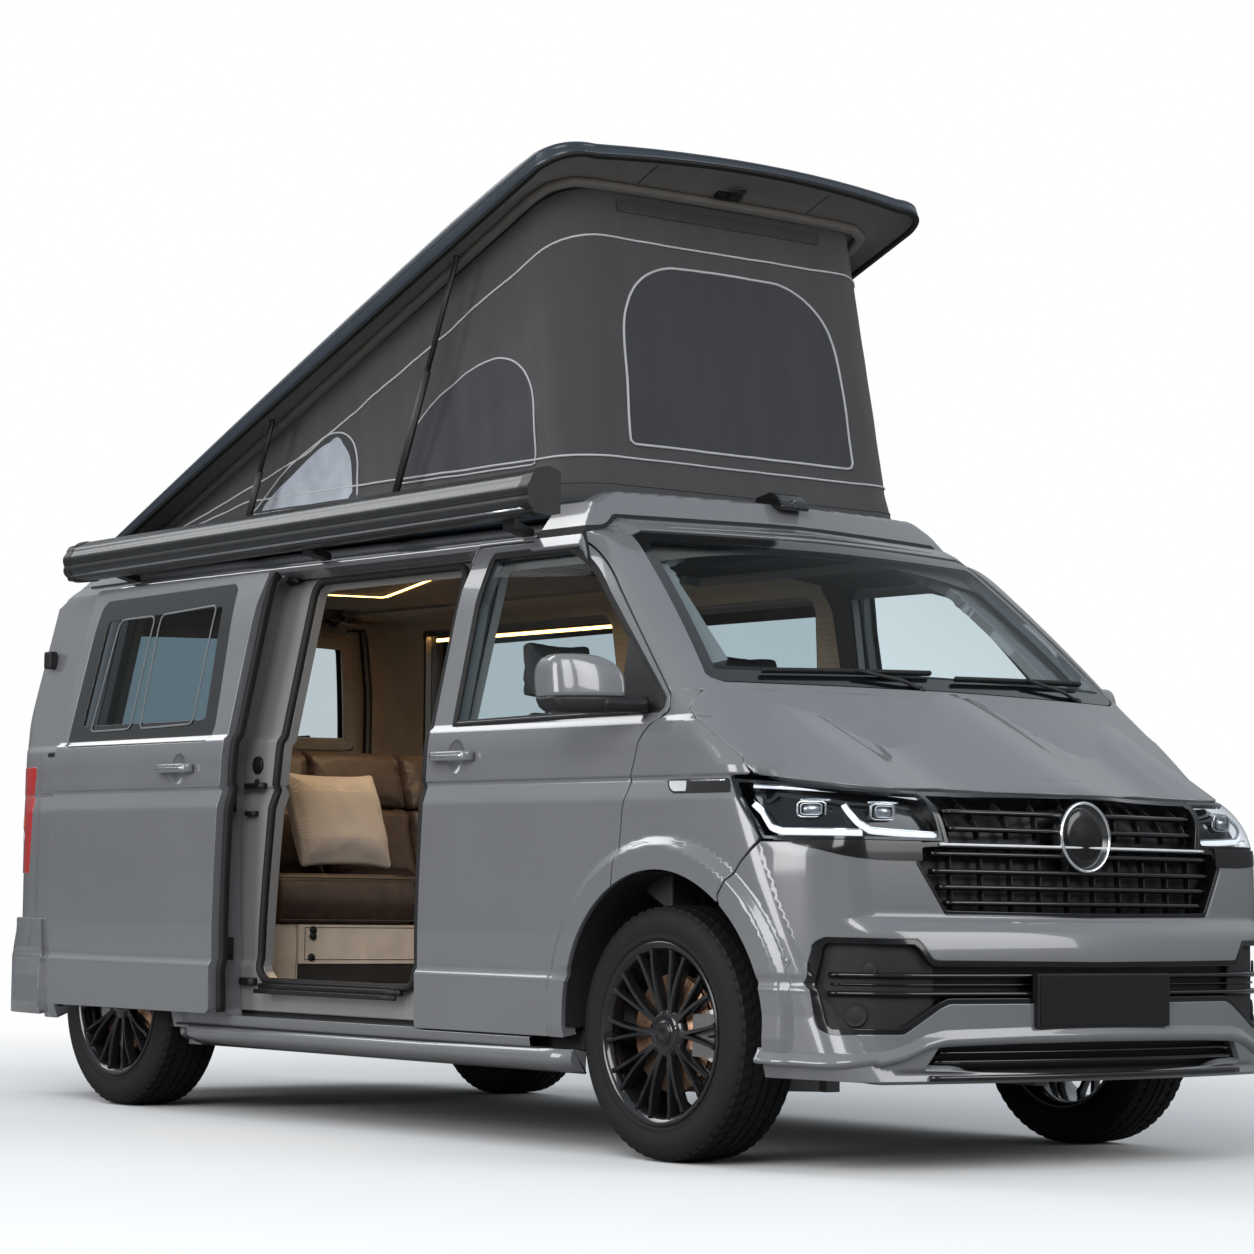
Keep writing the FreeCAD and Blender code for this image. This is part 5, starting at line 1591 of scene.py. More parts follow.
def rimPieces(name, x, left, body):
    sign = 1 if left else -1
    barrel = [(-0.112, 0.246), (-0.1135, 0.258), (-0.110, 0.2625), (-0.104, 0.2600), (-0.102, 0.252),
              (-0.085, 0.244), (-0.05, 0.240), (0.06, 0.240), (0.09, 0.246), (0.101, 0.254),
              (0.105, 0.2595), (0.1095, 0.2625), (0.1135, 0.2610), (0.1145, 0.2560), (0.1110, 0.2500),
              (0.1080, 0.2440), (0.1000, 0.2380), (0.0900, 0.2330), (0.05, 0.2305), (-0.06, 0.2305),
              (-0.100, 0.236), (-0.112, 0.246)]
    points, faces = latheRows(barrel, 96)
    if not left:
        faces = faces[:, ::-1]
    parts = [newPiece(name + "_barrel", wheelFrame(points, x, left), faces, "wheelBlack", body)]
    # spokes run in pairs that open towards the rim and dish slightly at the middle
    for k in range(wheel["spokes"]):
        for lean in (-1, 1):
            base = 2 * math.pi * k / wheel["spokes"]
            path, sizes = [], []
            for t in np.linspace(0, 1, 9):
                rad = wheel["spokeFoot"] + (wheel["spokeEnd"] - wheel["spokeFoot"]) * t
                turn = base + lean * math.radians(3.4 + 4.2 * t) * (0.6 + 0.4 * t)
                face = 0.088 + 0.020 * math.sin(min(1.0, t * 1.15) * math.pi / 2) - 0.006 * (1 - t) ** 3
                path.append((rad * math.cos(turn), face - 0.012, rad * math.sin(turn)))
                sizes.append(1.12 - 0.26 * t + 0.30 * max(0, t - 0.88) / 0.12)
            profile = [(-0.0062, 0.010), (-0.0045, 0.0125), (0.0045, 0.0125), (0.0062, 0.010),
                       (0.0078, -0.020), (-0.0078, -0.020)]
            spoke = sweptPiece("spoke", wheelFrame(path, x, left), (0, sign, 0), profile, "wheelBlack",
                               body, taper=sizes)
            spoke.data.set_sharp_from_angle(angle=math.radians(40))
            parts.append(spoke)
    hub = [(0.050, 0.0), (0.050, 0.074), (0.066, 0.076), (0.082, 0.070), (0.091, 0.060), (0.094, 0.046),
           (0.092, 0.036), (0.0945, 0.0335), (0.0965, 0.0325)]
    cap = [(0.0955, 0.0335), (0.0985, 0.0325), (0.1000, 0.0300), (0.0990, 0.0280), (0.1005, 0.0150),
           (0.1010, 0.0)]
    for part, profile, count in (("hub", hub, 60), ("cap", cap, 48)):
        points, faces = latheRows(profile, count)
        parts.append(newPiece(part, wheelFrame(points, x, left), faces, "wheelBlack", body))
    bolt = [(0.080, 0.0105), (0.0925, 0.0100), (0.0945, 0.0085), (0.0945, 0.005), (0.0915, 0.0045),
            (0.0915, 0.0)]
    for k in range(wheel["bolts"]):
        a = 2 * math.pi * (k + 0.25) / wheel["bolts"]
        points, faces = latheRows(bolt, 6)
        points = points + np.array([wheel["boltCircle"] * math.cos(a), -0.001,
                                    wheel["boltCircle"] * math.sin(a)])
        parts.append(newPiece("bolt", wheelFrame(points, x, left), faces, "satinBlack", body, smooth=False))
    whole = joined(name + "_rim", parts)
    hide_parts(name)
    disc = [(0.034, 0.060), (0.034, 0.168), (0.0345, 0.1685), (0.041, 0.1685), (0.042, 0.165),
            (0.050, 0.165), (0.051, 0.1685), (0.0575, 0.1685), (0.058, 0.168), (0.058, 0.098),
            (0.064, 0.0755), (0.070, 0.072), (0.070, 0.040)]
    points, faces = latheRows(disc, 72)
    newPiece(name + "_brake_disc", wheelFrame(points, x, left), faces, "disc", body)
    valve = wheelFrame([(0.222, 0.086, 0.0), (0.219, 0.100, 0.0), (0.217, 0.112, 0.0)], x, left)
    sweptPiece(name + "_valve", valve, (1, 0, 0.01), ringBar(0.0042, 8), "rubber", body)


def caliperPiece(x, left, body, ahead):
    # a floating calliper that straddles the disc
    side = sideOf(left)
    end = "front" if ahead > 0 else "rear"
    reach = math.radians(24)
    section = [(0.014, 0.118), (0.014, 0.190), (0.024, 0.202), (0.050, 0.202), (0.060, 0.194),
               (0.062, 0.180), (0.062, 0.128), (0.056, 0.126), (0.056, 0.176), (0.024, 0.176),
               (0.024, 0.118)]
    points, foot, steps = [], 0.118, 9
    for a in np.linspace(-reach, reach, steps):
        ease = 1 - 0.05 * (abs(a) / reach) ** 4
        for y, rad in section:
            rr = foot + (rad - foot) * ease
            points.append((ahead * rr * math.cos(a), y, rr * math.sin(a)))
    faces = list(gridQuads(steps, len(section), wrapColumns=True))
    faces += [face[::-1] for face in endCaps(steps, len(section))]
    piece = newPiece("calliper_%s_%s" % (end, side), wheelFrame(points, x, left), faces, "caliper", body,
                     smooth=False)
    facedOut(piece)
    return softened(piece, 0.003, 2)


for end, x in (("front", van["frontAxle"]), ("rear", van["rearAxle"])):
    for isLeft in (True, False):
        name = "wheel_%s_%s" % (end, sideOf(isLeft))
        tyreSkin = tyrePiece(name.replace("wheel", "tyre") + "_tread", x, isLeft, name)
        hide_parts(name.replace("wheel", "tyre"))
        rimPieces(name, x, isLeft, name)
        carrier = ("knuckle_" + sideOf(isLeft)) if end == "front" else "root"
        caliperPiece(x, isLeft, carrier, 1 if end == "front" else -1)

print("roof, awning and fairing")

roof = {
    "hinge": (-1.800, 1.954), "openAngle": 22.0, "halfWidth": 0.800, "reach": 2.960,
    # height of the shell's edge by distance from the hinge
    "edgeAt": [-0.06, 0.30, 0.92, 1.65, 2.30, 2.65, 2.85, 2.954],
    "edgeHeight": [0.036, 0.046, 0.060, 0.072, 0.078, 0.070, 0.056, 0.044],
    "crown": 0.040, "middle": (1.45, 0.0),
    # the shell's edge from its inner foot up to the top: inset, share of the edge's height, lift
    "rim": [(0.026, 0, 0.020), (0.022, 0, 0.013), (0.016, 0, 0.010), (0.005, 0, 0.010), (0.0012, 0, 0.0122),
            (0, 0, 0.017), (0, 0.5, 0.006), (0.0015, 0.5, 0.0075), (0.0015, 0.5, 0.0100), (0, 0.5, 0.0115),
            (0, 1, -0.012), (0.0015, 1, -0.0055), (0.006, 1, -0.0012), (0.013, 1, 0.0006)],
}


def fairingField(p):
    # height over a wedge that runs round the front of the roof's opening
    y = np.abs(p[:, 1])
    t = bowReach(p) + van["bowAxis"]
    front = 1.992 - 0.16 * np.maximum(t - 0.96, 0) - 1.22 * np.maximum(t - 1.035, 0)
    side = 2.003 - 0.55 * np.maximum(y - 0.615, 0) - 0.75 * np.maximum(y - 0.70, 0)
    top = -smoothMax(-2.004, smoothMax(-(front + 0.012), -side, 0.03), 0.02)
    return (p[:, 2] - top) * 0.8


def fairing():
    grid = topGrid(0.78, 1.235, -0.812, 0.812, 0.012)
    pocket = lambda p: np.maximum(p[:, 0] - 0.905, np.abs(p[:, 1]) - 0.698)
    keep = [outOf(pocket), lambda p: -bodyField(p) + 0.0005]
    cap = skinPiece("fairing_cap", grid, keep, "paint", field=fairingField, depth=0.012, roll=0.004)
    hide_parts("roof_fairing")
    # a black rubber band round the fairing's foot: partly a gasket, partly a painted shadow line under the
    # fairing's front edge
    grid = topGrid(0.78, 1.25, -0.82, 0.82, 0.012)
    skinPiece("fairing_gasket", grid, [outOf(pocket), lambda p: -bodyField(p) + 0.0005,
                                       lambda p: bodyField(p) - 0.012], "rubber", field=fairingField,
              level=0.0015, depth=0.008, roll=0.002)
    # a small camera housing in the middle
    rows = [(952, 1998), (1086, 1968), (1094, 1976, 4), (1062, 2012, 8), (1010, 2024, 0), (968, 2016)]
    prismPiece("roof_camera", rows, -0.058, 0.058, "glossBlack", edge=0.010,
               segments=4)
    turnedPiece("roof_camera_lens", [(0.0, 0.013), (0.006, 0.0125), (0.007, 0.010), (0.0045, 0.009),
                                     (0.006, 0.0)], (1.080, 0, 1.990), "frit", axis="X",
                aim=(0.86, 0, 0.50), count=32)


awningSizes = {
    "rear": -1.800, "front": 0.972, "lift": (-0.016, 0.022),
    # across the van and height, from the inner top edge round the outside
    "case": [(-846, 1882), (-846, 1996, 5), (-872, 2012, 9), (-922, 2002, 9), (-955, 1972, 7),
             (-964, 1934, 2), (-961, 1931), (-961, 1928), (-963, 1922, 7),
             (-948, 1890, 6), (-930, 1878, 2), (-893, 1876)],
}


def awningCase():
    a = awningSizes
    loop = arcLoop(a["case"], steps=6)
    run = a["front"] - a["rear"]

    def lifted(x, z):
        low, high = a["lift"]
        return z + low + (high - low) * (x - a["rear"]) / run

    def length(name, x0, x1, grow, material, edge):
        middle = loop.mean(axis=0)
        shape = middle + (loop - middle) * (1 + grow)
        count = len(shape)
        points = [(x, y, lifted(x, z)) for x in (x0, x1) for y, z in shape]
        faces = endCaps(2, count) + list(gridQuads(2, count, wrapColumns=True))
        piece = newPiece(name, points, faces, material)
        piece.data.set_sharp_from_angle(angle=math.radians(40))
        return softened(piece, edge, 4, angle=60) if edge else piece

    case = length("awning_case", a["rear"] + 0.028, a["front"] - 0.034, 0.0, "anthracite", 0)
    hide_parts("awning")
    length("awning_cap_front", a["front"] - 0.050, a["front"], 0.05, "satinBlack", 0.014)
    length("awning_cap_rear", a["rear"], a["rear"] + 0.044, 0.05, "satinBlack", 0.014)
    # the wound-in front rail shows as a narrow bright lip under the case
    lip = [(x, -0.9485, lifted(x, 1.8925)) for x in spread(a["rear"] + 0.03, a["front"] - 0.04, 0.2)]
    sweptPiece("awning_rail", lip, (0, 0, 1), roundBar(0.012, 0.010), "silver")
    brackets = []
    for x in (0.690, -0.420, -1.640):
        rows = [(-772, 1852), (-772, 1876), (-830, 1894), (-850, 1916), (-850, 1878), (-846, 1870)]
        brackets.append(prismPiece("bracket", rows, x, x + 0.06, "satinBlack", axis="X", edge=0.002))
    joined("awning_brackets", brackets)


def roofRails():
    # a gutter strip along each side of the roof
    for sign, side in ((1, "left"), (-1, "right")):
        path = castSide(spread(-2.02, 0.98, 0.06), 1.862, 0.001, sign, start=0.5)
        sweptPiece("roof_gutter_" + side, path, (0, 0, 1), roundBar(0.007, 0.011), "rubber")


def roofPoint(reach, height):
    a = math.radians(roof["openAngle"])
    hx, hz = roof["hinge"]
    return (hx + reach * math.cos(a) - height * math.sin(a), hz + reach * math.sin(a) + height * math.cos(a))


def onRoof(points):
    # from the roof's own (reach, across, height) to the raised place
    points = np.asarray(points, float)
    x, z = roofPoint(points[:, 0], points[:, 2])
    return np.stack([x, points[:, 1], z], axis=1)


def roofRing(inset):
    d, w, r = inset * 1000, roof["halfWidth"] * 1000, roof["reach"] * 1000
    rows = [(-60 + d, w - 60), (-10 + d, w - d, 0), (r - 190, w - d, 42), (r - 66 - d, 640, 60),
            (r - 66 - d, -640, 42), (r - 190, -w + d), (-10 + d, -w + d), (-60 + d, -w + 60)]
    rows = [(a, -b) + tuple(rest) for a, b, *rest in rows]
    ring = arcLoop(rows, steps=12)
    # more points along the straight stretches
    full = []
    for s, e in zip(ring, np.roll(ring, -1, axis=0)):
        count = max(1, int(np.linalg.norm(e - s) / 0.11 + 0.3)) if np.linalg.norm(e - s) > 0.4 else 1
        full += [s + (e - s) * k / count for k in range(count)]
    return np.array(full)


def edgeHeight(reach):
    return np.interp(reach, roof["edgeAt"], roof["edgeHeight"])


def crownHeight(reach, y):
    rise = 1 - np.clip(np.abs(y) / roof["halfWidth"], 0, 1) ** 2.3
    front = np.clip((2.95 - reach) / 0.75, 0.0, 1)
    rear = np.clip((reach + 0.06) / 0.30, 0, 1)
    return roof["crown"] * rise * np.sqrt(front) * rear


def roofShell():
    base = roofRing(0.0)
    count = len(base)
    edge = edgeHeight(base[:, 0])
    rings = [(roofRing(inset), edge * share + lift) for inset, share, lift in roof["rim"]]
    middle = np.array(roof["middle"])
    for scale in (0.95, 0.90, 0.82, 0.72, 0.60, 0.46, 0.32, 0.18, 0.06):
        ring = middle + (base - middle) * scale
        rings.append((ring, edgeHeight(ring[:, 0]) + crownHeight(ring[:, 0], ring[:, 1]) + 0.0025))
    points = np.vstack([np.column_stack([ring, height]) for ring, height in rings])
    faces = list(gridQuads(len(rings), count, wrapColumns=True)) + endCaps(len(rings), count)[1:]
    shellSkin = newPiece("pop_top_shell", onRoof(points), faces, "shell", "pop_top")
    shellSkin.data.set_sharp_from_angle(angle=math.radians(42))
    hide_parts("pop_top_roof")
    seal = roofRing(0.014)
    path = onRoof(np.column_stack([seal, np.full(len(seal), 0.0085)]))
    up = np.array([*roofPoint(0, 1.0)]) - np.array([*roofPoint(0, 0.0)])
    sweptPiece("pop_top_seal", path, (up[0], 0, up[1]), roundBar(0.022, 0.011, 0.45), "rubber", "pop_top",
               closed=True)
    return up


def roofUnderside(up):
    # a hollow rim, then a flat panel, with a pale ring where the tent is fixed
    rings = []
    for inset, height in ((0.024, 0.016), (0.034, 0.024), (0.050, 0.032), (0.072, 0.0375), (0.100, 0.040)):
        ring = roofRing(inset)
        rings.append(np.column_stack([ring, np.full(len(ring), height)]))
    middle = np.array(roof["middle"])
    for scale in (0.80, 0.5, 0.2):
        ring = middle + (roofRing(0.100) - middle) * scale
        rings.append(np.column_stack([ring, np.full(len(ring), 0.0402)]))
    count = len(rings[0])
    points = onRoof(np.vstack(rings))
    faces = list(gridQuads(len(rings), count, wrapColumns=True, flip=True))
    faces.append(endCaps(len(rings), count)[1][::-1])
    panel = newPiece("roof_underside", points, faces, "lining", "pop_top")
    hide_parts("pop_top_lining")
    loop = arcLoop([(130, 640), (130, -640), (2600, -676, 36), (2712, -560, 8), (2712, 560, 36),
                    (2600, 676)], steps=8)
    path = resampled(onRoof(np.column_stack([loop, np.full(len(loop), 0.026)])), 0.08, closed=True)
    sweptPiece("tent_fixing_ring", path, (up[0], 0, up[1]), roundBar(0.034, 0.022, 0.35), "lining",
               "pop_top", closed=True)
    # joints in the moulding, and the latch at the front
    seams = []
    for y in (-0.36, 0.36):
        line = onRoof([(2.735, y, 0.0395), (2.80, y, 0.0395), (2.86, y * 1.01, 0.0385)])
        seams.append(sweptPiece("seam", line, (up[0], 0, up[1]), roundBar(0.003, 0.002), "satinBlack",
                                "pop_top"))
    joined("underside_seams", seams)
    latch = [sweptPiece("latch", onRoof([(2.755, 0.0, 0.034), (2.79, 0.0, 0.020), (2.83, 0.0, 0.012)]),
                        (up[0], 0, up[1]), roundBar(0.036, 0.012), "satinBlack", "pop_top",
                        taper=[0.7, 1.0, 0.8]),
             sweptPiece("latch", onRoof([(2.76, -0.05, 0.035), (2.76, 0.05, 0.035)]), (up[0], 0, up[1]),
                        roundBar(0.030, 0.014), "satinBlack", "pop_top")]
    joined("roof_latch", latch)


stays = {
    # foot and head of each pair, in x and z
    "front_stays": ((-0.075, 1.980), (0.279, 2.800)), "rear_stays": ((-0.951, 1.980), (-0.787, 2.366)),
    "across": 0.740,
}


def stayPair(name):
    (x0, z0), (x1, z1) = stays[name]
    along = np.array([x1 - x0, 0, z1 - z0])
    length = np.linalg.norm(along)
    along /= length
    first = None
    for sign, side in ((1, "left"), (-1, "right")):
        foot = np.array([x0, sign * stays["across"], z0])
        tube = [foot + along * length * k for k in (0.0, 0.25, 0.56)]
        rod = [foot + along * length * k for k in (0.55, 0.8, 0.985)]
        parts = [sweptPiece("stay", tube, (0, 1, 0), roundBar(0.032, 0.013, 0.45), "satinBlack", name),
                 sweptPiece("stay", rod, (0, 1, 0), roundBar(0.022, 0.011, 0.45), "satinBlack", name)]
        for end, size in ((foot, 1.0), (foot + along * length * 0.985, 0.8)):
            profile = [(-0.0065, 0.004), (-0.0065, 0.011), (-0.005, 0.0125), (0.005, 0.0125),
                       (0.0065, 0.011), (0.0065, 0.004)]
            eye, faces = latheRows([(h, r * size) for h, r in profile], 24)
            parts.append(newPiece("eye", eye + end, faces, "satinBlack", name))
        pair = joined("%s_%s" % (name.replace("stays", "stay"), side), parts)
        first = first or pair
    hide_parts(name)


tentSizes = {
    "low": 1.963, "frontLow": 0.880, "rearLow": -1.676, "halfWidth": 0.672, "corner": 0.125,
    "topReach": 2.700, "rearReach": 0.134, "topHeight": 0.021, "topHalf": 0.645, "topCorner": 0.150,
    "rearCorner": 0.03, "rows": 48, "step": 0.018, "bulge": 0.010, "fold": 0.0075, "patchStep": 0.02,
    "lineLift": 0.0025,
}


def ringAt(s, front, rear, half, corner, spans):
    # a point of a rounded rectangle by its place s round from the middle of the front, left if positive
    flat, arc, side, rearArc, back = spans
    side0, u = np.sign(s), np.abs(s)
    rc = tentSizes["rearCorner"]
    x, y = np.zeros_like(u), np.zeros_like(u)
    nx, ny = np.zeros_like(u), np.zeros_like(u)
    a = u < flat
    x[a], y[a], nx[a] = front, (half - corner) * u[a] / flat, 1
    b = (u >= flat) & (u < flat + arc)
    t = (u[b] - flat) / arc * math.pi / 2
    x[b], y[b] = front - corner + corner * np.cos(t), half - corner + corner * np.sin(t)
    nx[b], ny[b] = np.cos(t), np.sin(t)
    c = (u >= flat + arc) & (u < flat + arc + side)
    t = (u[c] - flat - arc) / side
    x[c], y[c], ny[c] = front - corner + (rear + rc - front + corner) * t, half, 1
    d = (u >= flat + arc + side) & (u < flat + arc + side + rearArc)
    t = math.pi / 2 + (u[d] - flat - arc - side) / rearArc * math.pi / 2
    x[d], y[d] = rear + rc + rc * np.cos(t), half - rc + rc * np.sin(t)
    nx[d], ny[d] = np.cos(t), np.sin(t)
    e = u >= flat + arc + side + rearArc
    t = (u[e] - flat - arc - side - rearArc) / back
    x[e], y[e], nx[e] = rear, (half - rc) * (1 - t), -1
    return x, y * np.where(side0 == 0, 1, side0), nx, ny * np.where(side0 == 0, 1, side0)


def tentSpans():
    t = tentSizes
    flat = t["halfWidth"] - t["corner"]
    arc = t["corner"] * math.pi / 2
    side = t["frontLow"] - t["corner"] - t["rearLow"] - t["rearCorner"]
    return flat, arc, side, t["rearCorner"] * math.pi / 2, t["halfWidth"] - t["rearCorner"]


def canvasPoint(s, v, lift=0.0):
    # a point of the tent by its place round the foot and its share of the height, with sag and folds
    t = tentSizes
    s, v = np.atleast_1d(s).astype(float), np.atleast_1d(v).astype(float)
    s, v = np.broadcast_arrays(s, v)
    s, v = s.ravel(), v.ravel()
    spans = tentSpans()
    lowX, lowY, nx, ny = ringAt(s, t["frontLow"], t["rearLow"], t["halfWidth"], t["corner"], spans)
    topR, topY, tx, ty = ringAt(s, t["topReach"], t["rearReach"], t["topHalf"], t["topCorner"], spans)
    topX, topZ = roofPoint(topR, t["topHeight"])
    height = topZ - t["low"]
    normal = np.stack([nx + tx, ny + ty, np.zeros_like(nx)], axis=1)
    normal /= np.maximum(np.linalg.norm(normal, axis=1, keepdims=True), 1e-9)
    point = np.stack([lowX + (topX - lowX) * v, lowY + (topY - lowY) * v, t["low"] + height * v], axis=1)
    # the foot stands out over its frame, the panels draw in between their fixings
    z = point[:, 2]
    foot = 0.016 * np.clip((2.085 - z) / 0.12, 0, 1) ** 0.7
    spanSide = spans[0] + spans[1]
    onFront = np.abs(s) < spans[0]
    middle = np.where(onFront, 1 - (np.abs(s) / spans[0]) ** 2, np.clip((np.abs(s) - spanSide) / 0.5, 0,
                                                                        1)
                      * np.clip((spanSide + spans[2] - np.abs(s)) / 0.6, 0, 1))
    sag = -t["bulge"] * middle * np.sin(np.pi * v) * np.clip(height / 0.7, 0, 1)
    folds = np.array([noise.noise(Vector((a * 5.2, b * 0.9, 1.7))) + 0.55 * noise.noise(Vector((a * 13.0,
                                                                                                b * 1.7,
                                                                                                5.1)))
                      + 0.30 * noise.noise(Vector((a * 29.0 + b * 6.0, b * 7.0, 9.3))) for a,
                      b in zip(s, z)])
    hold = np.clip(v / 0.10, 0, 1) * np.clip((1 - v) / 0.08, 0, 1) * np.clip(height / 0.35, 0.15, 1)
    # slack pulls into slanting creases near the corners
    slant = np.sin((np.abs(s) * 3.1 + z * 7.0) * 4.2) * np.exp(-((np.abs(s) - spanSide - 0.10) / 0.16) ** 2)
    slant += np.sin((np.abs(s) * 5.1 - z * 4.0) * 4.2) * np.exp(-((np.abs(s) - spans[0] + 0.05) / 0.10) ** 2)
    out = foot + sag + hold * (t["fold"] * folds + 0.0022 * slant) + lift
    return point + normal * out[:, None]


def placeOnSide(x, z, side=-1):
    # the (s, v) of a point of the tent's side, from its x and z
    t = tentSizes
    flat, arc, length, _, _ = tentSpans()
    x, z = np.asarray(x, float), np.asarray(z, float)
    s = flat + arc + (t["frontLow"] - t["corner"] - x)
    for _ in range(12):
        share = np.clip((s - flat - arc) / length, 0, 1)
        topR = t["topReach"] - t["topCorner"] + (t["rearReach"] + t["rearCorner"] - t["topReach"]
                                                 + t["topCorner"]) * share
        topX, topZ = roofPoint(topR, t["topHeight"])
        v = (z - t["low"]) / (topZ - t["low"])
        lowX = t["frontLow"] - t["corner"] - share * length
        s = s + (lowX + (topX - lowX) * v - x)
    return s * side, np.clip(v, 0, 1)


def placeOnFront(y, z):
    t = tentSizes
    flat = tentSpans()[0]
    topZ = roofPoint(t["topReach"], t["topHeight"])[1]
    v = (np.asarray(z, float) - t["low"]) / (topZ - t["low"])
    half = (t["halfWidth"] - t["corner"]) + (t["topHalf"] - t["topCorner"] - t["halfWidth"] + t["corner"]) * v
    return np.asarray(y, float) / half * flat, v


def flattened(piece):
    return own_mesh(piece)


def tentSkin():
    t = tentSizes
    spans = tentSpans()
    around = sum(spans)
    s = np.concatenate([-spread(around, 0, t["step"])[:-1], spread(0, around, t["step"])[:-1]])
    v = np.concatenate([[0.0, 0.012, 0.03], np.linspace(0.05, 1.0, t["rows"])])
    gs, gv = np.meshgrid(s, v, indexing="ij")
    points = canvasPoint(gs, gv)
    faces = gridQuads(len(s), len(v), wrapRows=True, flip=True)
    return newPiece("tent_canvas", points, faces, "canvas")


def tentPatch(name, outline2d, place, material, lift):
    # a shaped panel of another cloth laid on the canvas; the outline is in (along, height)
    loop = np.asarray(outline2d, float)
    low, high = loop.min(axis=0), loop.max(axis=0)
    a, b = spread(low[0], high[0], tentSizes["patchStep"]), spread(low[1], high[1], tentSizes["patchStep"])
    ga, gb = np.meshgrid(a, b, indexing="ij")
    flat = np.stack([ga.ravel(), gb.ravel(), np.zeros(ga.size)], axis=1)
    flat, triangles = clipped(flat, gridTriangles(len(a), len(b)), lambda pts: loopDistance(loop, pts[:, 0],
                                                                                            pts[:, 1]))
    points = canvasPoint(*place(flat[:, 0], flat[:, 1]), lift=lift)
    piece = newPiece(name, points, triangles, material)
    return flattened(piece)


def tentLine(name, along, place, radius, material, closed=False):
    line = resampled(np.asarray(along, float), tentSizes["patchStep"], closed)
    path = canvasPoint(*place(line[:, 0], line[:, 1]), lift=tentSizes["lineLift"])
    piece = sweptPiece(name, path, (0.3, 0.2, 1), ringBar(radius, 8), material, closed=closed)
    return flattened(piece)


tentWindows = {
    "front": [(-470, 2172), (-458, 2160), (458, 2160), (470, 2172), (456, 2500, 70), (225, 2758, 5),
              (-225, 2758, 70), (-456, 2500)],
    "sideFront": [(-130, 2098), (604, 2098), (612, 2108), (598, 2250, 66), (378, 2461, 46), (-110, 2240)],
    "sideRear": [(-1030, 2062), (-380, 2062), (-372, 2070), (-386, 2150, 62), (-560, 2306, 34)],
    "vent": [(-430, 2922), (430, 2922), (430, 2958), (-430, 2958)],
}


def tentPieces():
    bright, pieces = [], []
    frontLoop = arcLoop(tentWindows["front"], steps=10)
    pieces.append(tentPatch("tent_window_front", frontLoop, placeOnFront, "mesh", 0.0025))
    bright.append(tentLine("tent_piping_front", frontLoop, placeOnFront, 0.0042, "piping", closed=True))
    ventLoop = arcLoop(tentWindows["vent"])
    pieces.append(tentPatch("tent_vent", ventLoop, placeOnFront, "mesh", 0.003))
    bright.append(tentLine("tent_vent_edge", ventLoop, placeOnFront, 0.0022, "mesh", closed=True))
    for side, name in ((-1, "right"), (1, "left")):
        place = lambda x, z, side=side: placeOnSide(x, z, side)
        for key in ("sideFront", "sideRear"):
            loop = arcLoop(tentWindows[key], steps=10)
            pieces.append(tentPatch("tent_%s_%s" % (key, name), loop, place, "mesh", 0.0025))
            bright.append(tentLine("tent_piping_%s_%s" % (key, name), loop, place, 0.0032, "piping",
                                   closed=True))
        film = arcLoop([(-985, 2072), (-400, 2072), (-418, 2170, 14), (-480, 2262, 22), (-560, 2276, 14),
                        (-790, 2178, 8)], steps=8)
        pieces.append(tentPatch("tent_film_" + name, film, place, "film", 0.0045))
    # two lines run right round: one follows the roof, one the foot
    spans = tentSpans()
    end = spans[0] + spans[1] + spans[2] * 0.93
    s = np.concatenate([-spread(end, 0, 0.03)[:-1], spread(0, end, 0.03)])
    heights = canvasPoint(s, np.ones_like(s))[:, 2] - tentSizes["low"]
    top = np.column_stack([s, 1 - np.minimum(0.155, heights * 0.35) / heights])
    low = np.column_stack([s, np.minimum(0.150, heights * 0.5) / heights])
    seam = np.column_stack([s, np.minimum(0.062, heights * 0.3) / heights])
    for name, rows, radius in (("tent_piping_top", top, 0.0036), ("tent_piping_foot", low, 0.0036)):
        path = canvasPoint(rows[:, 0], rows[:, 1], lift=tentSizes["lineLift"])
        bright.append(flattened(sweptPiece(name, path, (0, 0, 1), ringBar(radius, 8), "piping")))
    path = canvasPoint(seam[:, 0], seam[:, 1], lift=0.001)
    bright.append(flattened(sweptPiece("tent_foot_seam", path, (0, 0, 1), ringBar(0.0022, 6), "canvas")))
    return pieces + bright


fairing()
awningCase()
roofRails()
roofUp = roofShell()
roofUnderside(roofUp)
for key in ("front_stays", "rear_stays"):
    stayPair(key)

print("tent")

canvas = tentSkin()
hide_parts("tent")
tentTrim = tentPieces()
flattened(canvas)

print("mirrors, handles, seals and lamps")

def skinLine(rows, level, sign=1, closed=False, view="side", shift=None):
    # an outline laid on the skin: rows are (x, z) in side view or (y, z) seen from the rear
    line = resampled(arcLoop(rows, closed=closed, steps=8), 0.02, closed)
    if view == "side":
        path = castSide(line[:, 0], line[:, 1], level)
    else:
        path = castEnd(line[:, 0], line[:, 1], level, -1.0)
    normals = fieldNormals(path)
    path, normals = path * [1, sign, 1], normals * [1, sign, 1]
    if shift is not None:
        path = path + np.array(shift)
    return path, normals


mirror = {
    "plan": [(1398, 992), (1496, 1002, 14), (1400, 1124, 16), (1306, 1150, 0), (1240, 1136, 0)],
    "low": 1.274, "high": 1.446, "split": 1.322,
    "arm": [(1.488, 0.930, 1.302), (1.480, 0.965, 1.300), (1.462, 1.000, 1.300), (1.440, 1.040, 1.302)],
    "sail": [(1360, 1284), (1558, 1290), (1560, 1318), (1352, 1514)],
    # the glass: distance along the back edge, and height
    "glass": [(0.014, 1.288), (0.200, 1.290), (0.200, 1.432), (0.014, 1.432)],
}


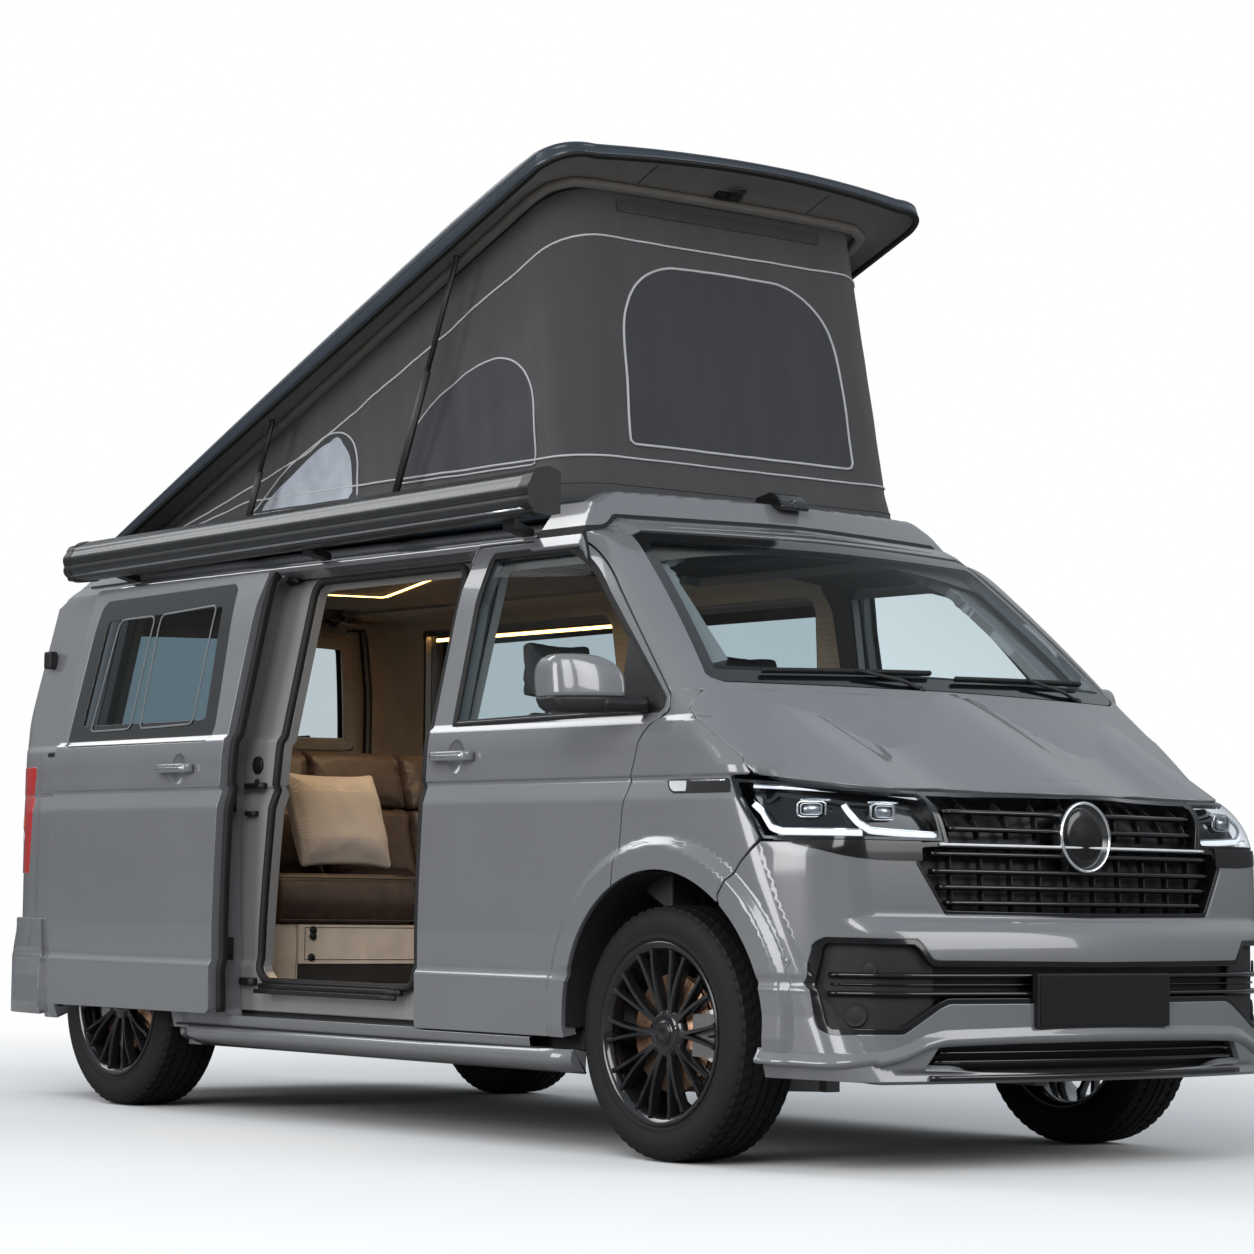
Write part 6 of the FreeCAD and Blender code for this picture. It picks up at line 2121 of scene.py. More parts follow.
def mirrorHead(left):
    side = sideOf(left)
    sign = 1 if left else -1
    body = "front_door_" + side
    loop = resampled(arcLoop(mirror["plan"], steps=8), 0.012, closed=True)
    middle = loop.mean(axis=0)

    def rings(z0, z1, count):
        out = []
        for z in z0 + (z1 - z0) * np.sin(np.linspace(0, math.pi / 2, count)):
            t = (z - mirror["low"]) / (mirror["high"] - mirror["low"])
            bend = 2.4 if t > 0.5 else 3.4
            swell = max(0.0, 1 - abs(2 * t - 1) ** bend) ** (1 / bend)
            lean = 0.020 * (t - 0.5)
            least = 0.16 if t > 0.5 else 0.40
            spot = middle + np.array([-0.006, 0.026]) * max(0.0, 2 * t - 1) ** 2.3
            ring = spot + (loop - middle) * (least + (1 - least) * swell)
            out.append(np.column_stack([ring[:, 0] - lean, ring[:, 1] * sign, np.full(len(ring), z)]))
        return out

    def shellOf(name, stack, material):
        faces = list(gridQuads(len(stack), len(loop), wrapColumns=True)) + endCaps(len(stack), len(loop))
        if not left:
            faces = [f[::-1] for f in faces]
        return newPiece(name, np.vstack(stack), faces, material, body)

    split = mirror["split"]
    cap = shellOf("mirror_cap_" + side, rings(split + 0.001, mirror["high"], 18), "paint")
    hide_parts("mirror_" + side)
    shellOf("mirror_base_" + side, rings(split - 0.001, mirror["low"], 10)[::-1], "satinBlack")


def mirrorGlass(left):
    # the glass looks back, set into a black bezel
    side, sign = sideOf(left), 1 if left else -1
    body = "front_door_" + side
    a, b = np.array(mirror["plan"][0][:2]) / 1000, np.array(mirror["plan"][-1][:2]) / 1000
    along = (b - a) / np.linalg.norm(b - a)
    back = np.array([-along[1], along[0]])
    if back[0] > 0:
        back = -back
    glass = []
    for u, z in mirror["glass"]:
        flatPoint = a + along * u + back * 0.0045
        glass.append((flatPoint[0], flatPoint[1] * sign, z))
    bezel = newPiece("mirror_bezel_" + side,
                     glass + [tuple(np.array(g) - [back[0] * 0.02, back[1] * 0.02 * sign, 0])
                              for g in glass], [(0, 1, 2, 3), (4, 7, 6, 5), (0, 4, 5, 1), (1, 5, 6, 2),
                                                (2, 6, 7, 3), (3, 7, 4, 0)], "satinBlack", body,
                     smooth=False)
    softened(bezel, 0.012, 4)
    middleGlass = np.mean(glass, axis=0)
    pane = [tuple(middleGlass + (np.array(g) - middleGlass) * 0.90 + np.array([back[0], back[1] * sign,
                                                                               0]) * 0.0012) for g in glass]
    newPiece("mirror_glass_" + side, pane, [(0, 1, 2, 3)], "chrome", body, smooth=False)


def mirrorFoot(left):
    # the arm, and the black plate in the window's corner that carries it
    side, sign = sideOf(left), 1 if left else -1
    body = "front_door_" + side
    arm = np.array(mirror["arm"]) * [1, sign, 1]
    sweptPiece("mirror_arm_" + side, resampled(arm, 0.01), (0, 0, 1), roundBar(0.085, 0.046, 0.48, 4),
               "satinBlack", body)
    skinPiece("mirror_sail_" + side, sideGrid(1.34, 1.58, 1.27, 1.53, 0.008),
              [inSide(mirror["sail"], -0.001)], "satinBlack", body, level=0.004, depth=0.018, roll=0.003,
              mirror=not left)


def doorHandle(name, x, z, sign, body, shift=(0, 0, 0)):
    a, b = handles["cup"]
    # the dish behind the handle
    rows, count = [], 40
    for rho in (1.06, 1.0, 0.93, 0.80, 0.6, 0.35, 0.0001):
        turn = np.linspace(0, 2 * math.pi, count, endpoint=False)
        deep = -handles["depth"] * (1 - min(1, rho) ** 2.2) - 0.0008
        rows.append(castSide(x + a * rho * np.cos(turn), z + b * rho * np.sin(turn), deep,
                             sign) + np.array(shift))
    faces = gridQuads(len(rows), count, wrapColumns=True)
    newPiece(name + "_cup", np.vstack(rows), faces if sign < 0 else faces[:, ::-1], "paint", body)
    # the bar stands off the door between two feet
    path = np.array([castSide(x + u, z, out, sign)[0] + np.array(shift) for u, out in handles["bar"]])
    sweptPiece(name, resampled(path, 0.008), (0, 0, 1), roundBar(0.015, 0.030, 0.42, 4), "paint", body)
    lip = resampled(path[2:7] + np.array([0, sign * 0.0078, 0]), 0.01)
    sweptPiece(name + "_line", lip, (0, 0, 1), roundBar(0.002, 0.006), "chrome", body)


def sideSkirt(left):
    side = sideOf(left)
    sign = 1 if left else -1
    rings = []
    for x in spread(-1.00, 1.190, 0.04):
        grow = np.clip((x - 0.45) / 0.70, 0, 1)
        out = 0.962 + 0.014 * grow * grow * (3 - 2 * grow)
        ends = np.clip((x + 1.00) / 0.10, 0.35, 1) * np.clip((1.195 - x) / 0.05, 0.55, 1)
        out = 0.90 + (out - 0.90) * ends
        rise = 0.006 * grow
        rings.append([(x, y * sign, z) for y, z in ((0.884, 0.296), (0.906, 0.2985), (out - 0.030, 0.3005),
                                                    (out - 0.010, 0.297 + rise),
                                                    (out - 0.002, 0.289 + rise), (out, 0.272),
                                                    (out - 0.003, 0.262), (out - 0.016, 0.252),
                                                    (out - 0.038, 0.241), (out - 0.060, 0.2345),
                                                    (0.886, 0.230))])
    count = len(rings[0])
    quads = gridQuads(len(rings), count, wrapColumns=True)
    faces = list(quads if left else quads[:, ::-1]) + [cap[::-1] for cap in endCaps(len(rings), count)]
    skirt = newPiece("side_skirt_" + side, np.array(rings).reshape(-1, 3), faces, "paint")
    skirt.data.set_sharp_from_angle(angle=math.radians(50))
    if left:
        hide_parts("side_skirts")
    joint = [(x, sign * 0.931, 0.3015) for x in spread(-0.98, 1.15, 0.1)]
    sweptPiece("skirt_joint_" + side, joint, (0, 0, 1), roundBar(0.040, 0.006), "rubber")


def seals():
    # rubber profiles round the openings
    for sign, side in ((1, "left"), (-1, "right")):
        path, normals = skinLine(outlines["frontDoorway"], -0.056, sign, closed=True)
        sweptPiece("door_seal_" + side, path, normals, roundBar(0.022, 0.014, 0.45), "rubber", closed=True)
        path, normals = skinLine([(556, 1273), (1400, 1283)], 0.0015, sign)
        sweptPiece("window_wiper_strip_" + side, path, normals, roundBar(0.012, 0.006), "glossBlack",
                   "front_door_" + side)
        path, normals = skinLine(outlines["frontWindow"], -0.003, sign, closed=True)
        sweptPiece("window_channel_" + side, path, normals, roundBar(0.024, 0.009, 0.4), "rubber",
                   "front_door_" + side, closed=True)
    path, normals = skinLine(outlines["sideDoorway"], -0.050, -1, closed=True)
    sweptPiece("side_door_seal", path, normals, roundBar(0.026, 0.024, 0.45), "rubber", closed=True)
    path, normals = skinLine([(402, 352), (440, 1100), (454, 1700), (462, 1812)], -0.040, -1, shift=slide)
    sweptPiece("sliding_door_edge_seal", path, normals, roundBar(0.022, 0.030, 0.45), "rubber")
    path, normals = skinLine(outlines["tailDoorway"], -0.056, 1, closed=True, view="rear")
    sweptPiece("tailgate_seal", path, normals, roundBar(0.022, 0.014, 0.45), "rubber", closed=True)


def slidingPanes():
    # the two panes that slide in the side door's window
    loops = ([(-480, 1311), (-464, 1304), (-228, 1306), (-214, 1322), (-200, 1690), (-214, 1704),
              (-416, 1702), (-432, 1688)], [(-149, 1318), (-136, 1306), (178, 1312), (190, 1326),
                                            (192, 1706), (178, 1720), (-146, 1706), (-159, 1692)])
    parts = []
    for loop in loops:
        path, normals = skinLine(loop, -0.0015, -1, closed=True, shift=slide)
        parts.append(sweptPiece("pane", path, normals, roundBar(0.007, 0.004, 0.4), "glassEdge",
                                closed=True))
    joined("sliding_panes", parts)


def jambHardware():
    # striker, guides and rails for the sliding door
    parts = []
    for x, z, r in ((-0.606, 1.172, 0.029), (-0.606, 1.118, 0.008)):
        base = castSide(x, z, -0.060, -1)[0]
        parts.append(turnedPiece("striker", [(0.004, r), (-0.006, r), (-0.008, r * 0.9), (-0.006, r * 0.55),
                                             (-0.010, r * 0.45), (-0.010, 0.0)], base, "satinBlack",
                                 axis="Y", count=32))
    for z, x0, x1, h in ((1.102, -0.655, -0.548, 0.020), (1.010, -0.640, -0.585, 0.016),
                         (0.452, -0.655, -0.575, 0.026), (1.800, -0.655, -0.590, 0.018)):
        line = resampled(castSide((x0, x1), z, -0.050, -1), 0.03)
        parts.append(sweptPiece("guide", line, (0, -1, 0), roundBar(h, 0.022, 0.3), "satinBlack"))
    for z, size in ((1.055, 0.085), (0.560, 0.075)):
        low = (-0.668, -0.985, z - size / 2)
        parts.append(softBox("roller_carrier", low, (-0.640, -0.945, z + size / 2), "satinBlack",
                             edge=0.006))
    joined("sliding_door_guides", parts)
    # the middle rail runs back along the side below the windows
    rail = castSide(spread(-0.70, -1.98, 0.1), 1.236, -0.004, -1)
    sweptPiece("sliding_door_rail", rail, (0, -1, 0), roundBar(0.018, 0.016), "satinBlack")
    # the tread of the doorway and the lower rail
    bars = []
    for y, z, w, h in ((-0.872, 0.4535, 0.090, 0.010), (-0.925, 0.440, 0.018, 0.020),
                       (-0.946, 0.424, 0.010, 0.016)):
        line = [(x, y, z) for x in spread(-0.505, 0.300, 0.1)]
        bars.append(sweptPiece("tread", line, (0, 0, 1), roundBar(w, h, 0.35), "satinBlack"))
    for k in range(4):
        line = [(x, -0.900 + 0.019 * k, 0.4595) for x in (-0.47, 0.26)]
        bars.append(sweptPiece("tread", line, (0, 0, 1), roundBar(0.006, 0.003, 0.4), "rubber"))
    joined("doorway_tread", bars)


def tailLamps():
    lens = [(746, 808), (905, 808), (905, 1192), (772, 1192), (752, 1168)]
    for left in (True, False):
        side = sideOf(left)
        grid = gridOf(tailPath(-2.00, 0.012, 0.70), spread(0.79, 1.21, 0.012))
        wrap = lambda p: p[:, 0] - (-2.085 - 0.10 * (1.192 - p[:, 2]))
        keep = [inFront(lens, -0.001), wrap]
        red = skinPiece("tail_lamp_" + side, grid, keep, "redLens", level=0.0025, depth=0.014, roll=0.004,
                        mirror=not left)
        if left:
            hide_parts("tail_lamps")
        for part, low, high, look in (("turn", 968, 1012, "amber"), ("reverse", 918, 958, "whitePlastic")):
            block = [inFront([(768, low), (880, low), (880, high), (768, high)]), behind(-2.16)]
            skinPiece("tail_lamp_%s_%s" % (part, side), grid, block, look, level=0.0042, depth=0.002,
                      roll=0.001, mirror=not left)
        bars = []
        for z in (0.842, 0.866, 0.890, 1.040, 1.070, 1.100, 1.130, 1.160):
            path = castEnd(spread(0.775, 0.842, 0.01), z, 0.0036, -1.0) * [1, 1 if left else -1, 1]
            bars.append(sweptPiece("bar", path, (-1, 0, 0), roundBar(0.010, 0.003), "redLens"))
        joined("tail_lamp_ribs_" + side, bars)


def rearDetails():
    # reflectors, the blank plate's recess, the handle bar, the wiper and a small socket at the pillar
    moved = lambda p: bodyField(p + np.array([0.046, 0, 0]))
    for left in (True, False):
        side = sideOf(left)
        grid = gridOf(tailPath(-2.0, 0.012, 0.55), spread(0.50, 0.60, 0.010))
        rows = [(600, 532), (742, 532), (742, 566), (600, 566)]
        skinPiece("rear_reflector_" + side, grid, [inFront(rows, 0.0)], "redLens", level=0.0145,
                  depth=0.008, roll=0.002, mirror=not left, field=moved)
    grid = gridOf(wholePath([(-1.6, y, -1, 0) for y in spread(0.40, 0.0, 0.02)]), spread(0.84, 1.06, 0.014))
    recess = bothHalves([(0, 868), (330, 868), (348, 884), (348, 1030), (0, 1030)])
    skinPiece("rear_plate_recess", grid, [inFront(recess, 0.0)], "grainBlack", "tailgate", level=0.0015,
              depth=0.006, roll=0.002)
    plate = bothHalves([(0, 884), (262, 884), (262, 1000), (0, 1000)])
    skinPiece("rear_blank_plate", grid, [inFront(plate, 0.0)], "plate", "tailgate", level=0.006,
              depth=0.004, roll=0.001)
    path, normals = skinLine([(-340, 1052), (340, 1052)], 0.008, 1, view="rear")
    sweptPiece("tailgate_handle", path, normals, roundBar(0.028, 0.024, 0.4), "paint", "tailgate")
    path, normals = skinLine([(0, 1330), (120, 1336), (330, 1352), (470, 1366)], 0.022, 1, view="rear")
    sweptPiece("rear_wiper", path, normals, roundBar(0.012, 0.014, 0.4), "satinBlack", "tailgate")
    centre = castEnd(0.0, 1.33, way=-1.0)[0]
    turnedPiece("rear_wiper_pivot", [(-0.004, 0.024), (0.018, 0.022), (0.026, 0.017), (0.028, 0.0)], centre,
                "satinBlack", "tailgate", axis="X", aim=(-1, 0, 0.1), count=28)
    path, normals = skinLine([(-420, 1815), (420, 1815)], 0.004, 1, view="rear")
    sweptPiece("high_brake_lamp", path, normals, roundBar(0.014, 0.010, 0.4), "redLens", "tailgate")
    for y in (-1, 1):
        softBox("rear_pillar_socket_" + ("left" if y > 0 else "right"), (-2.150, min(y * 0.806, y * 0.840),
                                                                         1.560),
                (-2.100, max(y * 0.806, y * 0.840), 1.625), "satinBlack", edge=0.008,
                segments=3)


def frontWipers():
    pieces = []
    for y0, z0, y1, z1, pivotY in ((-0.655, 1.405, -0.030, 1.425, -0.10), (0.060, 1.412, 0.690, 1.430, 0.62)):
        count = 24
        blade = castEnd(np.linspace(y0, y1, count), np.linspace(z0, z1, count), 0.007, start=1.0)
        normals = fieldNormals(blade)
        pieces.append(sweptPiece("blade", blade, normals, [(-0.002, -0.007), (0.002, -0.007),
                                                           (0.005, 0.004), (0.003, 0.009), (-0.006, 0.009),
                                                           (-0.007, 0.004)], "rubber"))
        mid = blade[count // 2] + normals[count // 2] * 0.010
        foot = castEnd(pivotY, 1.374, -0.004, start=1.0)[0]
        arm = resampled(np.array([foot, foot * 0.7 + mid * 0.3 + [0.002, 0, 0.010], mid]), 0.03)
        pieces.append(sweptPiece("arm", arm, (0.6, 0, 0.8), roundBar(0.016, 0.008, 0.4), "satinBlack",
                                 taper=np.linspace(1.2, 0.7, len(arm))))
        pieces.append(turnedPiece("cap", [(-0.01, 0.013), (0.004, 0.013), (0.008, 0.010), (0.009, 0.0)],
                                  foot, "satinBlack", axis="X", aim=(0.55, 0, 0.83), count=24))
    wiperSet = joined("windscreen_wipers", pieces)
    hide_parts("wipers")


for isLeft in (True, False):
    mirrorHead(isLeft)
    mirrorGlass(isLeft)
    mirrorFoot(isLeft)
    sideSkirt(isLeft)
    doorHandle("door_handle_" + sideOf(isLeft), *handles["front"], 1 if isLeft else -1,
               "front_door_" + sideOf(isLeft))
doorHandle("sliding_door_handle", *handles["slide"], -1, "root", shift=slide)
seals()
slidingPanes()
jambHardware()
tailLamps()
rearDetails()
frontWipers()

print("cabin")

cushionSizes = {
    "shrink": 0.006, "cells": 4200, "pressure": 4.0, "frames": 20, "cap": 0.024,
}


def corners(mesh):
    places = np.empty(len(mesh.vertices) * 3)
    mesh.vertices.foreach_get("co", places)
    return places.reshape(-1, 3)


def stuffed(name, rows, low, high, material, centre=None, turn=0.0,
            cap=cushionSizes["cap"]):
    # a filled cover: the cut shape, rounded and then blown up a little as cloth
    c = cushionSizes
    piece = prismPiece(name, rows, low + c["shrink"], high - c["shrink"], material, edge=0,
                       steps=6)
    mesh = piece.data
    area = sum(p.area for p in mesh.polygons)
    remesh = piece.modifiers.new("cells", "REMESH")
    remesh.mode = "VOXEL"
    remesh.voxel_size = max(0.006, math.sqrt(area / c["cells"]))
    smooth = piece.modifiers.new("ease", "SMOOTH")
    smooth.factor = 0.5
    smooth.iterations = 5
    settle(piece)
    mesh = piece.data
    start = corners(mesh)
    cloth = piece.modifiers.new("air", "CLOTH")
    cloth.settings.quality = 5
    cloth.settings.use_pressure = True
    cloth.settings.uniform_pressure_force = c["pressure"]
    cloth.settings.effector_weights.gravity = 0.0
    cloth.settings.tension_stiffness = 15
    cloth.settings.compression_stiffness = 15
    cloth.settings.bending_stiffness = 0.8
    cloth.point_cache.frame_start, cloth.point_cache.frame_end = 1, c["frames"]
    scene = bpy.context.scene
    for step in range(1, c["frames"] + 1):
        scene.frame_set(step)
    settle(piece)
    scene.frame_set(1)
    mesh = piece.data
    move = corners(mesh) - start
    far = np.linalg.norm(move, axis=1, keepdims=True)
    # the cover gives most in the middle of its faces and hardly at its sewn edges
    move *= np.minimum(1.0, cap * 0.5 / np.maximum(far, 1e-9))
    mesh.vertices.foreach_set("co", (start + move).ravel())
    if turn:
        spin = Matrix.Translation(centre) @ Matrix.Rotation(turn, 4,
                                                            "Y") @ Matrix.Translation(-Vector(centre))
        mesh.transform(spin)
    finer = piece.modifiers.new("finer", "SUBSURF")
    finer.levels = finer.render_levels = 1
    settle(piece)
    piece.data.shade_smooth()
    return piece


def settle(piece):
    # turns what the modifiers show into the piece's own mesh
    view = bpy.context.evaluated_depsgraph_get()
    shown = bpy.data.meshes.new_from_object(piece.evaluated_get(view), depsgraph=view)
    old = piece.data
    piece.modifiers.clear()
    piece.data = shown
    shown.name = old.name
    bpy.data.meshes.remove(old)


def welt(name, line, material):
    sweptPiece(name, resampled(np.array(line), 0.012), (0.3, 0.9, 0.2), ringBar(0.0032, 8), material)


bench = {
    "columns": [(-0.690, -0.291), (-0.287, 0.114), (0.118, 0.520)],
    "lower": [(-1174, 796), (-1046, 804), (-1120, 1030), (-1140, 1052), (-1254, 1052)],
    "upper": [(-1254, 1056), (-1134, 1056), (-1150, 1120), (-1196, 1232, 8), (-1286, 1262, 10),
              (-1322, 1200)],
    "pad": [(-1290, 648), (-776, 648), (-752, 716, 8), (-790, 806, 8), (-1290, 774)],
    "bolster": [(-1050, 795), (-905, 818), (-918, 1020, 10), (-990, 1084, 14), (-1096, 1094)],
    "base": [(-1330, 441), (-800, 441), (-800, 505), (-790, 505), (-790, 640), (-1330, 640)],
}


def benchSeat():
    first = None
    for k, (y0, y1) in enumerate(bench["columns"]):
        if k == 0:
            y0 = -0.598
        for key in ("lower", "upper"):
            piece = stuffed("bench_back_%s_%d" % (key, k + 1), bench[key], y0, y1, "leather", cap=0.020)
            first = first or piece
    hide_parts("bench_cushions")
    for k, (y0, y1) in enumerate(((-0.690, -0.086), (-0.082, 0.520))):
        stuffed("bench_pad_%d" % (k + 1), bench["pad"], y0, y1, "leather", cap=0.022)
    stuffed("bench_bolster", bench["bolster"], -0.690, -0.603, "leather", cap=0.018)
    # piping along the pad's front edge
    for z, x in ((0.801, -0.787), (0.655, -0.773)):
        welt("bench_welt_%d" % round(z * 1000), [(x, -0.676, z), (x, -0.3, z), (x, 0.2, z), (x, 0.508, z)],
             "leather")
    c = (-0.952, -0.330, 1.004)
    halfWide, halfHigh, lean = 0.206, 0.186, math.radians(22)
    section = [(-0.022, -halfHigh), (0.022, -halfHigh), (0.044, -0.09), (0.044, 0.09), (0.022, halfHigh),
               (-0.022, halfHigh), (-0.044, 0.09), (-0.044, -0.09)]
    rows = [((c[0] + a) * 1000, (c[2] + b) * 1000) for a, b in section]
    pillow = stuffed("pillow_soft", rows, c[1] - halfWide, c[1] + halfWide, "linen",
                     centre=c, turn=-lean, cap=0.026)
    # the cover narrows towards its four corners
    mesh = pillow.data
    spin = Matrix.Rotation(lean, 3, "Y")
    for vertex in mesh.vertices:
        flat = spin @ (vertex.co - Vector(c))
        u, v = flat.y / halfWide, flat.z / halfHigh
        thin = 1 - 0.62 * min(1.0, max(abs(u), abs(v))) ** 4
        pinch = 1 - 0.045 * (1 - min(1, u * u)) * (1 if abs(v) > 0.5 else 0) * abs(v)
        wave = 0.004 * noise.noise(Vector((u * 2.2, v * 2.2, 3.1)))
        flat = Vector((flat.x * thin + wave, flat.y, flat.z * pinch))
        vertex.co = spin.inverted() @ flat + Vector(c)
    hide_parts("pillow")


def benchBase():
    wood = prismPiece("bench_front", bench["base"], -0.586, 0.518, "beige",
                      edge=0.002)
    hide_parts("bench_base")
    prismPiece("bench_side_board", [(-1000, 441), (-800, 441), (-792, 560), (-800, 640), (-1000, 640)],
               -0.690, -0.592, "beige", edge=0.004)
    softBox("bench_kick_board", (-0.8005, -0.584, 0.442), (-0.796, 0.516, 0.503), "floor",
            edge=0.001)
    seams = [softBox("seam", (-0.7905, -0.560, z), (-0.7890, 0.500, z + 0.0025), "rubber", edge=0.0005)
             for z in (0.5185, 0.6285)]
    seams.append(softBox("seam", (-0.7905, -0.5625, 0.5185), (-0.7890, -0.560, 0.631), "rubber",
                         edge=0.0005))
    joined("bench_drawer_seams", seams)
    knobs = []
    for y, z in ((-0.530, 0.622), (-0.530, 0.600), (-0.535, 0.528), (0.470, 0.610), (0.470, 0.528)):
        knobs.append(turnedPiece("knob", [(-0.004, 0.013), (0.006, 0.013), (0.009, 0.011), (0.010, 0.0)],
                                 np.array((-0.790, y, z)), "satinBlack", axis="X", aim=(1, 0, 0), count=24))
    joined("bench_knobs", knobs)


cabSeat = {
    "pad": [(610, 646), (1112, 648), (1134, 704, 8), (1110, 792, 10), (610, 762)],
    "back": [(496, 706), (612, 708), (480, 1318, -18), (456, 1338, 6), (416, 1336, 6), (384, 1308, -14)],
    "rest": [(374, 1386), (434, 1380, 8), (416, 1552, 8), (366, 1550, 8)],
    "bolster": [(606, 650), (1108, 652), (1128, 706, 8), (1106, 798, 16), (606, 770)],
    "wing": [(492, 712), (618, 716), (500, 1240, -14), (470, 1292), (404, 1280)],
}


def cabSeats():
    for sign, side in ((1, "left"), (-1, "right")):
        y = 0.40 * sign
        pad = stuffed("cab_seat_pad_" + side, cabSeat["pad"], y - 0.150, y + 0.150, "seatCloth")
        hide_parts("seat_" + side)
        stuffed("cab_seat_back_" + side, cabSeat["back"], y - 0.150, y + 0.150, "seatCloth")
        stuffed("cab_seat_rest_" + side, cabSeat["rest"], y - 0.128, y + 0.128, "seatCloth", cap=0.018)
        for k, (a, b) in enumerate(((-0.236, -0.152), (0.152, 0.236))):
            for key in ("bolster", "wing"):
                stuffed("cab_seat_%s_%s_%d" % (key, side, k), cabSeat[key], y + a, y + b, "leather",
                        cap=0.014)
        posts = []
        for dy in (-0.06, 0.06):
            posts.append(sweptPiece("post", [(0.424, y + dy, 1.325), (0.412, y + dy, 1.36),
                                             (0.404, y + dy, 1.40)], (0, 1, 0), ringBar(0.006, 10),
                                    "silver"))
        joined("cab_seat_posts_" + side, posts)
        prismPiece("cab_seat_box_" + side, [(650, 441), (1070, 441), (1078, 470), (1078, 634), (642, 634),
                                            (642, 470)], y - 0.196, y + 0.196, "dash",
                   edge=0.012, segments=3)
        prismPiece("cab_seat_shell_" + side, [(486, 700), (500, 712), (390, 1290), (378, 1290)], y - 0.20,
                   y + 0.20, "dash", edge=0.004)


def steeringWheel():
    centre, tilt, r = np.array((1.130, 0.380, 1.130)), math.radians(28), 0.182
    normal = np.array((-math.cos(tilt), 0, math.sin(tilt)))
    up = np.array((math.sin(tilt), 0, math.cos(tilt)))
    side = np.array((0, 1.0, 0))
    turn = np.linspace(0, 2 * math.pi, 72, endpoint=False)
    rim = [centre + r * (side * math.cos(t) + up * math.sin(t) * (0.97 if math.sin(t) < -0.85 else 1))
           for t in turn]
    ring = sweptPiece("wheel_rim", rim, np.tile(normal, (72, 1)), roundBar(0.031, 0.026, 0.5, 5),
                      "seatCloth", "steering_wheel", closed=True)
    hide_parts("steering_wheel")
    spokes = []
    for t in (math.radians(2), math.radians(178), math.radians(270)):
        arm = side * math.cos(t) + up * math.sin(t)
        line = [centre + arm * d + normal * lift for d, lift in ((0.035, -0.012), (0.09, -0.010),
                                                                 (0.14, -0.004), (0.176, 0.0))]
        spokes.append(sweptPiece("spoke", line, normal, roundBar(0.052, 0.016, 0.42), "dash",
                                 "steering_wheel"))
        fill = [centre + arm * d + normal * 0.0055 for d in (0.06, 0.13)]
        spokes.append(sweptPiece("spoke_face", fill, normal, roundBar(0.030, 0.004), "dash",
                                 "steering_wheel"))
    joined("steering_wheel_spokes", spokes)
    turnedPiece("steering_wheel_boss", [(-0.030, 0.040), (-0.016, 0.062), (0.002, 0.066), (0.010, 0.060),
                                        (0.015, 0.045), (0.017, 0.0)], centre - normal * 0.006, "dash",
                "steering_wheel", axis="X", aim=tuple(normal), count=48)
    turnedPiece("steering_column", [(0.0, 0.042), (0.19, 0.048)], centre - normal * 0.215, "dash", axis="X",
                aim=tuple(normal), count=32)


def dashboard():
    main = prismPiece("dash_main", [(1516, 702), (1516, 1336), (1500, 1339, 2), (1332, 1247, 6),
                                    (1293, 1150, 3), (1312, 930), (1400, 762)], -0.836, 0.836, "dash",
                      edge=0.010, segments=3)
    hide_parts("dashboard")
    prismPiece("dash_hood", [(1330, 1262), (1318, 1212), (1440, 1236), (1460, 1312), (1400, 1318, 4)], 0.20,
               0.56, "dash", edge=0.012, segments=3)
    bezel = [(1301, 1186), (1296, 1100), (1302, 1100), (1308, 1188)]
    prismPiece("dash_screen", bezel, -0.125, 0.125, "glossBlack", edge=0.003)
    vents = []
    for y in (-0.74, -0.24, 0.18, 0.74):
        for k in range(5):
            z = 1.196 + 0.012 * k
            vents.append(softBox("vane", (1.295 + k * 0.005, y - 0.055, z), (1.312 + k * 0.005, y + 0.055,
                                                                             z + 0.004), "satinBlack",
                                 edge=0.0015))
    joined("dash_vents", vents)
    prismPiece("dash_glove_box", [(1306, 1000), (1312, 880), (1318, 880), (1312, 1002)], -0.72, -0.26,
               "dash", edge=0.004)
    prismPiece("dash_centre_stack", [(1296, 1080), (1300, 740), (1400, 700), (1400, 1080)], -0.15, 0.15,
               "dash", edge=0.010)


def ceilingAndLights():
    board = prismPiece("ceiling_board", [(-1900, 1838), (-60, 1838), (-60, 1858), (-1900, 1858)], -0.600,
                       0.600, "headliner", edge=0.003)
    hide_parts("ceiling")
    prismPiece("roof_bed", [(-1596, 1859), (-60, 1859), (-60, 1930, 6), (-1596, 1930, 6)], -0.594, 0.594,
               "lining", edge=0.016, segments=3)
    runs = {"ceiling_light": [(-1.355, -0.230, 1.8345), (-1.262, 0.072, 1.8345), (-0.20, -0.385, 1.8345)],
            "wall_light": [(-1.86, 0.742, 1.742), (-1.2, 0.748, 1.742), (-0.5, 0.748, 1.742)],}
    for name, line in runs.items():
        ups = (0, 0, -1) if name == "ceiling_light" else (0, -1, 0)
        sweptPiece(name, resampled(np.array(line), 0.05), ups, roundBar(0.012, 0.006), "warmLight")
        rail = np.array(line) + (np.array([0, 0, 0.003]) if name == "ceiling_light" else np.array([0, 0.004,
                                                                                                   0]))
        sweptPiece(name + "_rail", resampled(rail, 0.05), ups, roundBar(0.020, 0.006), "silver")


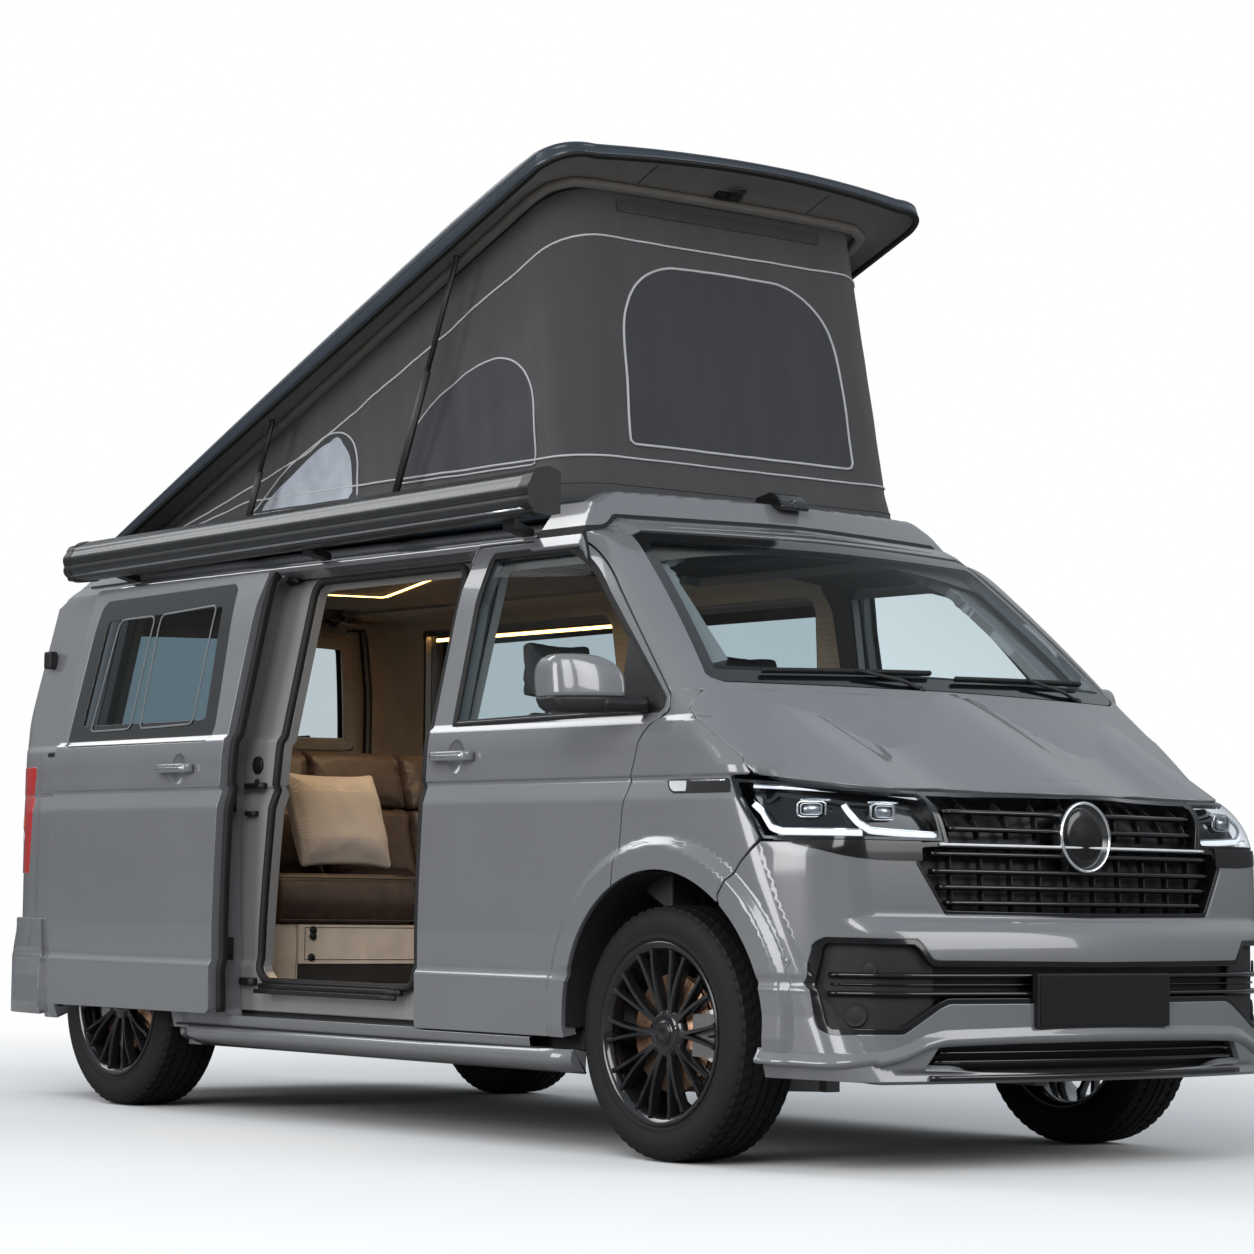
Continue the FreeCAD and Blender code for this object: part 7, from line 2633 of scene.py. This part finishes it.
def cabinet():
    case = prismPiece("cabinet_case", [(-1956, 444), (-104, 444), (-104, 1112, 0), (-1956, 1112)], 0.566,
                      0.808, "beige", edge=0.006)
    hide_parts("side_cabinet")
    softBox("cabinet_worktop", (-1.958, 0.5605, 1.1125), (-0.102, 0.811, 1.1195), "satinBlack",
            edge=0.002)
    lines = []
    for x in spread(-1.72, -0.34, 0.46):
        lines.append(softBox("gap", (x - 0.0012, 0.5645, 0.49), (x + 0.0012, 0.5665, 1.10), "rubber",
                             edge=0.0004))
    for z in (0.49, 0.80, 1.10):
        lines.append(softBox("gap", (-1.94, 0.5645, z - 0.0012), (-0.12, 0.5665, z + 0.0012), "rubber",
                             edge=0.0004))
    joined("cabinet_gaps", lines)
    latches = []
    for x in spread(-1.49, -0.57, 0.46):
        for z in (0.86, 1.04):
            latches.append(turnedPiece("latch", [(0.0, 0.012), (0.004, 0.012), (0.006, 0.009),
                                                 (0.006, 0.0)], np.array((x, 0.565, z)), "satinBlack",
                                       axis="Y", aim=(0, -1, 0), count=20))
    joined("cabinet_latches", latches)


def rearWindowFrame():
    # a pale surround on the inside of the tailgate's window
    path, normals = skinLine(bothHalves([(0, 1330), (600, 1338), (536, 1730), (0, 1748)]), -0.054, 1,
                             closed=True, view="rear")
    sweptPiece("tailgate_window_frame", path, -normals, roundBar(0.050, 0.018, 0.4), "trimBeige",
               "tailgate", closed=True)


benchSeat()
benchBase()
cabSeats()
steeringWheel()
dashboard()
ceilingAndLights()
cabinet()
rearWindowFrame()

print("running gear")

def dressed(node, material):
    # a node that keeps its own shape gets its finish here
    for piece in bpy.data.objects:
        if piece.name == node or piece.name.startswith(node + "."):
            for place in piece.material_slots:
                place.material = material


for nodeName, finishName in (("roof_frame", "shell"), ("front_subframe", "castMetal"),
                             ("rear_axle", "chassis"), ("fuel_tank", "chassis"),
                             ("engine_block", "castMetal"), ("knuckle_left", "castMetal"),
                             ("knuckle_right", "castMetal")):
    dressed(nodeName, finish[finishName])


def exhaust():
    pipe = [(1.42, 0.10, 0.330), (1.10, 0.10, 0.318), (0.60, 0.14, 0.316), (0.10, 0.16, 0.316),
            (-0.40, 0.16, 0.316), (-0.95, 0.18, 0.320), (-1.12, 0.24, 0.440), (-1.43, 0.30, 0.520),
            (-1.70, 0.34, 0.440), (-1.90, 0.40, 0.330), (-2.10, 0.46, 0.300), (-2.20, 0.50, 0.290)]
    smooth = resampled(np.array([row[:2] for row in pipe]), 0.04)
    heights = np.interp(-smooth[:, 0], [-row[0] for row in pipe], [row[2] for row in pipe])
    line = np.column_stack([smooth, heights])
    for _ in range(6):
        line[1:-1] = (line[:-2] + 2 * line[1:-1] + line[2:]) / 4
    sweptPiece("exhaust_pipe", line, (0, 1, 0.2), ringBar(0.027, 16), "castMetal")
    for x0, x1, y, z, r in ((0.15, 0.62, 0.15, 0.316, 0.062), (-2.04, -1.80, 0.41, 0.330, 0.072)):
        profile = [(0, 0.030), (0.03, r * 0.9), (0.05, r), (x1 - x0 - 0.05, r), (x1 - x0 - 0.03, r * 0.9),
                   (x1 - x0, 0.030)]
        turnedPiece("exhaust_box_%d" % round(x0 * 100), profile, np.array((x0, y, z)), "castMetal",
                    axis="X", aim=(1, 0, 0), count=32)


def engineTop():
    # covers, pipes and a battery box over the plain block below the bonnet
    prismPiece("engine_cover", [(1660, 902), (2100, 902), (2100, 935, 6), (1660, 950, 6)], -0.26, 0.26,
               "dash", edge=0.014, segments=3)
    ribs = [softBox("rib", (1.70 + 0.06 * k, -0.20, 0.944), (1.715 + 0.06 * k, 0.20, 0.956), "satinBlack",
                    edge=0.003) for k in range(6)]
    joined("engine_cover_ribs", ribs)
    softBox("battery_box", (1.64, 0.40, 0.80), (1.90, 0.60, 0.985), "satinBlack",
            edge=0.012)
    softBox("air_filter_box", (1.66, -0.62, 0.80), (2.00, -0.38, 0.975), "satinBlack",
            edge=0.02, segments=3)
    hose = [(1.98, -0.50, 0.93), (2.05, -0.42, 0.955), (2.06, -0.28, 0.965), (1.98, -0.16, 0.965)]
    sweptPiece("intake_hose", resampled(np.array(hose), 0.015), (0, 0, 1), ringBar(0.032, 16), "rubber")


exhaust()
engineTop()

print("floor, light and camera")

studio = {
    "floor": 60.0, "floorColour": (0.86, 0.86, 0.86), "worldStrength": 0.85, "cabin": 6.5,
    "sky": [(0.0, 0.12), (0.10, 0.20), (0.26, 0.42), (0.55, 0.60), (1.0, 0.55)], "floorSeen": 0.30,
    # lamps: place, power and width
    "key": (8.0, -10.0, 7.0, 900.0, 7.0), "side": (-2.0, -13.0, 3.4, 520.0, 5.0),
    "fill": (11.0, 5.0, 6.0, 420.0, 6.0), "back": (-9.0, -4.0, 9.0, 420.0, 6.0),
    "eye": (9.359, -7.318, 0.750), "yaw": 141.217, "pitch": 4.375, "roll": 0.792, "lens": 101.22,
}


def makeFloor():
    # a wide pale floor that runs out into the pale backdrop
    half = studio["floor"]
    mesh = bpy.data.meshes.new("studioFloor")
    mesh.from_pydata([(-half, -half, 0), (half, -half, 0), (half, half, 0), (-half, half, 0)], [],
                     [(0, 1, 2, 3)])
    floor = bpy.data.objects.new("studioFloor", mesh)
    bpy.context.collection.objects.link(floor)
    mat = bpy.data.materials.new("paleFloor")
    mat.use_nodes = True
    tree = mat.node_tree
    tree.nodes.clear()
    matt = addNode(tree, "ShaderNodeBsdfDiffuse", {"Color": (*studio["floorColour"], 1)})
    white = addNode(tree, "ShaderNodeEmission", {"Color": (1, 1, 1, 1), "Strength": 1.0})
    # far from the object the floor turns into the white of the backdrop
    where = addNode(tree, "ShaderNodeNewGeometry")
    length = addNode(tree, "ShaderNodeVectorMath", {0: where.outputs["Position"]}, operation="LENGTH")
    far = addNode(tree, "ShaderNodeMapRange", {"Value": length.outputs["Value"], "From Min": 3.4,
                                               "From Max": 7.5})
    rays = addNode(tree, "ShaderNodeLightPath")
    seen = addNode(tree, "ShaderNodeMath", {0: rays.outputs["Is Camera Ray"],
                                            1: rays.outputs["Is Transmission Ray"]}, operation="ADD",
                   use_clamp=True)
    fac = addNode(tree, "ShaderNodeMath", {0: far.outputs[0], 1: seen.outputs[0]}, operation="MULTIPLY")
    # a deeper tone for what the object itself picks up from the floor
    deep = addNode(tree, "ShaderNodeBsdfDiffuse", {"Color": (studio["floorSeen"],) * 3 + (1,)})
    near = addNode(tree, "ShaderNodeMixShader", {"Fac": rays.outputs["Is Camera Ray"], 1: deep.outputs[0],
                                                 2: matt.outputs[0]})
    mix = addNode(tree, "ShaderNodeMixShader", {"Fac": fac.outputs[0], 1: near.outputs[0],
                                                2: white.outputs[0]})
    addNode(tree, "ShaderNodeOutputMaterial", {"Surface": mix.outputs[0]})
    mesh.materials.append(mat)


def makeWorld():
    world = bpy.data.worlds.new("studioWorld")
    bpy.context.scene.world = world
    world.use_nodes = True
    tree = world.node_tree
    tree.nodes.clear()
    where = addNode(tree, "ShaderNodeTexCoord")
    split = addNode(tree, "ShaderNodeSeparateXYZ", {"Vector": where.outputs["Generated"]})
    ramp = addNode(tree, "ShaderNodeValToRGB", {"Fac": split.outputs["Z"]})
    bands = studio["sky"]
    for place, tone in bands[1:-1]:
        ramp.color_ramp.elements.new(place)
    for element, (place, tone) in zip(ramp.color_ramp.elements, bands):
        element.position = place
        cool = 0.06 + 0.10 * place
        element.color = (tone * (1.04 - cool), tone, tone * (0.96 + cool), 1)
    plain = addNode(tree, "ShaderNodeBackground", {"Color": ramp.outputs[0],
                                                   "Strength": studio["worldStrength"]})
    white = addNode(tree, "ShaderNodeBackground", {"Color": (1, 1, 1, 1), "Strength": 1.0})
    rays = addNode(tree, "ShaderNodeLightPath")
    seen = addNode(tree, "ShaderNodeMath", {0: rays.outputs["Is Camera Ray"],
                                            1: rays.outputs["Is Transmission Ray"]}, operation="ADD",
                   use_clamp=True)
    mix = addNode(tree, "ShaderNodeMixShader", {"Fac": seen.outputs[0], 1: plain.outputs[0],
                                                2: white.outputs[0]})
    addNode(tree, "ShaderNodeOutputWorld", {"Surface": mix.outputs[0]})


def makeLamp(name, place, power, size, colour=(1, 1, 1), aim=None):
    data = bpy.data.lights.new(name + "Lamp", "AREA")
    data.energy, data.size, data.color = power, size, colour
    lamp = bpy.data.objects.new(name + "Lamp", data)
    lamp.location = place
    if aim:
        lamp.rotation_euler = (Vector(aim) - Vector(place)).to_track_quat("-Z", "Y").to_euler()
    bpy.context.collection.objects.link(lamp)


def makeCamera():
    yaw, pitch, tilt = (math.radians(studio[k]) for k in ("yaw", "pitch", "roll"))
    ahead = Vector((math.cos(pitch) * math.cos(yaw), math.cos(pitch) * math.sin(yaw), math.sin(pitch)))
    right = ahead.cross(Vector((0, 0, 1))).normalized()
    up = right.cross(ahead)
    rightTilted = math.cos(tilt) * right + math.sin(tilt) * up
    upTilted = -math.sin(tilt) * right + math.cos(tilt) * up
    data = bpy.data.cameras.new("studioCamera")
    data.lens = studio["lens"]
    data.sensor_width = 36.0
    camera = bpy.data.objects.new("studioCamera", data)
    camera.matrix_world = Matrix.Translation(studio["eye"]) @ Matrix((rightTilted, upTilted,
                                                                      -ahead)).transposed().to_4x4()
    bpy.context.collection.objects.link(camera)
    bpy.context.scene.camera = camera


makeFloor()
makeWorld()
for lampName in ("key", "side", "fill", "back"):
    x, y, z, power, size = studio[lampName]
    makeLamp(lampName, (x, y, z), power, size, aim=(0, 0, 1.2))
makeLamp("cabin", (-0.70, -0.10, 1.80), studio["cabin"], 0.9, (1.0, 0.74, 0.46))
makeCamera()
bpy.context.scene.view_settings.view_transform = "Standard"
